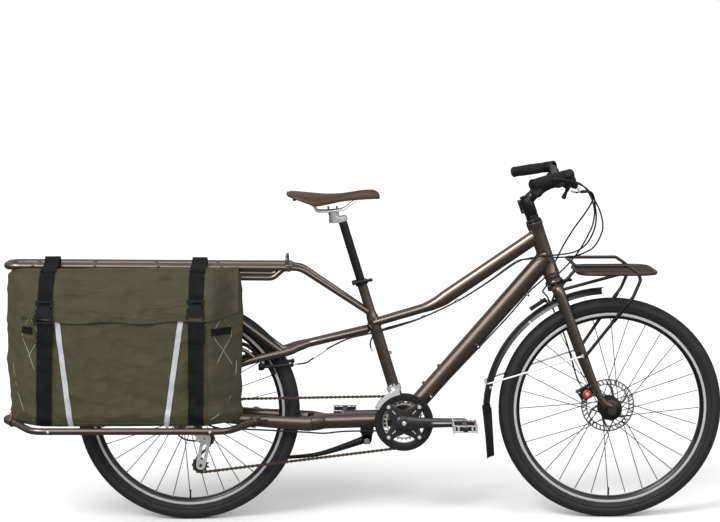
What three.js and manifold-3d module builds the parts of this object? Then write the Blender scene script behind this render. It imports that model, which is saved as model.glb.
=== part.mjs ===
// Longtail cargo bicycle with a front carrier, a long rear carrier and one canvas pannier.
// Millimetres, +X ahead, +Z up, the drive side at -Y. The origin is on the ground under the
// middle of the bicycle's length.
import * as THREE from 'three';
import { mergeVertices } from 'three/addons/utils/BufferGeometryUtils.js';
import Module from 'manifold-3d';

const wasm = await Module();
wasm.setup();

// Driving dimensions
const bikeLength = 2112;
const wheelbase = 1250;
const tyreDiameter = 660;
const tyreWidth = 50;
const rearCentre = 638;
const bracketHeight = 300;
const headAngle = 71;
const seatAngle = 73.2;
const forkRake = 36.5;
const headTubeTop = 884;
const headTubeFoot = 729;
const seatTubeTop = 712;
const saddleHeight = 983;
const barHeight = 1003;
const gripEndSide = 312;
const crankLength = 175;
const carrierTailHeight = 767;
const carrierFrontHeight = 758;

// Fits
const fitGap = 0.3;
const overrun = 2;
const weldDistance = 0.0005;
const weldTolerance = 0.03;

// Places that the driving dimensions set
const wheelRadius = tyreDiameter / 2;
const V = (x, y, z) => new THREE.Vector3(x, y, z);
const sideways = V(0, 1, 0);
const frontAxle = V(bikeLength / 2 - wheelRadius, 0, wheelRadius);
const rearAxle = V(frontAxle.x - wheelbase, 0, wheelRadius);
const bracket = V(rearAxle.x + rearCentre, 0, bracketHeight);
const lean = THREE.MathUtils.degToRad;
const steerUp = V(-Math.cos(lean(headAngle)), 0, Math.sin(lean(headAngle)));
const steerAhead = V(steerUp.z, 0, -steerUp.x);
const steerFoot = frontAxle.clone().addScaledVector(steerAhead, -forkRake);
const seatUp = V(-Math.cos(lean(seatAngle)), 0, Math.sin(lean(seatAngle)));

// A point on the steering axis at a height above the ground
function steerAt(height, ahead = 0, side = 0) {
  const point = steerFoot.clone().addScaledVector(steerUp, (height - steerFoot.z) / steerUp.z);
  return point.addScaledVector(steerAhead, ahead).add(V(0, side, 0));
}

// A point on the seat tube's axis at a height above the ground
function seatAt(height) {
  return bracket.clone().addScaledVector(seatUp, (height - bracketHeight) / seatUp.z);
}

// A point given in shares of the wheel radius: ahead of an axle, to one side, above the ground
function fromAxle(axle, [ahead, side, height], hand = 1) {
  return V(axle.x + ahead * wheelRadius, side * hand * wheelRadius, height * wheelRadius);
}

// Solids
function solidOf(positions, faces) {
  const make = (list) => new wasm.Manifold(new wasm.Mesh({
    numProp: 3,
    vertProperties: Float32Array.from(positions),
    triVerts: Uint32Array.from(list),
  }));
  const first = make(faces);
  if (first.volume() > 0) return first;
  const turned = [];
  for (let i = 0; i < faces.length; i += 3) turned.push(faces[i], faces[i + 2], faces[i + 1]);
  return make(turned);
}

function solid(geometry) {
  const plain = geometry.index ? geometry.toNonIndexed() : geometry;
  plain.deleteAttribute('normal');
  plain.deleteAttribute('uv');
  const welded = mergeVertices(plain, weldDistance);
  const list = welded.index.array;
  const faces = [];
  for (let i = 0; i < list.length; i += 3) {
    const [a, b, c] = [list[i], list[i + 1], list[i + 2]];
    if (a !== b && b !== c && c !== a) faces.push(a, b, c);
  }
  return solidOf(welded.attributes.position.array, faces);
}

const join = (...pieces) => pieces.flat(Infinity).reduce((whole, piece) => whole.add(piece));
const cut = (whole, ...tools) => tools.flat(Infinity).reduce((rest, tool) => rest.subtract(tool), whole);

// A straight round bar from one point to another, with its own radius at each end
function rod(from, to, radius, endRadius = radius, sides = 10) {
  const along = to.clone().sub(from);
  const geometry = new THREE.CylinderGeometry(endRadius, radius, along.length(), sides);
  const turn = new THREE.Quaternion().setFromUnitVectors(sideways, along.clone().normalize());
  geometry.applyQuaternion(turn);
  const middle = from.clone().add(to).multiplyScalar(1 / 2);
  geometry.translate(middle.x, middle.y, middle.z);
  return solid(geometry);
}

// A round bar across the bicycle between two side places
function crossRod(at, fromSide, toSide, radius, sides = 10) {
  return rod(V(at.x, fromSide, at.z), V(at.x, toSide, at.z), radius, radius, sides);
}

// A body of revolution: its closed profile holds [radius, place along the axis]
function turned(profile, at, axis, sides) {
  const points = profile.map(([radius, along]) => new THREE.Vector2(radius, along));
  points.push(points[0].clone());
  const geometry = new THREE.LatheGeometry(points, sides);
  geometry.applyQuaternion(new THREE.Quaternion().setFromUnitVectors(sideways, axis));
  geometry.translate(at.x, at.y, at.z);
  return solid(geometry);
}

// A flat plate in the bicycle's own plane, between two side places
function plate(outline, fromSide, toSide) {
  const shape = new THREE.Shape(outline.map(([x, z]) => new THREE.Vector2(x, z)));
  const depth = Math.abs(toSide - fromSide);
  const geometry = new THREE.ExtrudeGeometry(shape, { depth, bevelEnabled: false });
  geometry.rotateX(Math.PI / 2);
  geometry.translate(0, Math.max(fromSide, toSide), 0);
  return solid(geometry);
}

function block(at, length, width, height, tilt = 0) {
  const geometry = new THREE.BoxGeometry(length, width, height);
  geometry.rotateY(lean(tilt));
  geometry.translate(at.x, at.y, at.z);
  return solid(geometry);
}

// The share of a straight run that one bend may take
const bendReachShare = 0.476;

// Corners rounded into short curves: the points that a bent tube passes through
function rounded(corners, bend, arcSteps = 4) {
  const points = [corners[0]];
  for (let i = 1; i < corners.length - 1; i += 1) {
    const corner = corners[i];
    const back = corners[i - 1].clone().sub(corner);
    const on = corners[i + 1].clone().sub(corner);
    const turn = Math.PI - back.angleTo(on);
    const wanted = bend * Math.tan(turn / 2);
    const reach = Math.min(wanted, back.length() * bendReachShare, on.length() * bendReachShare);
    const start = corner.clone().addScaledVector(back.normalize(), reach);
    const end = corner.clone().addScaledVector(on.normalize(), reach);
    const curve = new THREE.QuadraticBezierCurve3(start, corner, end);
    points.push(...curve.getPoints(arcSteps));
  }
  points.push(corners[corners.length - 1]);
  return points;
}

// A path that passes straight from each of its points to the next
class BentPath extends THREE.Curve {
  constructor(points) {
    super();
    this.points = points;
    this.steps = points.length - 1;
  }

  getPoint(t, target = V(0, 0, 0)) {
    const place = t * this.steps;
    const i = Math.min(Math.floor(place), this.steps - 1);
    return target.lerpVectors(this.points[i], this.points[i + 1], place - i);
  }

  getPointAt(u, target) {
    return this.getPoint(u, target);
  }

  getTangentAt(u, target = V(0, 0, 0)) {
    const i = Math.round(u * this.steps);
    const before = this.points[Math.max(i - 1, 0)];
    const here = this.points[i];
    const after = this.points[Math.min(i + 1, this.steps)];
    const arriving = here.clone().sub(before).normalize();
    return target.copy(after).sub(here).normalize().add(arriving).normalize();
  }

  getSpacedPoints(steps) {
    return this.getPoints(steps);
  }
}

// A round tube of one radius along a list of points
function sweep(points, radius, sides = 10) {
  const circle = new THREE.Shape();
  for (let i = 0; i < sides; i += 1) {
    const angle = (i / sides) * Math.PI * 2;
    const method = i === 0 ? 'moveTo' : 'lineTo';
    circle[method](radius * Math.cos(angle), radius * Math.sin(angle));
  }
  circle.closePath();
  const extrudePath = new BentPath(points);
  const steps = extrudePath.steps;
  return solid(new THREE.ExtrudeGeometry(circle, { steps, extrudePath, bevelEnabled: false }));
}

const pipe = (corners, radius, bend, sides = 10, arcSteps = 4) =>
  sweep(rounded(corners, bend, arcSteps), radius, sides);

// A closed skin over a row of rings that hold the same number of points
function loft(rings, endless = false) {
  const count = rings[0].length;
  const positions = rings.flat().flatMap((point) => [point.x, point.y, point.z]);
  const faces = [];
  const last = endless ? rings.length : rings.length - 1;
  for (let i = 0; i < last; i += 1) {
    const here = i * count;
    const next = ((i + 1) % rings.length) * count;
    for (let j = 0; j < count; j += 1) {
      const k = (j + 1) % count;
      faces.push(here + j, next + j, here + k, here + k, next + j, next + k);
    }
  }
  const end = (rings.length - 1) * count;
  for (let j = 1; j < count - 1 && !endless; j += 1) {
    faces.push(0, j, j + 1, end, end + j + 1, end + j);
  }
  return solidOf(positions, faces);
}

// An oval tube: each station has its place, its half height and its half width
function ovalTube(stations, sides = 12) {
  const rings = stations.map(({ at, tall, wide }, i) => {
    const before = stations[Math.max(i - 1, 0)].at;
    const after = stations[Math.min(i + 1, stations.length - 1)].at;
    const along = after.clone().sub(before).normalize();
    const across = sideways.clone().addScaledVector(along, -sideways.dot(along)).normalize();
    const up = across.clone().cross(along);
    return Array.from({ length: sides }, (_, j) => {
      const angle = (j / sides) * Math.PI * 2;
      return at.clone().addScaledVector(up, tall * Math.cos(angle))
        .addScaledVector(across, wide * Math.sin(angle));
    });
  });
  return loft(rings);
}

// An oval tube whose section grows evenly from one end of a path to the other
function taperedTube(points, tall, wide, endTall, endWide, sides = 12) {
  const share = (i) => i / (points.length - 1);
  return ovalTube(points.map((at, i) => ({
    at,
    tall: tall + (endTall - tall) * share(i),
    wide: wide + (endWide - wide) * share(i),
  })), sides);
}

const bike = new THREE.Group();

// The faces of a solid, without the slivers between points closer than the weld tolerance
function soundFaces({ vertProperties, triVerts }) {
  const point = (i) => new THREE.Vector3().fromArray(vertProperties, i * 3);
  const leader = Array.from({ length: vertProperties.length / 3 }, (_, i) => i);
  const lead = (i) => (leader[i] === i ? i : lead(leader[i]));
  for (let i = 0; i < triVerts.length; i += 1) {
    const next = i % 3 === 2 ? i - 2 : i + 1;
    const [a, b] = [lead(triVerts[i]), lead(triVerts[next])];
    if (a !== b && point(a).distanceTo(point(b)) < weldTolerance) leader[b] = a;
  }
  const faces = new Map();
  for (let i = 0; i < triVerts.length; i += 3) {
    const face = [lead(triVerts[i]), lead(triVerts[i + 1]), lead(triVerts[i + 2])];
    if (new Set(face).size < 3) continue;
    const key = [...face].sort().join();
    if (faces.has(key)) faces.delete(key);
    else faces.set(key, face);
  }
  return [...faces.values()].flat();
}

// One finished piece of the bicycle
function piece(name, whole, [color, roughness, metalness]) {
  const mesh = whole.getMesh();
  const geometry = new THREE.BufferGeometry();
  const positions = new Float32Array(mesh.vertProperties);
  geometry.setAttribute('position', new THREE.BufferAttribute(positions, 3));
  geometry.setIndex(soundFaces(mesh));
  geometry.computeVertexNormals();
  const material = new THREE.MeshStandardMaterial({ color, roughness, metalness });
  const shown = new THREE.Mesh(geometry, material);
  shown.name = name;
  bike.add(shown);
}

// Finishes: colour, roughness, metalness
const bronzePaint = [0x6b5d54, 0.35, 0.7];
const rackPaint = [0x5b4d45, 0.45, 0.5];
const blackMetal = [0x1c1c1d, 0.4, 0.6];
const blackPlastic = [0x202021, 0.55, 0];
const silver = [0xc9c9c6, 0.3, 1];
const steelGrey = [0x8d8a82, 0.35, 1];
const darkGrey = [0x3d3e40, 0.35, 0.8];
const rubber = [0x2b2b2c, 0.8, 0];
const brownLeather = [0x5a2f1d, 0.5, 0];
const oliveCanvas = [0x4d4a35, 0.85, 0];
const webbing = [0x1f2023, 0.8, 0];

// Wheels
const tyreSection = 44;
const rimWidth = 26;
const rimDepth = 18;
const wheelSides = 40;
const spokeCount = 32;
const spokeRadius = 1.1;
const spokeSides = 3;
const spokeCrossings = 2;
const spokeStagger = 1.3;
const spokeStaggerShare = 0.5;
const hubSides = 16;
const axleRadius = 5;
const rimOuterRadius = wheelRadius - tyreSection;
const rimInnerRadius = rimOuterRadius - rimDepth;
// Shares of the section's height and of its half width
const tyreShares = [[0, 0.46], [0.36, 1], [0.72, 0.86], [1, 0.34]];
const rimShares = [[0, 0.55], [0.35, 1], [1, 1]];

// Both halves of a section that is alike left and right
function mirroredSection(shares, base, depth, halfWidth) {
  const half = shares.map(([out, side]) => [base + depth * out, halfWidth * side]);
  return [...half, ...half.map(([radius, side]) => [radius, -side]).reverse()];
}

// Spokes from two flanges to the rim: on each flange every other one leans the other way
function spokes(axle, flangeRadius, flangeSide) {
  const perFlange = spokeCount / 2;
  const headRadius = rimInnerRadius * Math.cos(Math.PI / wheelSides) - 2 * fitGap;
  const around = (place, radius, side) => {
    const angle = (place / perFlange) * Math.PI * 2;
    return V(radius * Math.cos(angle), side, radius * Math.sin(angle)).add(axle);
  };
  return Array.from({ length: spokeCount }, (_, i) => {
    const hand = i < perFlange ? 1 : -1;
    const leanWay = i % 2 === 0 ? 1 : -1;
    const place = i + (hand > 0 ? 0 : spokeStaggerShare);
    const stagger = leanWay * spokeStagger;
    const foot = around(place + 1 / 2, flangeRadius, hand * flangeSide + stagger);
    const head = around(place + 1 / 2 + leanWay * spokeCrossings, headRadius, stagger);
    return rod(foot, head, spokeRadius, spokeRadius, spokeSides);
  });
}

function wheel(prefix, axle) {
  const tyreBase = rimOuterRadius + fitGap * 2;
  const tyreProfile = mirroredSection(tyreShares, tyreBase, wheelRadius - tyreBase, tyreWidth / 2);
  const rimProfile = mirroredSection(rimShares, rimInnerRadius, rimDepth, rimWidth / 2);
  piece(`${prefix}_tyre`, turned(tyreProfile, axle, sideways, wheelSides), rubber);
  piece(`${prefix}_rim`, turned(rimProfile, axle, sideways, wheelSides), blackMetal);
}

wheel('front', frontAxle);
wheel('rear', rearAxle);

// Front hub, a wide drum between the fork ends, with the brake disc on the left
const frontOverLocknuts = 100;
const frontFlangeSide = 24;
const frontFlangeWidth = 5;
const frontFlangeRadius = 34;
const frontDrumRadius = 29;
const frontEndRadius = 13;
const frontEndSide = 40;
const discRadius = 80;
const discInnerRadius = 62;
const discThickness = 1.8;
const discSide = 39.5;
const discSeatRadius = 20;
const discArmWidth = 8;
const discArmCount = 6;
const frontHubProfile = [
  [axleRadius + fitGap, -frontOverLocknuts / 2 + fitGap],
  [frontEndRadius, -frontOverLocknuts / 2 + fitGap],
  [frontEndRadius, -frontEndSide],
  [frontFlangeRadius, -frontFlangeSide - frontFlangeWidth / 2],
  [frontFlangeRadius, -frontFlangeSide + frontFlangeWidth / 2],
  [frontDrumRadius, -frontFlangeSide + frontFlangeWidth],
  [frontDrumRadius, frontFlangeSide - frontFlangeWidth],
  [frontFlangeRadius, frontFlangeSide - frontFlangeWidth / 2],
  [frontFlangeRadius, frontFlangeSide + frontFlangeWidth / 2],
  [discSeatRadius, discSide - discThickness / 2 - fitGap],
  [frontEndRadius, discSide - discThickness / 2 - fitGap],
  [frontEndRadius, frontOverLocknuts / 2 - fitGap],
  [axleRadius + fitGap, frontOverLocknuts / 2 - fitGap],
];
piece('front_hub', join(
  turned(frontHubProfile, frontAxle, sideways, hubSides),
  spokes(frontAxle, frontFlangeRadius - frontFlangeWidth / 2, frontFlangeSide),
), blackMetal);

function flatRing(inner, outer, middle, thickness) {
  const half = thickness / 2;
  return [[inner, middle - half], [outer, middle - half], [outer, middle + half],
    [inner, middle + half]];
}

const discPieces = [
  turned(flatRing(discInnerRadius, discRadius, discSide, discThickness), frontAxle, sideways, 24),
  turned(flatRing(frontEndRadius + fitGap, discSeatRadius, discSide, discThickness),
    frontAxle, sideways, hubSides),
];
for (let i = 0; i < discArmCount; i += 1) {
  const angle = (i / discArmCount) * Math.PI * 2;
  const reach = (discInnerRadius + discSeatRadius) / 2;
  const at = frontAxle.clone().add(V(reach * Math.cos(angle), discSide, reach * Math.sin(angle)));
  const length = discInnerRadius - discSeatRadius + discArmWidth;
  const tilt = -THREE.MathUtils.radToDeg(angle);
  discPieces.push(block(at, length, discThickness, discArmWidth, tilt));
}
piece('front_brake_disc', join(discPieces), silver);

const axleNutRadius = 9;
const axleNutWidth = 8;
const forkEndThickness = 6;
const frontNutSide = frontOverLocknuts / 2 + forkEndThickness + fitGap;
piece('front_axle', join(
  crossRod(frontAxle, -frontNutSide - axleNutWidth, frontNutSide + axleNutWidth, axleRadius),
  crossRod(frontAxle, -frontNutSide - axleNutWidth, -frontNutSide, axleNutRadius, 6),
  crossRod(frontAxle, frontNutSide, frontNutSide + axleNutWidth, axleNutRadius, 6),
), steelGrey);

// Rear hub with the driver that carries the sprockets on the right
const rearOverLocknuts = 135;
const rearFlangeRadius = 24;
const rearFlangeSide = 30;
const rearBarrelRadius = 17;
const driverRadius = 16;
const driverBore = driverRadius + 2 * fitGap;
const driverSide = 61;
const rearEndRadius = 10;
const rearHubProfile = [
  [axleRadius + fitGap, -rearOverLocknuts / 2 + fitGap],
  [rearEndRadius, -rearOverLocknuts / 2 + fitGap],
  [rearEndRadius, -driverSide],
  [driverRadius, -driverSide],
  [driverRadius, -rearFlangeSide - frontFlangeWidth],
  [rearFlangeRadius, -rearFlangeSide - frontFlangeWidth],
  [rearFlangeRadius, -rearFlangeSide],
  [rearBarrelRadius, -rearFlangeSide + frontFlangeWidth],
  [rearBarrelRadius, rearFlangeSide - frontFlangeWidth],
  [rearFlangeRadius, rearFlangeSide],
  [rearFlangeRadius, rearFlangeSide + frontFlangeWidth],
  [rearEndRadius, rearFlangeSide + frontFlangeWidth + rearFlangeRadius / 2],
  [rearEndRadius, rearOverLocknuts / 2 - fitGap],
  [axleRadius + fitGap, rearOverLocknuts / 2 - fitGap],
];
const spokeInset = 3;
piece('rear_hub', join(
  turned(rearHubProfile, rearAxle, sideways, hubSides),
  spokes(rearAxle, rearFlangeRadius - spokeInset, rearFlangeSide + frontFlangeWidth / 2),
), blackMetal);

const dropoutThickness = 6;
const rearNutSide = rearOverLocknuts / 2 + dropoutThickness + fitGap * 2;
piece('rear_axle', join(
  crossRod(rearAxle, -rearNutSide - axleNutWidth, rearNutSide + axleNutWidth, axleRadius),
  crossRod(rearAxle, -rearNutSide - axleNutWidth, -rearNutSide, axleNutRadius, 6),
  crossRod(rearAxle, rearNutSide, rearNutSide + axleNutWidth, axleNutRadius, 6),
), steelGrey);

// Transmission
const chainPitch = 12.7;
const chainSide = -48;
const chainWidth = 6;
const chainHeight = 8;
const chainStep = 0.35;
const ringTeeth = 38;
const sprocketTeeth = 19;
const jockeyTeeth = 11;
const sprocketPitch = 4.8;
const sprocketThickness = 1.8;
const sprocketTeethRow = [32, 25, 19, 16, 13];
const sprocketStart = -2;
// Shares of the wheel radius from the rear axle and the ground
const guideJockeyShares = [0.164, 0, 0.77];
const tensionJockeyShares = [0.112, 0, 0.524];
const pitchRadius = (teeth) => (teeth * chainPitch) / (2 * Math.PI);
const seatRadius = (teeth) =>
  (pitchRadius(teeth) - chainHeight / 2) * Math.cos(chainStep / 2) - fitGap;
const guideJockey = fromAxle(rearAxle, guideJockeyShares);
const tensionJockey = fromAxle(rearAxle, tensionJockeyShares);

// The line that a chain takes round circles that it wraps one way or the other
function chainLine(circles, stepAngle) {
  const points = [];
  const tangents = circles.map((from, i) => {
    const to = circles[(i + 1) % circles.length];
    const gap = Math.hypot(to.x - from.x, to.z - from.z);
    const heading = Math.atan2(to.z - from.z, to.x - from.x);
    const swing = Math.asin((from.way * from.radius - to.way * to.radius) / gap);
    const angle = heading + swing;
    const touch = (circle) => angle - circle.way * (Math.PI / 2);
    return { leave: touch(from), arrive: touch(to) };
  });
  circles.forEach((circle, i) => {
    const start = tangents[(i + circles.length - 1) % circles.length].arrive;
    let turn = (tangents[i].leave - start) * circle.way;
    while (turn < 0) turn += Math.PI * 2;
    while (turn > Math.PI * 2) turn -= Math.PI * 2;
    const steps = Math.max(1, Math.ceil(turn / stepAngle));
    for (let k = 0; k <= steps; k += 1) {
      const angle = start + (turn * k * circle.way) / steps;
      const out = V(Math.cos(angle), 0, Math.sin(angle));
      const reach = circle.radius;
      const at = V(circle.x + out.x * reach, chainSide, circle.z + out.z * reach);
      points.push({ at, out: out.multiplyScalar(circle.way) });
    }
  });
  return points;
}

const chainCircle = (at, teeth, way) => ({ x: at.x, z: at.z, radius: pitchRadius(teeth), way });
const chainStations = chainLine([
  chainCircle(bracket, ringTeeth, 1),
  chainCircle(rearAxle, sprocketTeeth, 1),
  chainCircle(guideJockey, jockeyTeeth, -1),
  chainCircle(tensionJockey, jockeyTeeth, 1),
], chainStep);
piece('chain', loft(chainStations.map(({ at, out }) => [[1, 1], [-1, 1], [-1, -1], [1, -1]].map(
  ([high, wide]) => at.clone().addScaledVector(out, (high * chainHeight) / 2)
    .add(V(0, (wide * chainWidth) / 2, 0)),
)), true), steelGrey);

const sprockets = sprocketTeethRow.map((teeth, i) => {
  const side = chainSide - sprocketPitch * (i + sprocketStart);
  return turned(flatRing(driverBore, seatRadius(teeth), side, sprocketThickness),
    rearAxle, sideways, hubSides);
});
const spacerRadius = driverBore + 2 * fitGap + sprocketThickness;
const spacerEnds = [sprocketStart, sprocketStart + sprocketTeethRow.length - 1].map(
  (i) => chainSide - sprocketPitch * i,
);
const spacer = turned([
  [driverBore, spacerEnds[1]], [spacerRadius, spacerEnds[1]],
  [spacerRadius, spacerEnds[0]], [driverBore, spacerEnds[0]],
], rearAxle, sideways, hubSides);
piece('cassette', join(sprockets, spacer), steelGrey);

const jockeyWidth = 5;
const jockeyBore = 3;
for (const [name, at] of [['guide_jockey', guideJockey], ['tension_jockey', tensionJockey]]) {
  const profile = flatRing(jockeyBore + fitGap, seatRadius(jockeyTeeth), chainSide, jockeyWidth);
  piece(name, turned(profile, at, sideways, 16), blackPlastic);
}

// Rear derailleur: its cage holds the jockeys, its body hangs from the right dropout
const cagePlateThickness = 2;
const cagePlateRadius = 13;
const cageInnerSide = chainSide + chainWidth;
const cageOuterSide = chainSide - chainWidth;
const strip = (from, to, radius, side, thickness) => {
  const along = to.clone().sub(from).normalize();
  const across = V(-along.z, 0, along.x).multiplyScalar(radius);
  const corner = (at, hand) => [at.x + across.x * hand, at.z + across.z * hand];
  return join(
    plate([corner(from, 1), corner(to, 1), corner(to, -1), corner(from, -1)],
      side - thickness / 2, side + thickness / 2),
    crossRod(from, side - thickness / 2, side + thickness / 2, radius, 16),
    crossRod(to, side - thickness / 2, side + thickness / 2, radius, 16),
  );
};
const cageSides = [cageInnerSide, cageOuterSide];
piece('derailleur_cage', join(
  cageSides.map((side) => strip(guideJockey, tensionJockey, cagePlateRadius, side,
    cagePlateThickness)),
  [guideJockey, tensionJockey].map((at) => crossRod(at, cageInnerSide, cageOuterSide, jockeyBore)),
), silver);

// Shares of the wheel radius from the rear axle and the ground
const hangerShares = [0.03, 0, 0.9];
const hanger = fromAxle(rearAxle, hangerShares);
const hangerEyeRadius = 11;
const derailleurKnuckleRadius = 12;
const derailleurKnuckleWidth = 16;
const derailleurLinkRadius = 9;
const dropoutSide = rearOverLocknuts / 2 + fitGap;
const derailleurSide = -dropoutSide - dropoutThickness - fitGap - derailleurKnuckleWidth / 2;
const cageFaceSide = cageOuterSide - cagePlateThickness / 2 - fitGap;
const derailleurLinkSide = derailleurSide - derailleurKnuckleWidth / 4;
const knuckleLow = guideJockey;
piece('rear_derailleur', join(
  crossRod(hanger, derailleurSide - derailleurKnuckleWidth / 2,
    derailleurSide + derailleurKnuckleWidth / 2, derailleurKnuckleRadius, 16),
  rod(V(hanger.x, derailleurLinkSide, hanger.z), V(knuckleLow.x, derailleurLinkSide, knuckleLow.z),
    derailleurLinkRadius, derailleurLinkRadius, 8),
  crossRod(knuckleLow, derailleurSide, cageFaceSide, derailleurKnuckleRadius, 16),
), silver);

// Cranks, chainrings and guard
const spindleRadius = 8;
const bracketShellWidth = 73;
const bracketShellRadius = 21;
const guardRadius = 87;
const guardInnerRadius = 70;
const guardThickness = 4;
const guardSide = chainSide - chainWidth / 2 - guardThickness / 2 - fitGap * 4;
const ringInnerRadius = 60;
const ringThickness = 3;
const smallRingTeeth = 28;
const smallRingSide = chainSide + sprocketPitch + ringThickness;
const spiderThickness = 5;
const spiderArmCount = 4;
const spiderArmWidth = 16;
const spiderHubRadius = 20;
const crankArmThickness = 14;
const crankArmRootRadius = 18;
const crankArmTipRadius = 13;
const pedalAxleRadius = 5;
const spiderSide = guardSide - guardThickness / 2 - spiderThickness / 2 - fitGap;
const rightArmSide = spiderSide - spiderThickness / 2 - crankArmThickness / 2;
const leftArmSide = -rightArmSide;
const rightPedal = V(bracket.x + crankLength, 0, bracket.z);
const leftPedal = V(bracket.x - crankLength, 0, bracket.z);
const pedalLength = 92;
const pedalGap = 3;

// Arms that reach from near a centre to a ring, each a flat bar
function ringArms(at, inner, outer, side, thickness, count, width, turn = 0) {
  return Array.from({ length: count }, (_, i) => {
    const angle = ((i + turn) / count) * Math.PI * 2;
    const reach = (inner + outer) / 2;
    const middle = V(at.x + reach * Math.cos(angle), side, at.z + reach * Math.sin(angle));
    const tilt = -THREE.MathUtils.radToDeg(angle);
    return block(middle, outer - inner, thickness, width, tilt);
  });
}

// A crank arm, wide at its root and narrower at the pedal
function crankArm(pedal, side) {
  const half = crankArmThickness / 2;
  const toward = Math.sign(pedal.x - bracket.x);
  return join(
    crossRod(bracket, side - half, side + half, crankArmRootRadius, 18),
    crossRod(pedal, side - half, side + half, crankArmTipRadius, 14),
    plate([
      [bracket.x, bracket.z + toward * crankArmRootRadius],
      [pedal.x, pedal.z + toward * crankArmTipRadius],
      [pedal.x, pedal.z - toward * crankArmTipRadius],
      [bracket.x, bracket.z - toward * crankArmRootRadius],
    ], side - half, side + half),
    crossRod(pedal, side, side + Math.sign(side) * (pedalLength + pedalGap + half),
      pedalAxleRadius),
  );
}

const spindleReach = -rightArmSide;
const spindle = crossRod(bracket, -spindleReach, spindleReach, spindleRadius, 16);
const spindleBore = crossRod(bracket, -spindleReach - overrun, spindleReach + overrun,
  spindleRadius + fitGap, 16);
const spiderReach = (guardRadius + guardInnerRadius) / 2;
piece('crank_right', cut(join(
  crankArm(rightPedal, rightArmSide),
  crossRod(bracket, spiderSide - spiderThickness / 2, spiderSide + spiderThickness / 2,
    spiderHubRadius, 18),
  ringArms(bracket, 0, spiderReach, spiderSide, spiderThickness, spiderArmCount, spiderArmWidth,
    1 / 2),
), spindleBore), darkGrey);
piece('crank_left', join(crankArm(leftPedal, leftArmSide), spindle), darkGrey);
piece('chain_guard', turned(flatRing(guardInnerRadius, guardRadius, guardSide, guardThickness),
  bracket, sideways, 32), blackPlastic);

const ringBoltRadius = 4;
const ringBolts = Array.from({ length: spiderArmCount }, (_, i) => {
  const angle = ((i + 1 / 2) / spiderArmCount) * Math.PI * 2;
  const reach = ringInnerRadius + ringBoltRadius;
  const at = V(bracket.x + reach * Math.cos(angle), 0, bracket.z + reach * Math.sin(angle));
  return crossRod(at, smallRingSide, spiderSide + spiderThickness / 2 + fitGap, ringBoltRadius, 6);
});
const smallRingInner = seatRadius(smallRingTeeth) - ringBoltRadius * 2;
const smallRingReach = ringInnerRadius + ringBoltRadius * 2;
piece('chainrings', join(
  turned(flatRing(ringInnerRadius, seatRadius(ringTeeth), chainSide, ringThickness), bracket,
    sideways, 28),
  turned(flatRing(smallRingInner, smallRingReach, smallRingSide, ringThickness), bracket,
    sideways, 24),
  ringBolts,
), silver);

// Pedals: a barrel, two side plates and two end plates round each axle
const pedalWidth = 70;
const pedalHeight = 26;
const pedalPlateThickness = 3;
const pedalBarrelRadius = 10;
const pedalTreadHeight = 14;
function pedal(name, at, armSide) {
  const hand = Math.sign(armSide);
  const inner = armSide + hand * (crankArmThickness / 2 + pedalGap);
  const outer = inner + hand * pedalLength;
  const middle = (inner + outer) / 2;
  const bars = [-1, 1].map((end) => block(
    V(at.x + end * (pedalWidth / 2 - pedalPlateThickness / 2), middle, at.z),
    pedalPlateThickness, pedalLength, pedalHeight,
  ));
  const ends = [inner, outer].map((side, i) => block(
    V(at.x, side + hand * (i === 0 ? 1 : -1) * (pedalPlateThickness / 2), at.z),
    pedalWidth, pedalPlateThickness, pedalTreadHeight,
  ));
  const bore = crossRod(at, inner - hand * overrun, outer - hand * pedalPlateThickness,
    pedalAxleRadius + fitGap);
  const barrel = crossRod(at, inner, outer, pedalBarrelRadius);
  const axleEnd = crossRod(at, inner - hand * overrun, outer + hand * overrun,
    pedalAxleRadius + fitGap);
  piece(name, cut(join(bars, ends, barrel), bore, axleEnd), silver);
}
pedal('pedal_right', rightPedal, rightArmSide);
pedal('pedal_left', leftPedal, leftArmSide);

// Main frame: head tube, top tube, down tube, seat tube, bracket shell and lower tube
const headTubeRadius = 23;
const headBoreRadius = 17;
const topTubeHeadHeight = 846;
const topTubeHeadTall = 21.5;
const topTubeHeadWide = 18;
const topTubeSeatHeight = 589;
const topTubeSeatTall = 13;
const topTubeSeatWide = 20;
const topTubeBendAhead = 92;
const topTubeBendHeight = 641;
const topTubeBendRadius = 240;
const downTubeHeadHeight = 779;
const downTubeRadius = 27.5;
const downTubeFootRadius = 25;
const seatTubeRadius = 17.5;
const seatTubeTopRadius = 14.6;
const seatTubeTaperHeight = 604;
const seatTubeNeckHeight = 620;
const seatBoreHeight = 440;
const seatpostRadius = 12.7;
const lowerTubeRadius = 23;
const lowerTubeDrop = 6;
const lowerTubeLength = 228;
const bossRadius = 4;
const bossHeight = 3;
// Shares of the down tube's length, from the bracket
const bossShares = [0.19, 0.297];

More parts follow.
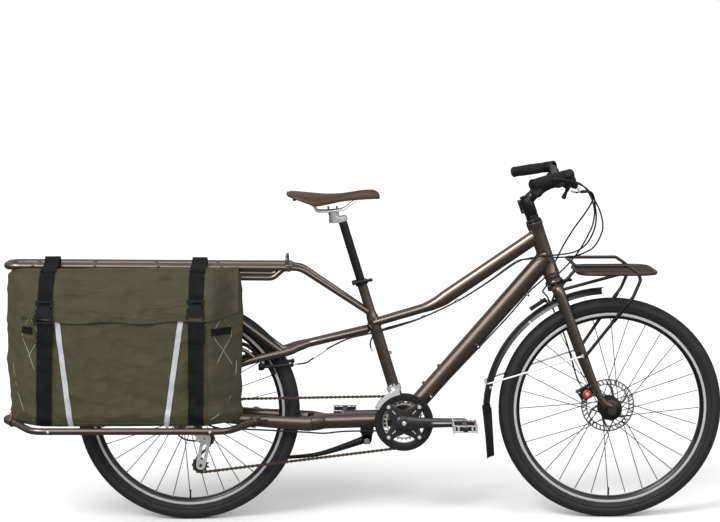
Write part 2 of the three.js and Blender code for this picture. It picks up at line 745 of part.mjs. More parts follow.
const topTubeLine = rounded([
  steerAt(topTubeHeadHeight),
  V(bracket.x + topTubeBendAhead, 0, topTubeBendHeight),
  seatAt(topTubeSeatHeight),
], topTubeBendRadius, 4);
const lowerTubeEnd = V(bracket.x - lowerTubeLength, 0, bracket.z - lowerTubeDrop);
const headTube = rod(steerAt(headTubeFoot), steerAt(headTubeTop), headTubeRadius, headTubeRadius,
  16);
const downTubeTop = steerAt(downTubeHeadHeight);
const downTubeWay = downTubeTop.clone().sub(bracket);
const downTubeUp = V(-downTubeWay.z, 0, downTubeWay.x).normalize();
const bottleBosses = bossShares.map((share) => {
  const at = bracket.clone().addScaledVector(downTubeWay, share);
  return rod(at, at.clone().addScaledVector(downTubeUp, downTubeRadius + bossHeight), bossRadius,
    bossRadius, 6);
});
const seatBoreFoot = seatAt(seatBoreHeight);
const seatTubeStations = [
  [bracketHeight, seatTubeRadius], [seatTubeTaperHeight, seatTubeRadius],
  [seatTubeNeckHeight, seatTubeTopRadius], [seatTubeTop, seatTubeTopRadius],
].map(([height, radius]) => ({ at: seatAt(height), tall: radius, wide: radius }));
piece('main_frame', cut(join(
  headTube,
  taperedTube(topTubeLine, topTubeHeadTall, topTubeHeadWide, topTubeSeatTall, topTubeSeatWide, 12),
  rod(bracket, downTubeTop, downTubeFootRadius, downTubeRadius, 14),
  ovalTube(seatTubeStations, 16),
  crossRod(bracket, -bracketShellWidth / 2, bracketShellWidth / 2, bracketShellRadius, 18),
  rod(bracket, lowerTubeEnd, lowerTubeRadius, lowerTubeRadius, 16),
  bottleBosses,
),
rod(steerAt(headTubeFoot - overrun), steerAt(headTubeTop + overrun), headBoreRadius,
  headBoreRadius, 14),
rod(seatBoreFoot, seatAt(seatTubeTop + overrun), seatpostRadius + fitGap, seatpostRadius + fitGap,
  16),
spindleBore), bronzePaint);

// Lower stays: a yoke behind the lower tube that parts round the wheel, with the dropouts
// Shares of the wheel radius: ahead of the rear axle, to the side, above the ground
const lowerStayShares = [
  [1.2, 0.07, 0.891], [1.1, 0.135, 0.894], [1.03, 0.155, 0.897], [0.6, 0.17, 0.93],
  [0.28, 0.222, 0.965], [0.07, 0.236, 0.99],
];
const lowerStayTall = [22, 22, 21, 17, 12, 9];
const lowerStayWide = [12, 13, 13, 12, 9, 8];
const lowerYokeReach = 34;
const lowerYokeWide = 46;
const lowerYokeTall = 22.5;
const dropoutRadius = 17;
const dropoutTongue = 34;
const dropoutTongueWidth = 12;
const loaderRadius = 10;
const socketRadius = 14;
const socketLength = 40;
const socketSides = 10;
const loaderSide = 225;
// Shares of the wheel radius: ahead of the rear axle, above the ground
const frontSocketShares = [0.627, 0.205, 0.932];
const loaderFrontShares = [0.39, 0.682, 0.935];
const loaderRearShares = [-1.3, 0.682, 0.942];
const rearSocketShares = [-1.568, 0.29, 0.972];
const frontSocket = fromAxle(rearAxle, frontSocketShares, -1);
const loaderFront = fromAxle(rearAxle, loaderFrontShares, -1).setY(-loaderSide);
const loaderRear = fromAxle(rearAxle, loaderRearShares, -1).setY(-loaderSide);
const rearSocket = fromAxle(rearAxle, rearSocketShares, -1);
const mirrored = (point, hand) => V(point.x, -point.y * hand, point.z);

// A round socket that points at the next bend of the loader, on one side of the bicycle
function socket(at, toward, hand) {
  const way = toward.clone().sub(at).normalize();
  const start = mirrored(at, hand);
  const end = mirrored(at.clone().addScaledVector(way, socketLength), hand);
  const boreRadius = loaderRadius / Math.cos(Math.PI / socketSides) + fitGap;
  const rest = mirrored(at.clone().addScaledVector(way, loaderRadius), hand);
  return {
    shell: rod(start, end, socketRadius, socketRadius, socketSides),
    bore: rod(rest, mirrored(at.clone().addScaledVector(way, socketLength + overrun), hand),
      boreRadius, boreRadius, socketSides),
  };
}

function stayLine(shares, tall, wide, hand) {
  return ovalTube(shares.map((share, i) => ({
    at: fromAxle(rearAxle, share, hand), tall: tall[i], wide: wide[i],
  })), 10);
}

const bothHands = [-1, 1];
const frontSockets = bothHands.map((hand) => socket(frontSocket, loaderFront, hand));
const dropouts = bothHands.map((hand) => {
  const inner = hand * dropoutSide;
  const outer = hand * (dropoutSide + dropoutThickness);
  const eye = crossRod(rearAxle, inner, outer, dropoutRadius, 16);
  const tongue = plate([
    [rearAxle.x, rearAxle.z + dropoutTongueWidth],
    [rearAxle.x + dropoutTongue, rearAxle.z],
    [rearAxle.x + dropoutTongue, rearAxle.z - dropoutTongueWidth],
    [rearAxle.x, rearAxle.z - dropoutTongueWidth],
  ], inner, outer);
  const hangerArm = strip(rearAxle, hanger, hangerEyeRadius, (inner + outer) / 2,
    dropoutThickness);
  return hand < 0 ? join(eye, tongue, hangerArm) : join(eye, tongue);
});
const rearAxleBore = crossRod(rearAxle, -rearNutSide, rearNutSide, axleRadius + fitGap);
const cassetteRoom = crossRod(rearAxle, -dropoutSide, dropoutSide, pitchRadius(sprocketTeethRow[0]),
  24);
const lowerTubeWay = lowerTubeEnd.clone().sub(bracket).normalize();
const yokeFront = lowerTubeEnd.clone().addScaledVector(lowerTubeWay, fitGap);
const yokeBack = yokeFront.clone().addScaledVector(lowerTubeWay, lowerYokeReach);
piece('lower_stays', cut(join(
  taperedTube([yokeFront, yokeBack], lowerTubeRadius, lowerTubeRadius, lowerYokeTall,
    lowerYokeWide, 14),
  bothHands.map((hand) => stayLine(lowerStayShares, lowerStayTall, lowerStayWide, hand)),
  dropouts,
  frontSockets.map(({ shell }) => shell),
), rearAxleBore, cassetteRoom, frontSockets.map(({ bore }) => bore)), bronzePaint);

// Upper stays: the middle tube from the seat tube, its yoke, the stays and the carrier's struts
const middleTubeTall = 13;
const middleTubeWide = 20;
const middleTubeHeight = 576;
// Shares of the wheel radius: ahead of the rear axle, to the side, above the ground
const middleTubeEndShares = [1.076, 0, 1.602];
const upperStayShares = [
  [1.076, 0.022, 1.602], [0.97, 0.075, 1.57], [0.88, 0.118, 1.537], [0.497, 0.158, 1.445],
  [0.27, 0.195, 1.31], [0.01, 0.227, 1.075],
];
const upperStayTall = [13, 14, 12.5, 10.5, 9.5, 8.5];
const upperStayWide = [13, 12, 10.5, 10, 9, 8];
const strutFootShares = [0.845, 0.12, 1.54];
const strutHeadShares = [-0.03, 0.167, 2.21];
const strutRadius = 8;
const braceRadius = 6;
const braceBend = 55;
const braceShares = [
  [0.633, 0.15, 1.47], [0.48, 0.158, 1.6], [0.25, 0.185, 1.5], [0.06, 0.225, 1.15],
];
const tailStrutFootShares = [-0.005, 0.227, 1.08];
const tailStrutHeadShares = [-0.86, 0.167, 2.3];
const brakeStudShares = [0.664, 0.12, 1.406];
const brakeArmEndShares = [0.942, 0.12, 1.424];
const brakeStudRadius = 4;
const brakeStudTop = 24;
const brakeStudFoot = 10;
const brakeBossRadius = 7;
const brakeEyeHalf = 7;
const railRadius = 11;
const railSide = 55;
const railFrontAhead = 303;
const railBendRadius = 44;
const hangRailRadius = 8;
const hangRailDrop = 29;
const hangRailSide = 58;
const carrierStayRadius = 8;
const carrierStaySeatHeight = 622;
const tailReach = bikeLength / 2;
const railFront = V(rearAxle.x + railFrontAhead, railSide, carrierFrontHeight);
const railTail = V(-tailReach + railRadius, railSide, carrierTailHeight);
const railHeight = (x) => carrierFrontHeight
  + (carrierTailHeight - carrierFrontHeight) * (railFront.x - x) / (railFront.x - railTail.x);
const railLine = rounded([
  V(railFront.x, -railSide, railFront.z), V(railTail.x, -railSide, railTail.z),
  V(railTail.x, railSide, railTail.z), V(railFront.x, railSide, railFront.z),
], railBendRadius, 3);
const onRail = (x, side) => V(x, side, railHeight(x));
const onHangingRail = (x, hand) => V(x, hand * hangRailSide, railHeight(x) - hangRailDrop);
const railRoom = bothHands.map((hand) => rod(onHangingRail(railFront.x, hand),
  onHangingRail(railTail.x, hand), hangRailRadius + fitGap * 2, hangRailRadius + fitGap * 2));
const seatTubeRoom = rod(bracket, seatAt(seatTubeNeckHeight), seatTubeRadius + fitGap,
  seatTubeRadius + fitGap, 16);

// The strut from a stay up to the carrier, the bowed brace and the tail strut on one side
function carrierStruts(hand) {
  const at = (shares) => fromAxle(rearAxle, shares, hand);
  const strutHead = onHangingRail(at(strutHeadShares).x, hand);
  const tailHead = onHangingRail(at(tailStrutHeadShares).x, hand);
  return [
    rod(at(strutFootShares), strutHead, strutRadius, strutRadius, 8),
    pipe(braceShares.map(at), braceRadius, braceBend, 6, 3),
    rod(at(tailStrutFootShares), tailHead, strutRadius, strutRadius, 8),
  ];
}

// A brake arm's stud hangs from a boss under its stay, square to the arm
const brakeStudPlace = fromAxle(rearAxle, brakeStudShares);
const brakeArmEnd = fromAxle(rearAxle, brakeArmEndShares);
const brakeOut = brakeArmEnd.clone().sub(brakeStudPlace).normalize();
const brakeAxis = V(brakeOut.z, 0, -brakeOut.x);
const alongStud = (at, reach) => at.clone().addScaledVector(brakeAxis, reach);
function brakeStud(hand) {
  const at = fromAxle(rearAxle, brakeStudShares, hand);
  return [
    rod(alongStud(at, -brakeStudTop), alongStud(at, brakeStudFoot), brakeStudRadius),
    rod(alongStud(at, -brakeStudTop), alongStud(at, -brakeEyeHalf - fitGap),
      brakeBossRadius),
  ];
}

const middleTubeStart = seatAt(middleTubeHeight);
const middleTubeEnd = fromAxle(rearAxle, middleTubeEndShares);
const dropoutClearance = bothHands.map((hand) => crossRod(rearAxle, hand * (dropoutSide - fitGap),
  hand * (dropoutSide + dropoutThickness + fitGap), dropoutRadius + fitGap, 16));
piece('upper_stays', cut(join(
  taperedTube([middleTubeStart, middleTubeEnd], middleTubeTall, middleTubeWide, middleTubeTall,
    middleTubeWide, 14),
  bothHands.map((hand) => stayLine(upperStayShares, upperStayTall, upperStayWide, hand)),
  bothHands.map(carrierStruts),
  bothHands.map(brakeStud),
), seatTubeRoom, railRoom, dropoutClearance), bronzePaint);

// Rear carrier: rails, cross bars, hanging rails, front stays, a small hoop and the tail legs
const crossBarRadius = 7;
const crossBarShares = [0.26, 0.48, 0.7, 0.9];
const hoopRadius = 4;
const hoopRise = 32;
const hoopBack = 6;
const hoopSide = 46;
const stayBendBack = 36;
const stayBendDrop = 4;
const stayBendRadius = 150;
const stayBendSide = 44;
const staySeatSide = 13;
const tailLegBack = 44;
const tailLegRadius = 9;
const tailLegSide = 62;
const tailLegKneeRise = 56;
const hangFrontBack = 12;
const hangBendBack = 46;
const hangTailAhead = 52;
const hangTailBend = 90;
const hangBendRadius = 30;
const collarBand = 14;

function carrierSide(hand) {
  const hangFront = V(railFront.x - hangFrontBack, hand * railSide, railFront.z);
  const hangTail = V(railTail.x + hangTailAhead, hand * railSide, railHeight(railTail.x));
  const kneeX = railTail.x + tailLegBack;
  const socketFoot = mirrored(rearSocket, -hand);
  return [
    pipe([
      V(railFront.x, hand * (railSide - railRadius / 2), railFront.z),
      V(railFront.x + stayBendBack, hand * stayBendSide, railFront.z - stayBendDrop),
      V(seatAt(carrierStaySeatHeight).x, hand * staySeatSide, carrierStaySeatHeight),
    ], carrierStayRadius, stayBendRadius, 8, 2),
    pipe([
      hangFront,
      V(railFront.x - hangBendBack, hand * hangRailSide, railFront.z - hangRailDrop),
      V(railTail.x + hangTailBend, hand * hangRailSide, railHeight(railTail.x) - hangRailDrop),
      hangTail,
    ], hangRailRadius, hangBendRadius, 8, 2),
    pipe([
      onRail(kneeX, hand * railSide),
      V(kneeX, hand * tailLegSide, socketFoot.z + tailLegKneeRise),
      V(socketFoot.x, socketFoot.y, socketFoot.z),
    ], tailLegRadius, tailLegBack, 8, 2),
  ];
}

const crossBars = crossBarShares.map((share) => {
  const at = onRail(railFront.x + (railTail.x - railFront.x) * share, 0);
  return crossRod(at, -railSide, railSide, crossBarRadius, 6);
});
const hoop = pipe([
  V(railFront.x - hoopBack, -hoopSide, railFront.z),
  V(railFront.x - hoopBack, -hoopSide, railFront.z + hoopRise),
  V(railFront.x - hoopBack, hoopSide, railFront.z + hoopRise),
  V(railFront.x - hoopBack, hoopSide, railFront.z),
], hoopRadius, hoopRise / 2, 6, 2);
const rearSockets = bothHands.map((hand) => socket(rearSocket, loaderRear, hand));
const tailCross = crossRod(rearSocket, rearSocket.y, -rearSocket.y, tailLegRadius, 10);
const seatTubeTopRoom = rod(seatAt(seatTubeNeckHeight - seatTubeTopRadius), seatAt(seatTubeTop),
  seatTubeRadius + fitGap, seatTubeRadius + fitGap, 16);
piece('rear_carrier', cut(join(
  sweep(railLine, railRadius, 8),
  crossRod(railFront, -railSide, railSide, railRadius, 8),
  bothHands.map(carrierSide),
  crossBars,
  hoop,
  rearSockets.map(({ shell }) => shell),
  tailCross,
), seatTubeTopRoom, seatTubeRoom, rearSockets.map(({ bore }) => bore)), bronzePaint);

// Side loader: one bent tube plugged into the two right-hand sockets
const loaderBend = 60;
const loaderWay = (at, toward) => toward.clone().sub(at).normalize();
const plugged = (at, toward) => at.clone()
  .addScaledVector(loaderWay(at, toward), loaderRadius + fitGap * 2);
piece('side_loader', pipe([
  plugged(frontSocket, loaderFront), loaderFront, loaderRear, plugged(rearSocket, loaderRear),
], loaderRadius, loaderBend, socketSides, 4), bronzePaint);

// Headset: the two bearing stacks at the ends of the head tube
const steererRadius = 14.3;
const upperStackHeight = 22;
const upperStackTopRadius = 17;
const upperStackLip = 7;
const lowerStackHeight = 27;
const lowerStackRadius = 26.5;
const lowerStackLip = 17;
const stackBore = steererRadius + fitGap;
piece('headset_upper', turned([
  [stackBore, fitGap], [headTubeRadius, fitGap], [headTubeRadius, upperStackLip],
  [upperStackTopRadius, upperStackHeight], [stackBore, upperStackHeight],
], steerAt(headTubeTop), steerUp, 16), blackMetal);
piece('headset_lower', turned([
  [stackBore, -fitGap], [headTubeRadius, -fitGap], [headTubeRadius, -lowerStackLip],
  [lowerStackRadius, -lowerStackLip], [lowerStackRadius, -lowerStackHeight],
  [stackBore, -lowerStackHeight],
], steerAt(headTubeFoot), steerUp, 16), bronzePaint);

// Seat collar with its quick lever, the seatpost, the saddle's wire and the saddle
const collarRadius = 19;
const collarRise = 3;
const collarEarBack = 21;
const collarEarWidth = 16;
const collarEarLength = 14;
const collarBoltRadius = 3;
const leverLength = 58;
const leverThickness = 5;
const leverHeight = 11;
const leverTilt = 11;
const leverGap = 1;
const collarMiddle = seatAt(seatTubeTop + collarRise - collarBand / 2);
const collarFoot = collarMiddle.clone().addScaledVector(seatUp, -collarBand / 2);
const collarHead = collarMiddle.clone().addScaledVector(seatUp, collarBand / 2);
const collarBolt = collarMiddle.clone().add(V(-collarEarBack, 0, 0));
const postRoom = rod(seatAt(bracketHeight + rearCentre / 2), seatAt(saddleHeight),
  seatpostRadius + fitGap, seatpostRadius + fitGap, 14);
const neckRoom = rod(seatAt(seatTubeNeckHeight), seatAt(seatTubeTop), seatTubeTopRadius + fitGap,
  seatTubeTopRadius + fitGap, 16);
piece('seat_collar', cut(join(
  rod(collarFoot, collarHead, collarRadius, collarRadius, 14),
  block(collarBolt, collarEarLength, collarEarWidth, collarBand - fitGap),
  crossRod(collarBolt, fitGap - collarRadius - leverGap, collarRadius, collarBoltRadius, 8),
), postRoom, neckRoom), blackMetal);

const leverSide = -collarRadius - leverGap - leverThickness / 2;
piece('seat_collar_lever', block(
  V(collarBolt.x + (leverLength - leverThickness) / 2, leverSide, collarBolt.z + leverGap),
  leverLength, leverThickness, leverHeight, -leverTilt,
), blackMetal);

const seatpostFootHeight = 600;
const seatpostHeadHeight = 905;
const postClampLength = 38;
const postClampWidth = 54;
const postClampHeight = 47;
const postClampRise = 9;
const postClampBack = 22;
const saddleWireRadius = 3.5;
const saddleWireBend = 17.5;
// Shares of the saddle's length ahead of its tail, of its half width, and of its depth below
// its top
const saddleWireShares = [[0.295, 0.27, 0.264], [0.33, 0.27, 0.56], [0.6, 0.24, 0.47],
  [0.73, 0.12, 0.36], [0.95, 0.08, 0.354]];
const saddleLength = 270;
const saddleHalfWidth = 82;
const saddleDepth = 92;
const saddleTail = V(-224.5, 0, saddleHeight);
const saddlePlace = ([ahead, side, below], hand = 1) => V(
  saddleTail.x + ahead * saddleLength, side * hand * saddleHalfWidth,
  saddleTail.z - below * saddleDepth,
);
const saddleWireHalf = (hand) => saddleWireShares.map((share) => saddlePlace(share, hand));
const saddleWire = rounded([...saddleWireHalf(1), ...saddleWireHalf(-1).reverse()],
  saddleWireBend, 2);
const wireRoom = bothHands.map((hand) => pipe(saddleWireHalf(hand), saddleWireRadius + fitGap * 2,
  saddleWireBend, 6, 2));
const postHead = seatAt(seatpostHeadHeight);
const postClamp = postHead.clone().add(V(-postClampBack, 0, postClampRise));
piece('seatpost', cut(join(
  rod(seatAt(seatpostFootHeight), postHead, seatpostRadius, seatpostRadius, 14),
  block(postClamp, postClampLength, postClampWidth, postClampHeight),
), wireRoom), blackMetal);
piece('saddle_wire', sweep(saddleWire, saddleWireRadius, 6), steelGrey);

// Rows of shares: ahead of the tail, half width, top, bottom of the skirt, bottom at the middle
const saddleShares = [
  [0, 0.5, 0.1, 0.17, 0.15], [0.03, 0.78, 0.055, 0.2, 0.18], [0.12, 0.98, 0.065, 0.29, 0.24],
  [0.28, 1, 0.1, 0.46, 0.22], [0.42, 0.74, 0.127, 0.45, 0.25], [0.56, 0.43, 0.115, 0.38, 0.27],
  [0.75, 0.27, 0.04, 0.35, 0.3], [0.92, 0.22, 0.02, 0.34, 0.31], [0.98, 0.17, 0.09, 0.34, 0.32],
  [1, 0.1, 0.195, 0.32, 0.3],
];
// Shares of the half width, and of the way from the top down to the skirt's foot
const saddleRimShares = [[0, 0], [0.45, 0.03], [0.78, 0.17], [0.97, 0.5], [1, 1]];
const saddleUnderShare = 0.88;
piece('saddle', loft(saddleShares.map(([ahead, side, top, skirt, under]) => {
  const half = saddleRimShares.map(([out, down]) => [side * out, top + (skirt - top) * down]);
  const inside = [side * saddleUnderShare, skirt];
  const right = [...half, inside, [side * saddleUnderShare * saddleUnderShare, under]];
  const left = right.slice(1).reverse().map(([out, down]) => [-out, down]);
  return [...right, ...left].map(([out, down]) => saddlePlace([ahead, out, down]));
})), brownLeather);

// Fork: steerer, crown, two curved blades and their ends
const forkBladeShares = [
  [2.09, 0.01, 0.106], [2, 0.012, 0.125], [1.5, 0.024, 0.1515], [1.112, 0.016, 0.17],
  [1.03, 0.08, 0.166],
];
const forkBladeRadii = [15.5, 15.5, 14, 10, 8];
const crownRadius = 15;
const crownHeight = 686;
const forkEndRadius = 13;
const forkSides = 10;
const bladeStations = (hand, room = 0) => forkBladeShares.map(([height, ahead, side], i) => ({
  at: steerAt(height * wheelRadius, ahead * wheelRadius, side * hand * wheelRadius),
  tall: forkBladeRadii[i] + room,
  wide: forkBladeRadii[i] + room,
}));
const crownAt = steerAt(crownHeight);
const crownReach = forkBladeShares[0][2] * wheelRadius;
const forkEndSide = frontOverLocknuts / 2 + fitGap;
const bladeRoom = bothHands.map((hand) => ovalTube(bladeStations(hand, fitGap), forkSides));
const crownRoom = crossRod(crownAt, -crownReach, crownReach, crownRadius + fitGap, forkSides);
const stemTopHeight = 957;
piece('fork', cut(join(
  rod(crownAt, steerAt(stemTopHeight), steererRadius, steererRadius, 14),
  crossRod(crownAt, -crownReach, crownReach, crownRadius, forkSides),
  bothHands.map((hand) => ovalTube(bladeStations(hand), forkSides)),
  bothHands.map((hand) => strip(frontAxle, bladeStations(hand)[4].at, forkEndRadius,
    hand * (forkEndSide + forkEndThickness / 2), forkEndThickness)),
), crossRod(frontAxle, -frontNutSide, frontNutSide, axleRadius + fitGap),
crossRod(frontAxle, -forkEndSide, forkEndSide, frontFlangeRadius)), bronzePaint);

// Front mudguard: a channel over the wheel, with a flap below it and a tab to the crown
const guardCentreAhead = -9;
const guardCentreRise = -6;
const channelRadius = 367;
const channelDepth = 22;
const channelWidth = 58;
const channelWall = 2;
const channelSteps = 16;
const channelTurn = 90.5;
const flapLength = 132;
const flapTilt = 3;
const tabTurn = 116;
const tabThickness = 4;
const channelCentre = frontAxle.clone().add(V(guardCentreAhead, 0, guardCentreRise));
const channelPoint = (angle, radius) => channelCentre.clone()
  .add(V(radius * Math.cos(angle), 0, radius * Math.sin(angle)));
const channelSection = (() => {
  const half = channelWidth / 2;
  const inner = half - channelWall;
  const top = -channelWall / 2;
  const corner = channelDepth / 3;
  return [
    [half, channelDepth], [half, corner], [half - corner, top], [corner - half, top],
    [-half, corner], [-half, channelDepth], [-inner, channelDepth], [-inner, corner],
    [corner - inner, top + channelWall], [inner - corner, top + channelWall], [inner, corner],
    [inner, channelDepth],
  ];
})();
const channelRings = Array.from({ length: channelSteps + 1 }, (_, i) => {
  const angle = Math.PI / 2 + lean(channelTurn) * (i / channelSteps);
  return channelSection.map(([side, depth]) =>
    channelPoint(angle, channelRadius - depth).setY(side));
});

// A closed skin over rings whose flat ends may be hollow in outline
function channelSkin(rings) {
  const count = rings[0].length;
  const flat = channelSection.map(([side, depth]) => new THREE.Vector2(side, depth));
  const cap = THREE.ShapeUtils.triangulateShape(flat, []);
  const end = (rings.length - 1) * count;
  const faces = cap.flatMap(([a, b, c]) => [a, b, c, end + a, end + c, end + b]);
  for (let i = 0; i < rings.length - 1; i += 1) {
    for (let j = 0; j < count; j += 1) {
      const k = (j + 1) % count;
      const [a, b] = [i * count + j, i * count + k];
      faces.push(a, b, a + count, b, b + count, a + count);
    }
  }
  return solidOf(rings.flat().flatMap((point) => [point.x, point.y, point.z]), faces);
}

const flapTop = channelPoint(Math.PI, channelRadius - channelWall);
const tabFoot = channelPoint(lean(tabTurn), channelRadius - channelWall);
piece('front_mudguard', cut(join(
  channelSkin(channelRings),
  block(flapTop.clone().add(V(flapTilt, 0, -flapLength / 2)), channelWall, channelWidth,
    flapLength, flapTilt),
  rod(tabFoot, crownAt, tabThickness, tabThickness, 8),
), crownRoom, bladeRoom), blackPlastic);

// Mudguard wire: one bow from fork blade to fork blade behind the mudguard
const guardWireRadius = 2.5;
const guardWireHeight = 408;
const guardWireSide = 42;
const guardWireBackAngle = Math.PI - Math.asin((guardWireHeight - channelCentre.z) / channelRadius);
const guardWireBack = channelPoint(guardWireBackAngle, channelRadius + guardWireRadius + fitGap * 3);
const bladeMiddle = bladeStations(1)[2];
const wireSide = bladeMiddle.at.y + bladeMiddle.tall + guardWireRadius + fitGap;
piece('mudguard_wire', pipe([
  V(bladeMiddle.at.x, -wireSide, bladeMiddle.at.z),
  V(guardWireBack.x, -guardWireSide, guardWireBack.z),
  V(guardWireBack.x, guardWireSide, guardWireBack.z),
  V(bladeMiddle.at.x, wireSide, bladeMiddle.at.z),
], guardWireRadius, guardWireSide / 2, 8, 3), silver);

// Front carrier on the fork: a rounded frame, slats, two hoops with legs and a crown strut
const trayHeight = 742;
const trayBack = 619;
const trayFront = 846;
const traySide = 122;
const trayRadius = 5;
const trayBend = 62;
const slatWidth = 14;
const slatThickness = 4;
const slatShares = [-0.72, -0.36, 0, 0.36, 0.72];
const trayHoopRise = 25;
const trayHoopBack = -8;
// Shares of the tray's length from its back, and of the wheel radius below its plane
const trayLegShares = [[0.6, -0.076], [0.735, -0.012], [0.76, 0.024], [0.62, 0.145]];
const legFootRise = 21;
const legFootAhead = 6;
const legBend = 20;
const trayLength = trayFront - trayBack;
const crownFront = steerAt(crownHeight - crownRadius / 2, crownRadius);
const legFoot = bladeStations(1)[2].at.clone().add(V(legFootAhead, 0, legFootRise));
const trayLeg = (hand) => pipe([
  V(trayBack + trayHoopBack, hand * traySide, trayHeight + trayHoopRise),
  ...trayLegShares.map(([ahead, below]) => V(trayBack + ahead * trayLength, hand * traySide,
    trayHeight - below * wheelRadius)),
  V(legFoot.x, hand * legFoot.y, legFoot.z),
], trayRadius, legBend, 6, 2);
const hoopStand = (hand) => rod(V(trayBack, hand * traySide, trayHeight),
  V(trayBack, hand * traySide, trayHeight + trayHoopRise), trayRadius, trayRadius, 6);
const trayFrame = rounded([
  V(trayBack, -traySide, trayHeight), V(trayFront, -traySide, trayHeight),
  V(trayFront, traySide, trayHeight), V(trayBack, traySide, trayHeight),
], trayBend, 3);
piece('front_carrier', cut(join(
  sweep(trayFrame, trayRadius, 6),
  crossRod(V(trayBack, 0, trayHeight), -traySide, traySide, trayRadius, 6),
  slatShares.map((share) => block(V(trayBack + trayLength / 2, share * traySide, trayHeight),
    trayLength - trayRadius, slatWidth, slatThickness)),
  bothHands.map(trayLeg),
  bothHands.map(hoopStand),
  rod(V(trayBack, 0, trayHeight), crownFront, trayRadius, trayRadius, 6),
), bladeRoom, crownRoom), rackPaint);

// Cockpit: an angle-adjusted stem, the swept bar, grips, brake levers and shifters
const barRadius = 11.1;
const stemClampRadius = 19;
const stemFootHeight = headTubeTop + upperStackHeight * steerUp.z + fitGap;
const stemPivotAhead = 37;
const stemPivotHeight = 974.5;
const stemPivotRadius = 18.7;
const stemPivotHalf = 19;
const stemArmRadius = 13;
const barClampRadius = 19;
const barClampHalf = 25;
const barReach = 103;
const stemPivot = steerAt(stemPivotHeight - stemPivotAhead * steerAhead.z, stemPivotAhead);
const barCentre = steerAt(barHeight - barReach * steerAhead.z, barReach);
// Shares of the grip end's distance from the middle: ahead of the bar clamp, side, rise
const barShares = [[-0.324, 1, 0.03], [0.022, 0.72, 0.1], [0.006, 0.17, 0]];
const barPlace = ([ahead, side, rise], hand) => barCentre.clone()
  .add(V(ahead, side * hand, rise).multiplyScalar(gripEndSide));
const barHalf = (hand) => barShares.map((share) => barPlace(share, hand));
const barBend = 60;
const barLine = (radius) => pipe([...barHalf(-1), ...barHalf(1).reverse()], radius, barBend, 10, 3);
const stemMiddle = steerAt((stemFootHeight + stemTopHeight) / 2);
piece('handlebar', barLine(barRadius), blackMetal);
piece('stem', cut(join(
  rod(steerAt(stemFootHeight), steerAt(stemTopHeight + fitGap), stemClampRadius, stemClampRadius,
    14),
  rod(stemMiddle, stemPivot, stemArmRadius, stemPivotRadius, 10),
  crossRod(stemPivot, -stemPivotHalf, stemPivotHalf, stemPivotRadius, 16),
  rod(stemPivot, barCentre, stemPivotRadius, stemArmRadius, 10),
  crossRod(barCentre, -barClampHalf, barClampHalf, barClampRadius, 14),
), barLine(barRadius + fitGap),
rod(crownAt, steerAt(stemTopHeight + stemPivotRadius), steererRadius + fitGap,
  steererRadius + fitGap, 14)), blackMetal);

const gripRadius = 16;
const gripLength = 116;
const gripOverhang = 4;
const hoodAlong = 146;
const hoodLength = 30;
const hoodRadius = 16;
const hoodNeckRadius = 12.8;
const hoodBodyRadius = 12;
const brakeLeverRadius = 5;
const brakeLeverTipRadius = 4;
const paddleLength = 30;
const paddleRadius = 5;
const paddleRise = 3.4;
// Shares of the grip end's side place: ahead of the bar clamp, side, rise
const leverPivotShares = [0.09, 0.705, 0.0];
const leverTipShares = [-0.13, 0.96, 0.075];
const paddlePivotShares = [0.015, 0.63, -0.05];
const paddleTipShares = [-0.02, 0.7, -0.105];
const barSpan = (hand) => {
  const [end, bend] = barHalf(hand);
  const inward = bend.clone().sub(end).normalize();
  return { end, inward };
};
for (const [sideName, hand] of [['right', -1], ['left', 1]]) {
  const { end, inward } = barSpan(hand);
  const alongBar = (distance) => end.clone().addScaledVector(inward, distance);
  const [, bend, root] = barHalf(hand);
  const inner = root.clone().sub(bend).normalize();
  const hoodStart = bend.clone().addScaledVector(inner, hoodAlong - gripLength);
  const hoodEnd = hoodStart.clone().addScaledVector(inner, hoodLength);
  const leverPivot = barPlace(leverPivotShares, hand);
  const leverTip = barPlace(leverTipShares, hand);
  const paddlePivot = barPlace(paddlePivotShares, hand);
  const paddleTip = barPlace(paddleTipShares, hand);
  const leverRoot = leverPivot.clone().addScaledVector(leverTip.clone().sub(leverPivot)
    .normalize(), hoodBodyRadius);
  const paddleWay = paddleTip.clone().sub(paddlePivot).normalize();
  const paddleRoot = paddlePivot.clone().addScaledVector(paddleWay, paddleRise);
  const barRoom = barLine(barRadius + fitGap);
  piece(`grip_${sideName}`, cut(rod(alongBar(-gripOverhang), alongBar(gripLength), gripRadius,
    gripRadius, 12), barRoom), rubber);
  piece(`brake_hood_${sideName}`, cut(join(
    rod(hoodStart, hoodEnd, hoodRadius, hoodRadius, 10),
    rod(hoodStart.clone().lerp(hoodEnd, 1 / 2), leverPivot, hoodNeckRadius, hoodBodyRadius, 8),
    rod(hoodEnd.clone().lerp(hoodStart, 1 / 4), paddlePivot, hoodNeckRadius, hoodBodyRadius, 8),
  ), barRoom), blackPlastic);
  piece(`brake_lever_${sideName}`, rod(leverRoot, leverTip, brakeLeverRadius,
    brakeLeverTipRadius, 8), darkGrey);
  piece(`shift_paddle_${sideName}`, rod(paddleRoot,
    paddlePivot.clone().addScaledVector(paddleWay, hoodBodyRadius + paddleLength), paddleRadius,
    paddleRadius, 8), blackPlastic);
}

// Front brake: a caliper that straddles the disc, on the left fork blade
const caliperLength = 44;
const caliperHeight = 40;
const caliperInnerSide = 28;
const caliperOuterSide = 54;
const caliperSlotGap = 1;
const caliperTilt = 30;
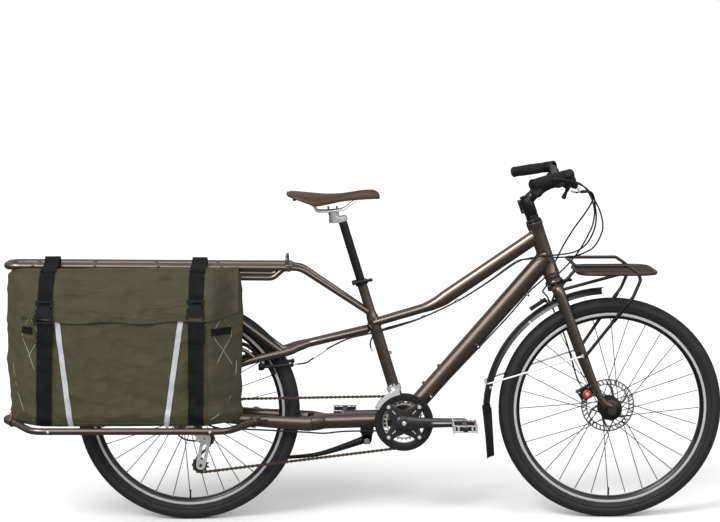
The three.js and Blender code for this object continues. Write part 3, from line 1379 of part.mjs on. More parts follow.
// Shares of the wheel radius from the front axle
const caliperShares = [-0.2, 0.112];
const caliperAt = frontAxle.clone().add(V(caliperShares[0] * wheelRadius,
  (caliperInnerSide + caliperOuterSide) / 2, caliperShares[1] * wheelRadius));
piece('front_caliper', cut(
  join(
    block(caliperAt, caliperLength, caliperOuterSide - caliperInnerSide, caliperHeight,
      -caliperTilt),
    rod(V(caliperAt.x, caliperOuterSide - tabThickness, caliperAt.z), bladeStations(1)[3].at,
      tabThickness * 2, tabThickness * 2, 8),
  ),
  crossRod(frontAxle, discSide - discThickness / 2 - caliperSlotGap,
    discSide + discThickness / 2 + caliperSlotGap, discRadius + caliperSlotGap * 2, 24),
  bladeRoom,
), blackMetal);

// Rear brake: two arms on the studs, each with a shoe beside the rim
const brakeArmLength = 92;
const brakeArmRadius = 6;
const brakeEyeRadius = 9;
const shoeReach = 23;
const shoeLength = 62;
const shoeHeight = 10;
const shoeThickness = 9;
const shoeGap = 1.5;
const shoeSide = rimWidth / 2 + shoeGap + shoeThickness / 2;
for (const [sideName, hand] of [['right', -1], ['left', 1]]) {
  const eye = fromAxle(rearAxle, brakeStudShares, hand);
  const end = eye.clone().addScaledVector(brakeOut, brakeArmLength);
  const shoe = eye.clone().addScaledVector(brakeOut, shoeReach);
  const fromHub = shoe.clone().sub(rearAxle);
  const shoeTilt = 90 - THREE.MathUtils.radToDeg(Math.atan2(fromHub.z, fromHub.x));
  piece(`brake_arm_${sideName}`, cut(join(
    rod(alongStud(eye, -brakeEyeHalf), alongStud(eye, brakeEyeHalf), brakeEyeRadius,
      brakeEyeRadius, 12),
    rod(eye, end, brakeArmRadius, brakeArmRadius, 8),
    crossRod(shoe, hand * shoeSide, eye.y, brakeStudRadius, 8),
    block(V(shoe.x, hand * shoeSide, shoe.z), shoeLength, shoeThickness, shoeHeight, shoeTilt),
  ), rod(alongStud(eye, -brakeStudTop - overrun), alongStud(eye, brakeStudFoot),
    brakeStudRadius + fitGap, brakeStudRadius + fitGap, 10)), silver);
}

// Front derailleur: a clamp band, its arm and a curved cage over the chainrings
const cageRadius = 96;
const cageDepth = 13;
const cageStart = 92;
const cageTurn = 62;
const cageArcSteps = 5;
const cagePlate = 2;
const cageNearSide = chainSide - chainWidth / 2 - cagePlate * 3;
const cageFarSide = chainSide + chainWidth / 2 + cagePlate * 2;
const bandHeight = 14;
const bandThickness = 4;
const bandMiddle = 393;
const cageBridgeTurn = 28;
const arcBand = (inner, outer, turn = cageTurn) => {
  const at = (radius, i) => {
    const angle = lean(cageStart + (turn * i) / cageArcSteps);
    return [bracket.x + radius * Math.cos(angle), bracket.z + radius * Math.sin(angle)];
  };
  const steps = Array.from({ length: cageArcSteps + 1 }, (_, i) => i);
  return [...steps.map((i) => at(outer, i)), ...steps.reverse().map((i) => at(inner, i))];
};
const cageOuter = cageRadius + cageDepth / 2;
const bandAt = seatAt(bandMiddle);
const bandEnd = (reach) => bandAt.clone().addScaledVector(seatUp, reach);
const bandRoom = rod(bandEnd(-bandHeight), bandEnd(bandHeight), seatTubeRadius + fitGap,
  seatTubeRadius + fitGap, 16);
const cageArmHeight = bracket.z + cageRadius;
piece('front_derailleur', cut(join(
  rod(bandEnd(-bandHeight / 2), bandEnd(bandHeight / 2), seatTubeRadius + bandThickness,
    seatTubeRadius + bandThickness, 16),
  plate(arcBand(cageRadius - cageDepth / 2, cageOuter), cageNearSide, cageNearSide + cagePlate),
  plate(arcBand(cageRadius - cageDepth / 2, cageOuter), cageFarSide, cageFarSide + cagePlate),
  plate(arcBand(cageOuter - cagePlate, cageOuter, cageBridgeTurn), cageNearSide,
    cageFarSide + cagePlate),
  rod(bandAt, V(bandAt.x - bandThickness, cageFarSide + cagePlate / 2, cageArmHeight), bandHeight / 2,
    bandHeight / 2, 8),
), bandRoom), silver);

// Kickstand: a bracket under the lower tube and a leg folded back along the left side
const standAhead = -109;
const standHeight = 237;
const standBracketLength = 40;
const standBracketWidth = 34;
const standBracketTop = 16;
const standPinRadius = 6;
const standPinSide = 22;
const standAt = V(bracket.x + standAhead, 0, standHeight);
const lowerTubeRoom = rod(bracket, lowerTubeEnd, lowerTubeRadius + fitGap, lowerTubeRadius + fitGap,
  16);
const standTop = bracketHeight - lowerTubeRadius + standBracketTop / 2;
const standPinHead = standPinSide + standPinRadius;
piece('kickstand_bracket', cut(join(
  block(V(standAt.x, 0, (standTop + standAt.z) / 2), standBracketLength, standBracketWidth,
    standTop - standAt.z + standPinRadius * 2),
  crossRod(standAt, -standPinHead, standPinHead + standPinRadius * 3, standPinRadius, 10),
), lowerTubeRoom), blackMetal);

// Shares of the wheel radius from the stand's pin: ahead, side, rise
const standLegShares = [[0, 0.118, 0], [-0.06, 0.118, -0.036], [-0.43, 0.195, -0.17],
  [-0.71, 0.247, -0.212], [-0.83, 0.272, -0.232]];
const standLegRadii = [9, 8.5, 7, 5.5, 5.5];
const standEyeRadius = 12;
const standEyeHalf = 8;
const standPlace = ([ahead, side, rise]) => standAt.clone()
  .add(V(ahead, side, rise).multiplyScalar(wheelRadius));
const standFoot = standPlace(standLegShares[standLegShares.length - 1]);
const standToe = 16;
piece('kickstand_leg', cut(join(
  crossRod(standPlace(standLegShares[0]), standLegShares[0][1] * wheelRadius - standEyeHalf,
    standLegShares[0][1] * wheelRadius + standEyeHalf, standEyeRadius, 14),
  ovalTube(standLegShares.map((share, i) => ({
    at: standPlace(share), tall: standLegRadii[i], wide: standLegRadii[i],
  })).slice(1), 10),
  rod(standPlace(standLegShares[0]), standPlace(standLegShares[1]), standLegRadii[0],
    standLegRadii[1], 10),
  rod(standFoot, standFoot.clone().add(V(-standToe, 0, -standToe / 4)), standToe / 2, standToe / 2,
    8),
), crossRod(standAt, -standPinHead, standPinHead * 3, standPinRadius + 2 * fitGap, 10)), blackMetal);

// Pannier: a deep canvas bag on the right of the rear carrier, and its two straps
const bagFront = -356;
const bagBack = -1034;
const bagFoot = 319;
const bagTop = 760;
const bagBackSide = 95;
const bagFaceSide = 203;
const bagLength = bagFront - bagBack;
const bagMiddle = (bagFront + bagBack) / 2;
// Rows of shares: height, back, face, half length at the back, half length at the face
const bagShares = [
  [0, 1, 0.9, 0.86, 0.64], [0.08, 1, 0.99, 0.97, 0.72], [0.5, 1, 1, 1, 0.73],
  [0.64, 0.98, 1, 1, 0.74], [0.74, 0.79, 0.97, 1, 0.76], [0.97, 0.7, 0.84, 0.99, 0.8],
  [1, 0.7, 0.7, 0.95, 0.78],
];
const bagRings = (room) => bagShares.map(([height, back, face, backHalf, faceHalf], i) => {
  const lift = i === 0 ? -room : (i === bagShares.length - 1 ? room : 0);
  const z = bagFoot + (bagTop - bagFoot) * height + lift;
  const near = -bagBackSide * back + room;
  const far = -bagFaceSide * face - room;
  const halfBack = (bagLength / 2) * backHalf + room;
  const halfFace = (bagLength / 2) * faceHalf + room;
  const between = near + (far - near) / 4;
  return [
    V(bagMiddle - halfBack, near, z), V(bagMiddle + halfBack, near, z),
    V(bagMiddle + halfBack, between, z), V(bagMiddle + halfFace, far, z),
    V(bagMiddle - halfFace, far, z), V(bagMiddle - halfBack, between, z),
  ];
});
const bag = (room) => loft(bagRings(room));
piece('pannier_bag', bag(0), oliveCanvas);

const strapWidth = 45;
const strapThickness = 3;
// Shares of the bag's length from its back end
const strapShares = { rear: 0.184, front: 0.82 };
for (const [name, share] of Object.entries(strapShares)) {
  const slab = block(V(bagBack + share * bagLength, -bagFaceSide, (bagTop + bagFoot) / 2),
    strapWidth, bagBackSide * 2 - strapThickness, bagTop - bagFoot + strapThickness * 2);
  piece(`bag_strap_${name}`, cut(bag(strapThickness).intersect(slab), bag(fitGap)), webbing);
}

// Cables: housing from each control to its brake or derailleur
const cableRadius = 2.5;
const smooth = (route) => {
  const curve = new THREE.CatmullRomCurve3(route.map(([x, y, z]) => V(x, y, z)));
  return curve.getPoints(route.length - 1);
};
const cable = (name, route) => piece(name, sweep(smooth(route), cableRadius, 8), blackPlastic);
cable('rear_shift_cable', [
  [581.9, -196.4, 987], [600, -195, 983], [618, -182, 987], [640, -150, 979], [654, -110, 962], [657, -62, 944],
  [640, -20, 905], [612, 12, 858], [586, 34, 808], [562, 44, 756], [538, 46, 718],
  [508, 30, 694], [482, 6, 674], [424, -8, 608], [335, -17, 514], [195, -23, 364],
  [142, -24, 287], [116, -22, 267], [60, -24, 268], [-60, -24, 267], [-120, -36, 264],
  [-168, -52, 270], [-260, -54, 276], [-345, -62, 282], [-420, -80, 288], [-465, -98, 304],
  [-510, -103, 312], [-540, -101, 298], [-548, -96, 276], [-530, -92, 260], [-506, -88, 254],
  [-485.7, -86, 253.3],
]);
cable('rear_brake_cable', [
  [599.3, -212.4, 995.5], [605, -210, 985], [622, -198, 984], [640, -172, 983], [655, -128, 967], [663, -92, 942],
  [671, -64, 902], [667, -50, 864], [651, -43, 829], [629, -42, 808], [600, -38, 796],
  [560, -33, 790], [520, -32, 786], [482, -27, 780], [443, -20, 766], [360, -18, 708],
  [271, -18, 653], [172, -20, 607], [103, -26, 583], [53, -28, 569], [10, -28, 559],
  [-48, -24, 545], [-100, -18, 520], [-128, -14, 502], [-155, -13, 484], [-176, -18, 472],
  [-212.5, -33.3, 470.3],
]);
cable('front_shift_cable', [
  [599.3, 212.4, 995.5], [605, 210, 985], [624, 198, 984], [650, 172, 982], [673, 140, 966], [688, 104, 938],
  [700, 66, 905], [705, 46, 868], [698, 40, 839], [678, 37, 806], [650, 36, 789],
  [614, 34, 778], [570, 31, 776], [525, 33, 773], [480, 24, 772], [443, 12, 764],
  [360, 0, 706], [272, 0, 651], [172, 0, 604], [100, 8, 581], [66, 20, 570],
  [40, 24, 558], [22, 14, 543], [16, 4, 522], [22, 2, 502],
]);
cable('front_brake_cable', [
  [581.9, 196.4, 987], [600, 194, 984], [620, 184, 988], [648, 162, 986], [668, 132, 966], [680, 96, 936],
  [680, 50, 908], [670, 6, 875], [656, -14, 850], [641, -24, 824], [617, -28, 788],
  [590, -35, 758], [562, -42, 732], [536, -34, 704], [524, -10, 682], [530, 20, 672],
  [542, 42, 658], [556, 52, 630], [584, 52, 570], [602, 50, 520], [620, 50, 460],
  [634, 48, 412], [649, 46, 384.6],
]);

export default bike;
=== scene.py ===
import math

import bmesh
import bpy
from mathutils import Matrix, Vector, noise


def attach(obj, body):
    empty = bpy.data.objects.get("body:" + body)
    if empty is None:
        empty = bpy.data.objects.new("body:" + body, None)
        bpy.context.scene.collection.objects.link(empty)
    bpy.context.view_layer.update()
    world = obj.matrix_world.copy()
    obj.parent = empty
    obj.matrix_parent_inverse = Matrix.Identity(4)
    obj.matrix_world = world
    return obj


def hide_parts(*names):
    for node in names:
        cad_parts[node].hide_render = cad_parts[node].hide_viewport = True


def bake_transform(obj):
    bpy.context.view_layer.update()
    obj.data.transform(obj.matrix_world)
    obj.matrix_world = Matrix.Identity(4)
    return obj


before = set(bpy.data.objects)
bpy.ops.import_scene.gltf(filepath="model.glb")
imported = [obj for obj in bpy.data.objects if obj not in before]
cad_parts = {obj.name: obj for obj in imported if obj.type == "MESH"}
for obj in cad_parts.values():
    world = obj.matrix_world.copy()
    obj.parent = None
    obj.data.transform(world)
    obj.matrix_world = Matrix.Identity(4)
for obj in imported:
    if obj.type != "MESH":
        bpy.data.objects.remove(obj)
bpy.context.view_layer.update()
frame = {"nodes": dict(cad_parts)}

# A long cargo bicycle with a canvas bag, built piece by piece in millimetres
bl_info = {
    "name": "Long Cargo Bicycle",
    "version": (1, 0, 0),
    "blender": (4, 2, 0),
    "location": "View3D > Sidebar > Cargo Bicycle",
    "description": "Builds a long cargo bicycle with a swept bar, two carriers and a canvas bag",
    "category": "Add Mesh",
}


def at(x, y, z):
    return Vector((x, y, z))


MM = 0.001
HANDS = {"right": -1, "left": 1}
AHEAD = at(1, 0, 0)
ACROSS = at(0, 1, 0)
UP = at(0, 0, 1)
TURN = 2 * math.pi

# Wheels
WHEEL_RADIUS = 330
FRONT_AXLE = at(726, 0, 330)
REAR_AXLE = at(-524, 0, 330)
TYRE_HALF = 25
RIM_INNER = 268
RIM_OUTER = 286
SPOKE_HEAD = 266.6
REAR_END_SIDE = 67.5
DISC_SIDE = 39.5

# Drive
PITCH = 12.7
BRACKET = at(114, 0, 300)
CHAIN_SIDE = -48
GUIDE_JOCKEY = at(-469.9, 0, 254.1)
TENSION_JOCKEY = at(-487, 0, 172.9)
HANGER = at(-514.1, 0, 297)
CRANK_LENGTH = 175
CRANK_SIDE = 68.5
PEDAL_START = 78.5
PEDAL_END = 170.5

# Steering and seat
STEER_FOOT = at(691.49, 0, 318.12)
STEER_UP = at(-0.32557, 0, 0.94552)
STEER_AHEAD = at(0.94552, 0, 0.32557)
SEAT_UP = at(-0.28903, 0, 0.95732)
BAR_CENTRE = at(564.6, 0, 1003)
BAR_HALF = 312

# Rear carrier
RAIL_FRONT = -221
RAIL_END = -1045
RAIL_SIDE = 55
RAIL_HEIGHT = 758
RAIL_RISE = 9

# Pannier
BAG_FRONT = -356
BAG_BACK = -1034
BAG_FOOT = 319
BAG_TOP = 760
BAG_BACK_SIDE = 95
BAG_FACE_SIDE = 203


def length_property(name, what, value, low, high):
    return bpy.props.FloatProperty(
        name=name, description=what, default=value, min=low, max=high, unit="LENGTH")


class CargoBikeSizes(bpy.types.PropertyGroup):
    """Sizes that the builder can change"""

    weld: length_property(
        "Weld bead", "Radius of the weld bead round a joint", 0.0021, 0.0005, 0.006)
    edge: length_property("Edge round", "Width of the round on cut edges", 0.0007, 0.0001, 0.003)
    spoke: length_property("Spoke", "Radius of a spoke", 0.0013, 0.0005, 0.002)
    cable: length_property("Cable", "Radius of the cable housing", 0.0025, 0.001, 0.004)
    crease: length_property("Crease", "Depth of the creases in the bag's canvas", 0.0075, 0, 0.02)
    tube_sides: bpy.props.IntProperty(
        name="Tube sides", description="Facets round a frame tube",
        default=28, min=8, max=64)
    tread_rows: bpy.props.IntProperty(
        name="Tread blocks", description="Blocks in one row round a tyre",
        default=104, min=20, max=200)


def colour_property(name, what, value):
    return bpy.props.FloatVectorProperty(
        name=name, description=what, subtype="COLOR", size=3, min=0, max=1, default=value)


class CargoBikeColours(bpy.types.PropertyGroup):
    """Colours of the finishes"""

    frame: colour_property("Frame", "Bronze brown paint of the frame", (0.158, 0.127, 0.110))
    carrier: colour_property("Carrier", "Brown paint of the front carrier", (0.066, 0.050, 0.042))
    black: colour_property("Black metal", "Satin black metal", (0.008, 0.008, 0.0085))
    plastic: colour_property("Black plastic", "Matt black plastic", (0.0095, 0.0095, 0.01))
    silver: colour_property("Bright metal", "Polished aluminium", (0.78, 0.78, 0.77))
    steel: colour_property("Steel", "Brushed steel", (0.29, 0.26, 0.215))
    chain: colour_property("Chain", "Oiled brown chain", (0.13, 0.10, 0.066))
    dark: colour_property("Dark metal", "Dark anodised metal", (0.062, 0.062, 0.066))
    tyre: colour_property("Tyre", "Tyre rubber", (0.0135, 0.0135, 0.014))
    grip: colour_property("Grip", "Grip rubber", (0.011, 0.011, 0.0115))
    leather: colour_property("Leather", "Smooth saddle leather", (0.052, 0.027, 0.0125))
    canvas: colour_property("Canvas", "Olive green canvas", (0.064, 0.058, 0.029))
    lid: colour_property("Lid canvas", "Olive canvas of the lid", (0.062, 0.056, 0.028))
    webbing: colour_property("Webbing", "Black webbing", (0.0055, 0.0055, 0.006))
    stitch: colour_property("Stitch", "Pale thread", (0.34, 0.34, 0.28))
    reflector: colour_property("Strip", "Grey reflective strip", (0.40, 0.40, 0.44))
    amber: colour_property("Amber", "Pedal reflector", (0.75, 0.17, 0.01))
    red: colour_property("Knob", "Red adjuster knob", (0.42, 0.02, 0.015))


def sizes():
    return bpy.context.scene.cargo_bike_sizes


def colours():
    return bpy.context.scene.cargo_bike_colours


# Places on the bicycle
def around(turn):
    """The way out from a wheel's axle at that turn, counted from straight ahead."""
    return at(math.cos(turn), 0, math.sin(turn))


def mirrored(point, hand):
    """A place on the left, or for hand -1 the place across from it."""
    return at(point.x, point.y * hand, point.z)


def steer_at(height, ahead=0.0, side=0.0):
    along = (height - STEER_FOOT.z) / STEER_UP.z
    return STEER_FOOT + STEER_UP * along + STEER_AHEAD * ahead + ACROSS * side


def seat_at(height):
    return BRACKET + SEAT_UP * ((height - BRACKET.z) / SEAT_UP.z)


def rear_place(share, hand):
    """A place in shares of the wheel radius: ahead of the rear axle, to the side, and up."""
    ahead, side, height = share
    return at(REAR_AXLE.x + ahead * WHEEL_RADIUS, side * hand * WHEEL_RADIUS,
              height * WHEEL_RADIUS)


def rail_height(x):
    return RAIL_HEIGHT + RAIL_RISE * (RAIL_FRONT - x) / (RAIL_FRONT - RAIL_END)


# Paths
def rounded(corners, bend, steps=7):
    """The corner points with each corner cut by a curve of about that radius."""
    path = [corners[0].copy()]
    for before, corner, after in zip(corners, corners[1:], corners[2:]):
        back, on = before - corner, after - corner
        turn = math.pi - back.angle(on)
        reach = min(bend * math.tan(turn / 2), 0.476 * back.length, 0.476 * on.length)
        start, end = corner + back.normalized() * reach, corner + on.normalized() * reach
        for step in range(steps + 1):
            t = step / steps
            path.append(start * (1 - t) ** 2 + corner * 2 * t * (1 - t) + end * t * t)
    path.append(corners[-1].copy())
    return path


def spline(rows, steps=5):
    """Rows of numbers with smooth rows between them."""
    rows = [list(row) for row in rows]
    out = []
    for i in range(len(rows) - 1):
        a, b, c, d = (rows[max(i - 1, 0)], rows[i], rows[i + 1], rows[min(i + 2, len(rows) - 1)])
        for step in range(steps):
            t = step / steps
            out.append([
                0.5 * (2 * q + (r - p) * t + (2 * p - 5 * q + 4 * r - s) * t * t
                       + (3 * q - p - 3 * r + s) * t ** 3)
                for p, q, r, s in zip(a, b, c, d)])
    out.append(rows[-1])
    return out


def curve(points, steps=5):
    return [Vector(row) for row in spline(points, steps)]


def ways(path, closed=False):
    last = len(path) - 1
    found = []
    for i in range(len(path)):
        before = path[i - 1] if i or closed else path[0]
        after = path[(i + 1) % len(path)] if i < last or closed else path[last]
        found.append((after - before).normalized())
    return found


def fan(side, up, count):
    """Ways out round a ring, from side towards up."""
    return [side * math.cos(TURN * j / count) + up * math.sin(TURN * j / count)
            for j in range(count)]


class Form:
    """Points and faces in millimetres, with a finish number for each face."""

    def __init__(self):
        self.points = []
        self.faces = []
        self.kinds = []

    def skin(self, rings, kind=0, closed=False, caps=True, kinds=None):
        """Closed loops of equally many points, joined in their order."""
        first, sides, count = len(self.points), len(rings[0]), len(rings)
        for ring in rings:
            self.points.extend(ring)
        for i in range(count if closed else count - 1):
            here, there = first + i * sides, first + (i + 1) % count * sides
            for j in range(sides):
                k = (j + 1) % sides
                self.faces.append((here + j, here + k, there + k, there + j))
                self.kinds.append(kinds[j] if kinds else kind)
        if caps and not closed:
            self.faces.append(tuple(range(first, first + sides)))
            self.faces.append(tuple(range(first + (count - 1) * sides, first + count * sides)))
            self.kinds.extend([kind, kind])

    def tube(self, path, radius, sides=None, kind=0, closed=False):
        """A round bar along a path. The radius is one number or one for each point."""
        sides = sides or sizes().tube_sides
        radii = radius if isinstance(radius, (list, tuple)) else [radius] * len(path)
        middle = sum(path, Vector()) / len(path)
        side = ACROSS if abs((path[1] - path[0]).normalized().y) < 0.9 else AHEAD
        rings = []
        for point, way, reach in zip(path, ways(path, closed), radii):
            if closed:
                side = point - middle
            side = (side - way * side.dot(way)).normalized()
            rings.append([point + out * reach for out in fan(side, way.cross(side), sides)])
        self.skin(rings, kind, closed)

    def oval(self, stations, sides=None, kind=0):
        """Stations of place, half height and half width."""
        sides = sides or sizes().tube_sides
        path = [Vector(row[:3]) for row in stations]
        rings = []
        for row, point, way in zip(stations, path, ways(path)):
            across = (ACROSS - way * way.y).normalized()
            up = across.cross(way)
            rings.append([point + up * (row[3] * math.cos(TURN * j / sides))
                          + across * (row[4] * math.sin(TURN * j / sides))
                          for j in range(sides)])
        self.skin(rings, kind)

    def turned(self, profile, centre, axis=ACROSS, sides=64, kind=0, kinds=None):
        """A closed profile of radius and place along the axis, turned round it."""
        axis = axis.normalized()
        side = AHEAD if abs(axis.x) < 0.9 else UP
        side = (side - axis * side.dot(axis)).normalized()
        rings = [[centre + out * r + axis * along for r, along in profile]
                 for out in fan(side, axis.cross(side), sides)]
        self.skin(rings, kind, closed=True, kinds=kinds)

    def washer(self, inner, outer, low, high, centre, axis=ACROSS, sides=64, kind=0):
        """A flat ring with square edges."""
        self.turned([(inner, low), (outer, low), (outer, high), (inner, high)], centre, axis,
                    sides, kind)

    def taper(self, rows, sides):
        """A smooth round bar through rows of place and radius."""
        smooth = spline(rows, 6)
        self.tube([Vector(row[:3]) for row in smooth], [row[3] for row in smooth], sides)

    def rod(self, start, end, radius, sides=16, kind=0, soft=0.0):
        """A straight round bar whose ends are rounded off by soft."""
        way = (end - start).normalized()
        if soft:
            path = [start, start + way * soft, end - way * soft, end]
            self.tube(path, [radius - soft, radius, radius, radius - soft], sides, kind)
        else:
            self.tube([start, end], radius, sides, kind)

    def pin(self, centre, low, high, radius, sides=16, kind=0, soft=0.6):
        """A bar across the bicycle, from one side place to another."""
        self.rod(at(centre.x, low, centre.z), at(centre.x, high, centre.z), radius, sides, kind,
                 soft)

    def plate(self, outline, low, high, kind=0, hole=None, lay=None):
        """A flat plate. Outline and hole are points ahead and up, with low and high to the side."""
        lay = lay or (lambda u, v, w: at(u, w, v))
        loops = [[lay(u, v, side) for u, v in loop]
                 for side in (low, high) for loop in ([outline, hole] if hole else [outline])]
        if hole:
            self.skin([loops[0], loops[2], loops[3], loops[1]], kind, closed=True)
        else:
            self.skin(loops, kind)

    def brick(self, centre, size, tilt=0.0, kind=0):
        """A block, tilted about the line across the bicycle."""
        turn = Matrix.Rotation(math.radians(tilt), 3, "Y")
        half = [s / 2 for s in size]
        rings = [[centre + turn @ at(sx * half[0], sy * half[1], sz * half[2])
                  for sx, sy in ((-1, -1), (1, -1), (1, 1), (-1, 1))] for sz in (-1, 1)]
        self.skin(rings, kind)

    def bead(self, outside, way, radius, centre, axis, reach, size=None):
        """A weld bead where a bar of that radius meets a tube of radius reach on an axis."""
        way, axis = way.normalized(), axis.normalized()
        side = way.orthogonal().normalized()
        loop = []
        for out in fan(side, way.cross(side), 28):
            edge = outside + out * radius
            from_axis = edge - centre
            flat = from_axis - axis * from_axis.dot(axis)
            flat_way = way - axis * way.dot(axis)
            a, b = flat_way.dot(flat_way), flat.dot(flat_way)
            inner = b * b - a * (flat.dot(flat) - reach * reach)
            loop.append(edge + way * ((-b - math.sqrt(max(inner, 0))) / a))
        self.tube(loop, size or sizes().weld / MM, 8, closed=True)


def spot(centre, reach, turn):
    """The place ahead and up at that reach and turn from a centre."""
    return centre.x + reach * math.cos(turn), centre.z + reach * math.sin(turn)


def circle(centre, radius, count, start=0.0):
    return [spot(centre, radius, start + TURN * i / count) for i in range(count)]


def placed(name, data):
    """A new object in the scene."""
    item = bpy.data.objects.new(name, data)
    bpy.context.scene.collection.objects.link(item)
    return item


def build(name, form, body, looks, replaces=(), bevel=True, sharp=38, ride=True):
    """Makes the Blender object of a form, in the named looks, and puts it on its body."""
    mesh = bpy.data.meshes.new(name)
    mesh.from_pydata([point * MM for point in form.points], [], form.faces)
    for look in looks.split():
        mesh.materials.append(finish(look))
    mesh.polygons.foreach_set("material_index", form.kinds)
    edit = bmesh.new()
    edit.from_mesh(mesh)
    bmesh.ops.remove_doubles(edit, verts=edit.verts, dist=0.5e-6)
    bmesh.ops.dissolve_degenerate(edit, edges=edit.edges, dist=1e-7)
    bmesh.ops.recalc_face_normals(edit, faces=edit.faces)
    edit.to_mesh(mesh)
    edit.free()
    if not mesh.polygons:
        raise RuntimeError(f"{name} has no faces")
    mesh.shade_smooth()
    mesh.set_sharp_from_angle(angle=math.radians(sharp))
    piece = placed(name, mesh)
    if bevel:
        soft = piece.modifiers.new("Edge round", "BEVEL")
        soft.width = sizes().edge
        soft.segments = 2
        soft.limit_method = "ANGLE"
        soft.angle_limit = math.radians(sharp)
        soft.use_clamp_overlap = True
    if replaces:
        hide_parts(*replaces)
    if ride:
        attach(piece, body)
    return piece


# Shared effects
def effect(name, inputs, outputs):
    """An empty group of nodes, what it is given, and what it gives out."""
    tree = bpy.data.node_groups.new(name, "ShaderNodeTree")
    for label, kind, value in inputs:
        socket = tree.interface.new_socket(label, in_out="INPUT", socket_type=kind)
        socket.default_value = value
    for label, kind in outputs:
        tree.interface.new_socket(label, in_out="OUTPUT", socket_type=kind)
    given, out = tree.nodes.new("NodeGroupInput"), tree.nodes.new("NodeGroupOutput")
    return tree, given.outputs, out.inputs


def wire(tree, kind, links=(), **settings):
    """Adds a node, sets it, and links outputs to its inputs."""
    node = tree.nodes.new(kind)
    for key, value in settings.items():
        setattr(node, key, value)
    for socket, source in dict(links).items():
        if hasattr(source, "links"):
            tree.links.new(source, node.inputs[socket])
        else:
            node.inputs[socket].default_value = source
    return node


def ramp(tree, source, low, high):
    """Spreads the stretch from low to high over 0 to 1."""
    return wire(tree, "ShaderNodeMapRange", {0: source, 1: low, 2: high}).outputs[0]


def calc(tree, operation, *values):
    """The result of that operation on numbers or sockets."""
    return wire(tree, "ShaderNodeMath", enumerate(values), operation=operation).outputs[0]


def speckle(tree, place, scale, detail, distortion=0.0):
    """Noise over the surface, from 0 to 1."""
    return wire(tree, "ShaderNodeTexNoise", {
        "Vector": place, "Scale": scale, "Detail": detail, "Distortion": distortion}).outputs[0]


def blend_colour(tree, share, first, second):
    """The first colour, going over to the second with the share."""
    node = wire(tree, "ShaderNodeMix", {0: share, 6: first, 7: second}, data_type="RGBA")
    return node.outputs[2]


FLOAT, COLOUR = "NodeSocketFloat", "NodeSocketColor"
GREY = (0.5, 0.5, 0.5, 1)
BARE_METAL = (0.45, 0.43, 0.4, 1)
# Near-black colour of the painted shade in inside corners
CORNER_SHADE_COLOUR = (0.02, 0.018, 0.015, 1)
BLACK = (0, 0, 0, 1)
# Dark colour for the painted shade between threads and for the cloth's random mottle
THREAD_GAP_SHADE_AND_MOTTLE = (0.004, 0.004, 0.003, 1)
DUST = (0.3, 0.27, 0.23, 1)


def make_worn_edges_and_corner_shade():
    """Paint rubbed thin on outside edges, and painted shade that darkens the inside corners."""
    tree, given, out = effect("Worn Edges And Corner Shade", [
        ("Colour", COLOUR, GREY), ("Bare Colour", COLOUR, BARE_METAL), ("Amount", FLOAT, 0.5)],
        [("Colour", COLOUR)])
    bend = wire(tree, "ShaderNodeNewGeometry").outputs["Pointiness"]
    place = wire(tree, "ShaderNodeTexCoord").outputs["Object"]
    patch = ramp(tree, speckle(tree, place, 190.0, 3.0), 0.46, 0.62)
    worn = calc(tree, "MULTIPLY", ramp(tree, bend, 0.62, 0.8), patch)
    bare = calc(tree, "MULTIPLY", worn, given["Amount"])
    # Painted shade: inside corners, where the pointiness is low, go darker towards a near-black
    # colour
    corner = calc(tree, "MULTIPLY", ramp(tree, bend, 0.47, 0.38), 0.45)
    corner_shaded = blend_colour(tree, corner, given["Colour"], CORNER_SHADE_COLOUR)
    final = blend_colour(tree, bare, corner_shaded, given["Bare Colour"])
    tree.links.new(final, out["Colour"])
    return tree


def make_grain():
    """Fine grain of a surface: a little change in shade, roughness and height."""
    tree, given, out = effect("Surface Grain", [
        ("Colour", COLOUR, GREY), ("Scale", FLOAT, 300.0), ("Shade", FLOAT, 0.2),
        ("Roughness", FLOAT, 0.4), ("Spread", FLOAT, 0.15)],
        [("Colour", COLOUR), ("Roughness", FLOAT), ("Height", FLOAT)])
    place = wire(tree, "ShaderNodeTexCoord").outputs["Object"]
    fine = speckle(tree, place, given["Scale"], 4.0)
    broad = speckle(tree, place, 9.0, 2.0)
    shade = calc(tree, "MULTIPLY", fine, given["Shade"])
    deeper = blend_colour(tree, shade, given["Colour"], BLACK)
    change = calc(tree, "SUBTRACT", broad, 0.5)
    amount = calc(tree, "MULTIPLY", change, given["Spread"])
    rough = calc(tree, "ADD", given["Roughness"], amount)
    tree.links.new(deeper, out["Colour"])
    tree.links.new(rough, out["Roughness"])
    tree.links.new(fine, out["Height"])
    return tree


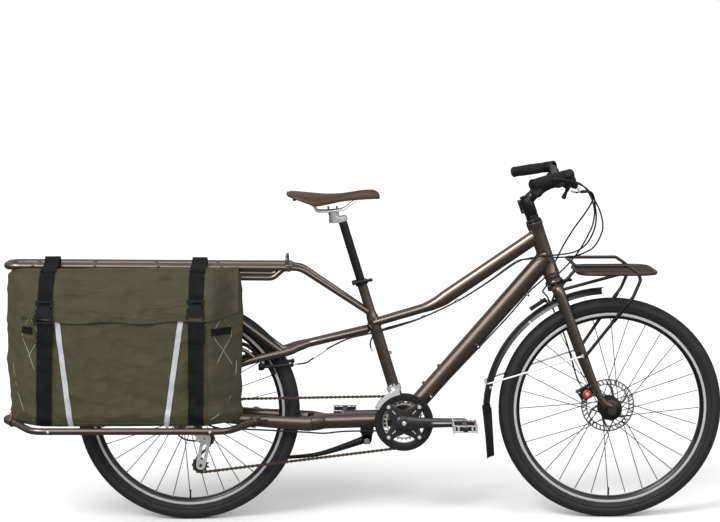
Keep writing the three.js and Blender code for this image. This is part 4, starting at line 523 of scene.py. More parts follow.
def make_weave():
    """Crossed threads of canvas or webbing, with painted shade in the gaps between them and random
    mottle, and the broad folds of the cloth.
    """
    tree, given, out = effect("Crossed Threads", [
        ("Colour", COLOUR, GREY), ("Threads", FLOAT, 500.0), ("Shade", FLOAT, 0.3)],
        [("Colour", COLOUR), ("Height", FLOAT), ("Folds", FLOAT)])
    place = wire(tree, "ShaderNodeTexCoord").outputs["Object"]
    lean = wire(tree, "ShaderNodeMapping", {
        "Vector": place, "Rotation": (0.0, 0.75, 0.0), "Scale": (1.0, 1.0, 2.2)})
    folds = speckle(tree, lean.outputs[0], 7.0, 3.0, 0.9)
    waves = [wire(tree, "ShaderNodeTexWave", {
        "Vector": place, "Scale": given["Threads"], "Distortion": 0.6, "Detail": 1.0},
        bands_direction=way).outputs["Fac"] for way in ("X", "Z")]
    over = calc(tree, "MAXIMUM", *waves)
    # Painted shade: the gaps between the threads go darker; the random patches add mottle of the
    # cloth itself
    gap_shade = calc(tree, "MULTIPLY", ramp(tree, over, 1.0, 0.2), given["Shade"])
    patch = calc(tree, "MULTIPLY", ramp(tree, speckle(tree, place, 24.0, 5.0), 0.7, 0.3), 0.16)
    total = calc(tree, "ADD", gap_shade, patch)
    shade = blend_colour(tree, total, given["Colour"], THREAD_GAP_SHADE_AND_MOTTLE)
    tree.links.new(shade, out["Colour"])
    tree.links.new(over, out["Height"])
    tree.links.new(folds, out["Folds"])
    return tree


def make_dust():
    """Pale dust that lies in patches on faces turned upwards."""
    tree, given, out = effect("Road Dust", [
        ("Colour", COLOUR, GREY), ("Dust Colour", COLOUR, DUST), ("Amount", FLOAT, 0.2)],
        [("Colour", COLOUR)])
    place = wire(tree, "ShaderNodeTexCoord")
    split = wire(tree, "ShaderNodeSeparateXYZ", {0: place.outputs["Normal"]})
    up = ramp(tree, split.outputs["Z"], -0.2, 1.0)
    patch = ramp(tree, speckle(tree, place.outputs["Object"], 42.0, 6.0), 0.4, 0.7)
    lying = calc(tree, "MULTIPLY", up, patch)
    amount = calc(tree, "MULTIPLY", lying, given["Amount"])
    final = blend_colour(tree, amount, given["Colour"], given["Dust Colour"])
    tree.links.new(final, out["Colour"])
    return tree


EFFECTS = {"Worn Edges And Corner Shade": make_worn_edges_and_corner_shade, "Surface Grain": make_grain,
           "Crossed Threads": make_weave, "Road Dust": make_dust}


def use(tree, name, **inputs):
    """Adds a shared effect, made on its first use."""
    group = bpy.data.node_groups.get(name) or EFFECTS[name]()
    links = {label.replace("_", " "): source for label, source in inputs.items()}
    return wire(tree, "ShaderNodeGroup", links, node_tree=group).outputs


# How each finish looks: roughness, metal, coat, shine, grain scale and height, wear (a finish with
# wear also gets painted corner shade), dust, threads
LOOKS = {
    "frame": (0.25, 0.88, 0.25, 0.5, 900, 0.006, 0.04, 0.02, 0),
    "carrier": (0.36, 0.75, 0.15, 0.5, 700, 0.03, 0.08, 0.02, 0),
    "black": (0.34, 0.20, 0.10, 0.4, 500, 0.03, 0.05, 0.02, 0),
    "plastic": (0.46, 0.0, 0.0, 0.28, 420, 0.06, 0.0, 0.03, 0),
    "silver": (0.30, 0.6, 0.0, 0.5, 500, 0.03, 0.0, 0.01, 0),
    "steel": (0.36, 0.9, 0.0, 0.5, 450, 0.05, 0.0, 0.03, 0),
    "chain": (0.36, 0.8, 0.0, 0.5, 450, 0.05, 0.0, 0.02, 0),
    "dark": (0.30, 0.75, 0.0, 0.5, 600, 0.03, 0.20, 0.02, 0),
    "tyre": (0.74, 0.0, 0.0, 0.35, 260, 0.10, 0.0, 0.05, 0),
    "grip": (0.70, 0.0, 0.0, 0.2, 380, 0.12, 0.0, 0.02, 0),
    "leather": (0.42, 0.0, 0.06, 0.35, 230, 0.16, 0.0, 0.01, 0),
    "canvas": (0.80, 0.0, 0.0, 0.25, 0, 0.0, 0.0, 0.02, 520),
    "lid": (0.72, 0.0, 0.0, 0.3, 0, 0.0, 0.0, 0.02, 520),
    "webbing": (0.8, 0.0, 0.0, 0.16, 0, 0.0, 0.0, 0.02, 900),
    "stitch": (0.6, 0.0, 0.0, 0.3, 800, 0.04, 0.0, 0.0, 0),
    "reflector": (0.34, 0.0, 0.0, 0.5, 800, 0.04, 0.0, 0.0, 0),
    "amber": (0.18, 0.0, 0.5, 0.5, 300, 0.10, 0.0, 0.0, 0),
    "red": (0.35, 0.0, 0.2, 0.5, 300, 0.03, 0.0, 0.0, 0),
}
BUMP_DEPTH = 0.0006
FOLD_DEPTH = {"canvas": 0.009, "lid": 0.017, "webbing": 0.002}


def finish(name):
    """The material of that finish, made on its first use."""
    known = bpy.data.materials.get(name)
    if known:
        return known
    rough, metal, coat, shine, scale, height, wear, dust, threads = LOOKS[name]
    material = bpy.data.materials.new(name)
    material.use_nodes = True
    tree = material.node_tree
    shader = tree.nodes["Principled BSDF"]
    colour = (*getattr(colours(), name), 1)
    if threads:
        woven = use(tree, "Crossed Threads", Colour=colour, Threads=float(threads), Shade=0.35)
        colour, bumps, strength = woven["Colour"], woven["Height"], 0.5
        crumpled = wire(tree, "ShaderNodeBump", {
            "Strength": 1.0, "Distance": FOLD_DEPTH[name], "Height": woven["Folds"]})
        shader.inputs["Roughness"].default_value = rough
    else:
        grain = use(tree, "Surface Grain", Colour=colour, Scale=float(scale), Shade=0.22,
                    Roughness=rough, Spread=0.2)
        colour, bumps, strength = grain["Colour"], grain["Height"], height
        tree.links.new(grain["Roughness"], shader.inputs["Roughness"])
    if wear:
        # Rubbed bare edges, and painted shade in the inside corners
        colour = use(tree, "Worn Edges And Corner Shade", Colour=colour, Amount=wear)["Colour"]
    colour = use(tree, "Road Dust", Colour=colour, Amount=dust)["Colour"]
    tree.links.new(colour, shader.inputs["Base Color"])
    relief = wire(tree, "ShaderNodeBump", {"Strength": strength, "Distance": BUMP_DEPTH,
                                           "Height": bumps})
    if threads:
        tree.links.new(crumpled.outputs["Normal"], relief.inputs["Normal"])
    tree.links.new(relief.outputs["Normal"], shader.inputs["Normal"])
    for label, value in (("Metallic", metal), ("Coat Weight", coat), ("Coat Roughness", 0.18),
                         ("Specular IOR Level", shine)):
        shader.inputs[label].default_value = value
    return material


# Wheels
TYRE_CENTRE = 306
TYRE_CROWN = 22.6
SPOKES_A_SIDE = 16


def tyre(name, axle, body):
    """A casing with round sides, and rows of tread blocks on its crown."""
    form = Form()
    profile = []
    steps = 30
    for i in range(steps + 1):
        turn = math.radians(-128 + 256 * i / steps)
        low = max(abs(math.degrees(turn)) - 90, 0) / 38
        crown = TYRE_CROWN if math.cos(turn) > 0 else 31.5
        profile.append((TYRE_CENTRE + crown * math.cos(turn),
                        TYRE_HALF * math.sin(turn) * (1 - 0.42 * low)))
    form.turned(profile, axle, sides=128)
    count = sizes().tread_rows
    for row, side in enumerate((-17, -10.5, -3.6, 3.6, 10.5, 17)):
        crown = TYRE_CENTRE + TYRE_CROWN * math.sqrt(1 - (side / TYRE_HALF) ** 2)
        slope = math.asin(side / TYRE_HALF)
        for i in range(count):
            turn = TURN * (i + 0.5 * (row % 2)) / count
            out = around(turn)
            along = at(-math.sin(turn), 0, math.cos(turn))
            up = out * math.cos(slope) + ACROSS * math.sin(slope)
            across = ACROSS * math.cos(slope) - out * math.sin(slope)
            middle = axle + out * crown + ACROSS * side
            skew = 2.4 if row < 3 else -2.4
            rings = []
            for lift, room in ((-0.6, 1.0), (1.3, 0.84)):
                rings.append([
                    middle + up * lift + across * (sx * 2.8 * room)
                    + along * (sy * 6.6 * room + sx * skew)
                    for sx, sy in ((-1, -1), (1, -1), (1, 1), (-1, 1))])
            form.skin(rings)
    for side in (-1, 1):
        form.turned([(296, side * 22.6), (297.6, side * 24.2), (299.2, side * 23.4)], axle,
                    sides=128)
    build(name, form, body, "tyre", [name], bevel=False, sharp=50)


def rim(name, axle, body):
    """A box rim: black bed and flanks, and a bright band for the brake."""
    half = 13
    form = Form()
    profile = [(RIM_INNER, 0.55 * half), (271, 0.8 * half), (277, half), (277.6, 0.96 * half),
               (278.2, half), (285.2, half), (RIM_OUTER, half - 1), (RIM_OUTER, half - 2.4),
               (281, 0.62 * half), (280, 0)]
    whole = profile + [(r, -side) for r, side in reversed(profile[:-1])]
    count = len(whole)
    bright = [1 if i in (4, 5, count - 6, count - 7) else 0 for i in range(count)]
    form.turned(whole, axle, sides=144, kinds=bright)
    form.rod(axle - at(0, 0, RIM_INNER - 26), axle - at(0, 0, RIM_INNER + 2), 2.7, 12, 0, 0.8)
    for i in range(2 * SPOKES_A_SIDE):
        turn = TURN * i / (2 * SPOKES_A_SIDE)
        out = around(turn)
        form.rod(axle + out * (SPOKE_HEAD - 4), axle + out * (RIM_INNER + 1.5), 2.1, 8, kind=1)
    build(name, form, body, "black silver", [name])


def spokes(form, axle, side, reach):
    """Crossed spokes from two flanges, each that far to the side and with that hole radius."""
    step = TURN / SPOKES_A_SIDE
    for index, flange in enumerate((-side, side)):
        for i in range(SPOKES_A_SIDE):
            hand = -1 if i % 2 else 1
            foot = (i + 0.5 * index) * step
            head = foot + hand * 2 * step
            start = axle + around(foot) * reach + ACROSS * (flange + hand * 2.6)
            end = axle + around(head) * (SPOKE_HEAD - 1) + ACROSS * math.copysign(1.4, flange)
            form.tube([start - ACROSS * (hand * 4.6), start, end], sizes().spoke / MM, 6)


def hex_nut(form, axle, low, high, radius, kind=0):
    form.plate(circle(axle, radius, 6, math.pi / 6), low, high, kind)


def axle_set(end, axle, body, look, half, washer, nut, threads):
    """A threaded axle with a washer and a nut on each end. Each is its inside and outside."""
    form = Form()
    form.pin(axle, -half, half, 5, 20)
    for hand in (-1, 1):
        hex_nut(form, axle, hand * nut[0], hand * nut[1], 9.4)
        form.washer(5, washer[2], hand * washer[0], hand * washer[1], axle, sides=40)
        for i in range(threads):
            side = hand * (nut[1] + 0.7 + i * 0.8)
            form.turned([(4.6, side), (5.35, side + 0.3), (4.6, side + 0.6)], axle, sides=24)
    build(f"{end}_axle_and_nuts", form, body, look, [f"{end}_axle"])


def front_hub():
    """A wide drum with two flanges, their spokes, and sealed ends."""
    form = Form()
    half = [(5.4, 49.7), (12, 49.7), (13, 48.5), (13, 42), (17, 41), (17, 37.5), (29, 33),
            (31, 27.5), (33.4, 27), (34, 26), (34, 22), (33.4, 21), (30.5, 20.5), (29, 18)]
    profile = half + [(28.2, 0)] + [(r, -side) for r, side in reversed(half)]
    form.turned(profile, FRONT_AXLE, sides=72)
    spokes(form, FRONT_AXLE, 24, 31.4)
    for side in (-44, 44):
        form.washer(13, 14.2, side - 1.2, side + 1.2, FRONT_AXLE, sides=48, kind=1)
    build("front_hub_shell", form, "front_wheel", "black dark",
          ["front_hub"], sharp=45)
    axle_set("front", FRONT_AXLE, "steering", "dark", 68, (56.3, 57.5, 10.6), (57.4, 64.3), 5)


def brake_rotor():
    """A thin steel ring with slots, on six bent arms."""
    form = Form()
    low, high = DISC_SIDE - 0.9, DISC_SIDE + 0.9
    form.washer(75.4, 80, low, high, FRONT_AXLE, sides=96)
    form.washer(62, 66, low, high, FRONT_AXLE, sides=96)
    bars = 36
    for i in range(bars):
        turn = TURN * i / bars
        inner = around(turn) * 65
        outer = around(turn + 0.085) * 76.4
        middle = FRONT_AXLE + (inner + outer) / 2 + ACROSS * DISC_SIDE
        way = outer - inner
        form.brick(middle, (4.4, 1.7, way.length), math.degrees(math.atan2(way.x, way.z)))
    arms = 6
    for i in range(arms):
        turn = TURN * i / arms
        path = curve([FRONT_AXLE + around(turn + bend) * reach + ACROSS * DISC_SIDE
                      for reach, bend in ((20, 0), (34, 0.08), (50, 0.3), (64, 0.5))], 4)
        form.oval([[*point, 4.2, 0.9] for point in path], 8)
    form.washer(17.4, 25, low, high, FRONT_AXLE, sides=48)
    for i in range(arms):
        turn = TURN * (i + 0.5) / arms
        bolt = FRONT_AXLE + around(turn) * 21.5
        form.turned([(0, high), (3, high), (3.2, high + 1.8), (1.6, high + 2.2),
                     (1.4, high + 1.2), (0, high + 1.2)], bolt, sides=16)
    build("front_brake_rotor", form, "front_wheel", "steel", ["front_brake_disc"])


def rear_hub():
    """A slim barrel with two flanges and the driver for the sprockets."""
    form = Form()
    end = REAR_END_SIDE
    profile = [(5.4, 0.3 - end), (9.4, 0.3 - end), (10, 1 - end), (10, -61.4), (15.4, -61),
               (16, -60.4), (16, -38), (18, -36), (23.4, -35.2), (24, -34.6), (24, -30.6),
               (23.4, -30), (18, -27), (17, -22), (16.4, 0), (17, 22), (18, 27), (23.4, 30),
               (24, 30.6), (24, 34.6), (23.4, 35.2), (17, 38), (14, 44), (12, 60), (10, 61),
               (10, end - 1), (9.4, end - 0.3), (5.4, end - 0.3)]
    form.turned(profile, REAR_AXLE, sides=64)
    spokes(form, REAR_AXLE, 32.5, 21.5)
    build("rear_hub_shell", form, "rear_wheel", "black", ["rear_hub"], sharp=45)
    axle_set("rear", REAR_AXLE, "frame", "steel", 86, (74.1, 75.4, 11), (75.3, 82.1), 4)


# Drive
def pitch_radius(teeth):
    return PITCH / (2 * math.sin(math.pi / teeth))


def toothed(teeth, centre):
    """The outline of a sprocket: a flat in each valley and a narrow top on each tooth."""
    reach = pitch_radius(teeth)
    return [spot(centre, reach + lift, TURN * (i + share) / teeth) for i in range(teeth)
            for share, lift in ((-0.2, -3.4), (0.2, -3.4), (0.36, 0.4), (0.46, 3.1), (0.54, 3.1),
                                (0.64, 0.4))]


def toothed_ring(form, teeth, centre, inner, low, high):
    outline = toothed(teeth, centre)
    hole = circle(centre, inner, len(outline), -0.2 * TURN / teeth)
    form.plate(outline, low, high, hole=hole)


def chain_path():
    """The chain's line round its four wheels, one point for each pin."""
    wheels = [(BRACKET, 1, 38), (REAR_AXLE, 1, 19), (GUIDE_JOCKEY, -1, 11),
              (TENSION_JOCKEY, 1, 11)]
    count = len(wheels)
    spans = []
    for i in range(count):
        (here, way, teeth), (there, next_way, next_teeth) = wheels[i], wheels[(i + 1) % count]
        gap = there - here
        turn = math.atan2(gap.z, gap.x) + math.asin(
            (way * pitch_radius(teeth) - next_way * pitch_radius(next_teeth)) / gap.length)
        spans.append(turn)
    line = []
    for i in range(count):
        centre, way, teeth = wheels[i]
        reach = pitch_radius(teeth)
        start = spans[i - 1] - way * math.pi / 2
        end = spans[i] - way * math.pi / 2
        while (end - start) * way < 0:
            end += way * TURN
        while (end - start) * way > TURN:
            end -= way * TURN
        steps = max(int(abs(end - start) * reach), 4)
        for step in range(steps + 1):
            turn = start + (end - start) * step / steps
            line.append(centre + around(turn) * reach + ACROSS * CHAIN_SIDE)
    lengths = [0.0]
    for a, b in zip(line, line[1:] + line[:1]):
        lengths.append(lengths[-1] + (b - a).length)
    links = round(lengths[-1] / PITCH / 2) * 2
    pins = []
    index = 0
    for i in range(links):
        want = lengths[-1] * i / links
        while lengths[index + 1] < want:
            index += 1
        share = (want - lengths[index]) / max(lengths[index + 1] - lengths[index], 1e-9)
        pins.append(line[index].lerp(line[(index + 1) % len(line)], share))
    return pins


def chain():
    """Links with outer and inner plates in turn, rollers and pin ends."""
    form = Form()
    pins = chain_path()
    for i, start in enumerate(pins):
        end = pins[(i + 1) % len(pins)]
        way = (end - start).normalized()
        up = at(-way.z, 0, way.x)
        length = (end - start).length
        outer = i % 2
        for hand in (-1, 1):
            low, high = ((3.0, 3.9) if outer else (1.9, 2.8))
            outline = [(-4.5 * math.cos(t), 4.5 * math.sin(t)) for t in (-1.2, -0.5, 0.5, 1.2)]
            whole = outline + [(length / 2, 2.3)]
            whole += [(length + 4.5 * math.cos(t), 4.5 * math.sin(t))
                      for t in (1.2, 0.5, -0.5, -1.2)] + [(length / 2, -2.3)]
            form.plate(whole, hand * low, hand * high,
                       lay=lambda u, v, w, s=start, a=way, b=up: s + a * u + b * v + ACROSS * w)
        form.rod(start - ACROSS * 1.8, start + ACROSS * 1.8, 3.8, 10)
        form.rod(start - ACROSS * 4.4, start + ACROSS * 4.4, 1.8, 8)
    build("chain_links", form, "frame", "chain", ["chain"], bevel=False)


def cassette():
    """Five toothed sprockets with spacers and a lock ring."""
    form = Form()
    sides = (-38.4, -43.2, -48, -52.8, -57.6)
    for teeth, side in zip((32, 25, 19, 16, 13), sides):
        toothed_ring(form, teeth, REAR_AXLE, 17, side - 0.9, side + 0.9)
    form.washer(16.6, 20.5, -58.5, -38, REAR_AXLE, sides=48, kind=1)
    form.turned([(16.6, -60.6), (19.6, -60.6), (21, -59.4), (21, -58.5), (16.6, -58.5)],
                REAR_AXLE, sides=36, kind=1)
    for i in range(12):
        turn = TURN * i / 12
        form.brick(REAR_AXLE + at(math.cos(turn) * 17.6, -60.9, math.sin(turn) * 17.6),
                   (2, 1.6, 2), math.degrees(-turn), kind=1)
    build("cassette_sprockets", form, "sprockets", "steel dark", ["cassette"])


def jockeys():
    """Two small toothed wheels, each turning on a bright bush."""
    for name, centre, body in (("guide_jockey", GUIDE_JOCKEY, "guide_wheel"),
                               ("tension_jockey", TENSION_JOCKEY, "tension_wheel")):
        form = Form()
        toothed_ring(form, 11, centre, 12, CHAIN_SIDE - 1.2, CHAIN_SIDE + 1.2)
        form.turned([(reach, CHAIN_SIDE + side) for reach, side in (
            (6.4, -2.4), (14, -2.4), (15.6, -1.2), (15.6, 1.2), (14, 2.4), (6.4, 2.4))],
            centre, sides=36)
        form.washer(3.4, 6.3, CHAIN_SIDE - 2.5, CHAIN_SIDE + 2.5, centre, sides=28, kind=1)
        build(f"{name}_wheel", form, body, "plastic steel", [name])


def stadium(start, end, first, last, steps=9):
    """Two round ends joined by their outer tangents."""
    way = end - start
    turn = math.atan2(way.z, way.x)
    outline = []
    for centre, reach, base in ((start, first, turn + math.pi / 2), (end, last, turn - math.pi / 2)):
        outline += [spot(centre, reach, base + math.pi * i / steps) for i in range(steps + 1)]
    return outline


def rear_derailleur():
    """Hanger knuckle, two links, lower knuckle, and the slotted cage with its bolts."""
    cage = Form()
    for side in (-42, -54):
        outline = stadium(GUIDE_JOCKEY, TENSION_JOCKEY, 15, 14)
        inner = stadium(GUIDE_JOCKEY.lerp(TENSION_JOCKEY, 0.28),
                        GUIDE_JOCKEY.lerp(TENSION_JOCKEY, 0.74), 5.4, 5)
        cage.plate(outline, side - 1, side + 1, hole=inner)
    for centre in (GUIDE_JOCKEY, TENSION_JOCKEY):
        cage.pin(centre, -56.4, -40, 3, 16, 1)
        hex_nut(cage, centre, -58, -55, 5.2, 1)
    build("derailleur_cage_plates", cage, "frame", "silver dark",
          ["derailleur_cage"])
    form = Form()
    form.turned([(0, -91.5), (5, -91.5), (5.6, -90.4), (11, -90.1), (12, -89), (12, -75),
                 (11, -74.1), (0, -74.1)], HANGER, sides=40)
    form.turned([(0, -83.4), (4.6, -83.4), (5.2, -82.3), (11, -82), (12, -81), (12, -57),
                 (11, -55.5), (0, -55.5)], GUIDE_JOCKEY, sides=40)
    upper, lower = HANGER + at(-3, 0, -6), GUIDE_JOCKEY + at(-2, 0, 6)
    for side, shift in ((-88.4, 0), (-77, 6)):
        form.plate(stadium(upper + at(shift, 0, 0), lower + at(shift, 0, 0), 9.6, 9.4),
                   side, side + 4.4)
    for centre in (upper, lower):
        form.pin(centre, -90, -72, 2.6, 16, 1)
    form.rod(at(-497, -86, 262), at(-486.5, -86, 254), 4, 16, 0, 1)
    form.rod(at(-498, -84, 288), at(-489, -84, 292), 2, 10, 1)
    form.rod(at(-500, -84, 281), at(-491, -84, 285), 2, 10, 1)
    form.pin(HANGER, -75, -66, 6.5, 20, 1)
    build("rear_derailleur_body", form, "frame", "silver dark",
          ["rear_derailleur"])


def front_derailleur():
    """A band on the seat tube, a swinging link, and the two plates round the chain."""
    form = Form()
    low, high = -57, -39
    for side, depth in ((low, 18), (high, 21)):
        outline = []
        for reach, order in ((96, 1), (96 - depth, -1)):
            for i in range(15)[::order]:
                outline.append(spot(BRACKET, reach, math.radians(98 + 4 * i)))
        form.plate(outline, side, side + 1.4)
    for degrees in (101, 151):
        form.pin(BRACKET + around(math.radians(degrees)) * 92, low, high + 1, 2.6, 12)
    band = seat_at(393)
    form.washer(17.9, 21.5, -8, 8, band, SEAT_UP, 40)
    form.brick(band + at(-4, -24, 4), (17, 12, 20), -17)
    form.pin(band + at(-4, 0, 12), -30, -18, 3, 14, 1)
    form.oval([[*(band + at(-8, -30, 2)), 7, 3], [*(BRACKET + at(-26, -34, 92)), 6, 3],
               [*(BRACKET + at(-38, -38.5, 84)), 5, 2]], 12)
    form.brick(band + at(-10, 22, 103), (9, 8, 9), -17)
    form.rod(band + at(-6, 20, 12), band + at(-12, 22, 100), 0.8, 8, 1)
    build("front_derailleur_cage", form, "frame", "silver dark",
          ["front_derailleur"])


class CARGO_OT_wheels(bpy.types.Operator):
    """Builds the tyres, rims, hubs with their spokes, axles and the brake rotor"""

    bl_idname = "cargo_bicycle.wheels"
    bl_label = "Wheels"

    def execute(self, context):
        for end, axle in (("front", FRONT_AXLE), ("rear", REAR_AXLE)):
            tyre(f"{end}_tyre", axle, f"{end}_wheel")
            rim(f"{end}_rim", axle, f"{end}_wheel")
        front_hub()
        brake_rotor()
        rear_hub()
        return {"FINISHED"}


class CARGO_OT_drive(bpy.types.Operator):
    """Builds the chain, the sprockets and the two derailleurs"""

    bl_idname = "cargo_bicycle.drive"
    bl_label = "Chain and gears"

    def execute(self, context):
        chain()
        cassette()
        jockeys()
        rear_derailleur()
        front_derailleur()
        return {"FINISHED"}


# Cranks and pedals
def crank_arm(form, hand, way):
    """A tapered arm with rounded ends, and the pedal's eye."""
    side = hand * CRANK_SIDE
    rows = [(-24, 6, 4), (-20, 15, 6), (-10, 20, 7), (8, 20.5, 7.4), (34, 18, 7.4), (80, 15, 7),
            (140, 13.6, 6.4), (165, 13.6, 6.4), (180, 12.6, 6.2), (187, 7.6, 5), (189.5, 3, 4)]
    stations = [[BRACKET.x + way * x, side, BRACKET.z, tall, wide] for x, tall, wide in rows]
    form.oval(spline(stations, 4), 24)


def cranks():
    """Two arms on the spindle, the four armed spider, two toothed rings and the guard."""
    form = Form()
    crank_arm(form, -1, 1)
    form.turned([(0, -77.6), (8.6, -77.6), (9.4, -76.6), (9.4, -75.4), (12, -75.2), (20, -73),
                 (27, -62), (28, -60), (28, -56.6), (0, -56.6)], BRACKET, sides=48)
    form.turned([(0, -78.4), (5, -78.4), (6.4, -77.4), (0, -77.4)], BRACKET, sides=32, kind=1)
    turns = [TURN * (i + 0.5) / 4 for i in range(4)]
    for turn in turns:
        out = around(turn)
        across = at(-math.sin(turn), 0, math.cos(turn))
        rings = []
        for reach, half in ((12, 26), (30, 23), (42, 17), (52, 14), (62, 13), (68, 11), (72, 7)):
            middle = BRACKET + out * reach
            rings.append([middle + across * (half * sx) + ACROSS * (-59 + 2.4 * sy)
                          for sx, sy in ((-1, -0.7), (-0.8, -1), (0.8, -1), (1, -0.7), (1, 1),
                                         (-1, 1))])
        form.skin(rings)
        form.brick(BRACKET + out * 42 - ACROSS * 61.6, (14, 0.8, 2.6), math.degrees(-turn), kind=1)
        bolt = BRACKET + out * 64
        form.turned([(0, -62.4), (4.4, -62.4), (5.4, -61.6), (5.4, -60.6), (0, -60.6)], bolt,
                    sides=20, kind=1)
        form.pin(bolt, -61, -38.4, 4, 16, 1)
    form.brick(BRACKET + at(98, -CRANK_SIDE - 6.5, 0), (84, 0.8, 4.2), kind=1)
    form.washer(6, 9.6, -CRANK_SIDE - 6.6, -CRANK_SIDE - 5, BRACKET + at(CRANK_LENGTH, 0, 0),
                sides=28, kind=1)
    build("crank_arm_right", form, "crankset", "dark silver", ["crank_right"])
    left = Form()
    crank_arm(left, 1, -1)
    left.turned([(0, 77.6), (8.6, 77.6), (9.4, 76.6), (9.4, 75.4), (12, 75.2), (17, 73),
                 (17, 58), (0, 58)], BRACKET, sides=48)
    left.pin(BRACKET, -57, 60, 8, 24)
    left.turned([(0, 78.4), (5, 78.4), (6.4, 77.4), (0, 77.4)], BRACKET, sides=32, kind=1)
    left.brick(BRACKET + at(-98, CRANK_SIDE + 6.5, 0), (84, 0.8, 4.2), kind=1)
    build("crank_arm_left", left, "crankset", "dark silver", ["crank_left"])
    rings = Form()
    toothed_ring(rings, 38, BRACKET, 61, -49.5, -46.5)
    toothed_ring(rings, 28, BRACKET, 49, -41.4, -39)
    for turn in turns:
        for reach, low, high in ((62, -49.5, -46.5), (52, -41.4, -39)):
            rings.washer(4.3, 9, low, high, BRACKET + around(turn) * reach, sides=20)
    build("toothed_rings", rings, "crankset", "silver", ["chainrings"])
    guard = Form()
    guard.turned([(63, -55.4), (66, -56.2), (80, -57.4), (85.4, -56.6), (87, -54.6),
                  (86.4, -52.4), (84, -52.2), (84, -54), (80, -54.6), (66, -53.6), (63, -53.4)],
                 BRACKET, sides=96)
    for turn in turns:
        guard.washer(5.6, 11, -56, -53.4, BRACKET + around(turn) * 68, sides=24)
    build("chain_guard_ring", guard, "crankset", "plastic", ["chain_guard"])


def pedal(name, hand, centre, body):
    """A platform cage with toothed edges round a bearing barrel, and amber reflectors."""
    form = Form()
    low, high = hand * PEDAL_START, hand * PEDAL_END
    middle = (low + high) / 2
    width = abs(high - low)
    half_length, half_height = 35, 13
    for end in (-1, 1):
        x = centre.x + end * (half_length - 1.5)
        for lift in (-1, 1):
            form.brick(at(x, middle, centre.z + lift * (half_height - 3.4)), (3, width, 3.6))
            teeth = 9
            for i in range(teeth):
                side = middle + width * (i + 0.5 - teeth / 2) / teeth
                form.brick(at(x, side, centre.z + lift * (half_height - 0.9)), (3, 4.6, 2.6))
        for i in range(4):
            side = middle + (width - 4) * (i / 3 - 0.5)
            form.brick(at(x, side, centre.z), (3, 4, 18))
        form.brick(at(centre.x + end * (half_length - 4.4), middle - hand * 16, centre.z),
                   (3, 26, 10), kind=2)
    for edge, side in enumerate((low + hand * 1.5, high - hand * 1.5)):
        for lift in (-1, 1):
            form.brick(at(centre.x, side, centre.z + lift * (half_height - 4)),
                       (2 * half_length - 4, 3, 3.4))
        for x in (-31, -20, 20, 31):
            form.brick(at(centre.x + x, side, centre.z), (5, 3, 18), kind=1 - edge)
    barrel = [(3.4, low), (9, low), (10, low + hand), (10, low + hand * 12), (8.4, low + hand * 14),
              (8.4, high - hand * 14), (10, high - hand * 12), (10, high - hand), (9, high),
              (3.4, high)]
    form.turned(barrel, centre, sides=36, kind=1)
    form.turned([(0, high), (7, high), (8, high + hand * 0.4), (6, high + hand * 1.6),
                 (0, high + hand * 1.6)], centre, sides=28, kind=1)
    for x in (-1, 1):
        form.brick(at(centre.x + x * 20, middle, centre.z), (26, width - 14, 2.2), kind=1)
    for x in (-1, 1):
        for side in (low + hand * 12, high - hand * 12):
            form.brick(at(centre.x + x * 20, side, centre.z), (30, 4, 15), kind=1)
    form.pin(centre, hand * (CRANK_SIDE - 3), low + hand * 3, 4.6, 20, 1)
    hex_nut(form, centre, hand * (CRANK_SIDE + 7.4), hand * (CRANK_SIDE + 9.6), 7.6, 1)
    build(name, form, body, "silver dark amber", [name.replace("_cage", "")])


class CARGO_OT_cranks(bpy.types.Operator):
    """Builds the crank arms, the rings, the guard and both pedals"""

    bl_idname = "cargo_bicycle.cranks"
    bl_label = "Cranks and pedals"

    def execute(self, context):
        cranks()
        pedal("pedal_right_cage", -1, BRACKET + at(CRANK_LENGTH, 0, 0), "right_pedal")
        pedal("pedal_left_cage", 1, BRACKET - at(CRANK_LENGTH, 0, 0), "left_pedal")
        return {"FINISHED"}


# Frame
HEAD_FOOT = 729
HEAD_TOP = 884
TOP_TUBE_BEND = at(206, 0, 641)
LOWER_TUBE_END = at(-114, 0, 294)
GUIDE_PLACES = [(477.4, 673.6, -24), (333.7, 519.1, -24), (194.7, 370.8, -24)]
TOP_GUIDE_PLACES = [(443.4, 767.5), (271.3, 654.4), (172, 607.5), (-48.2, 545.1)]


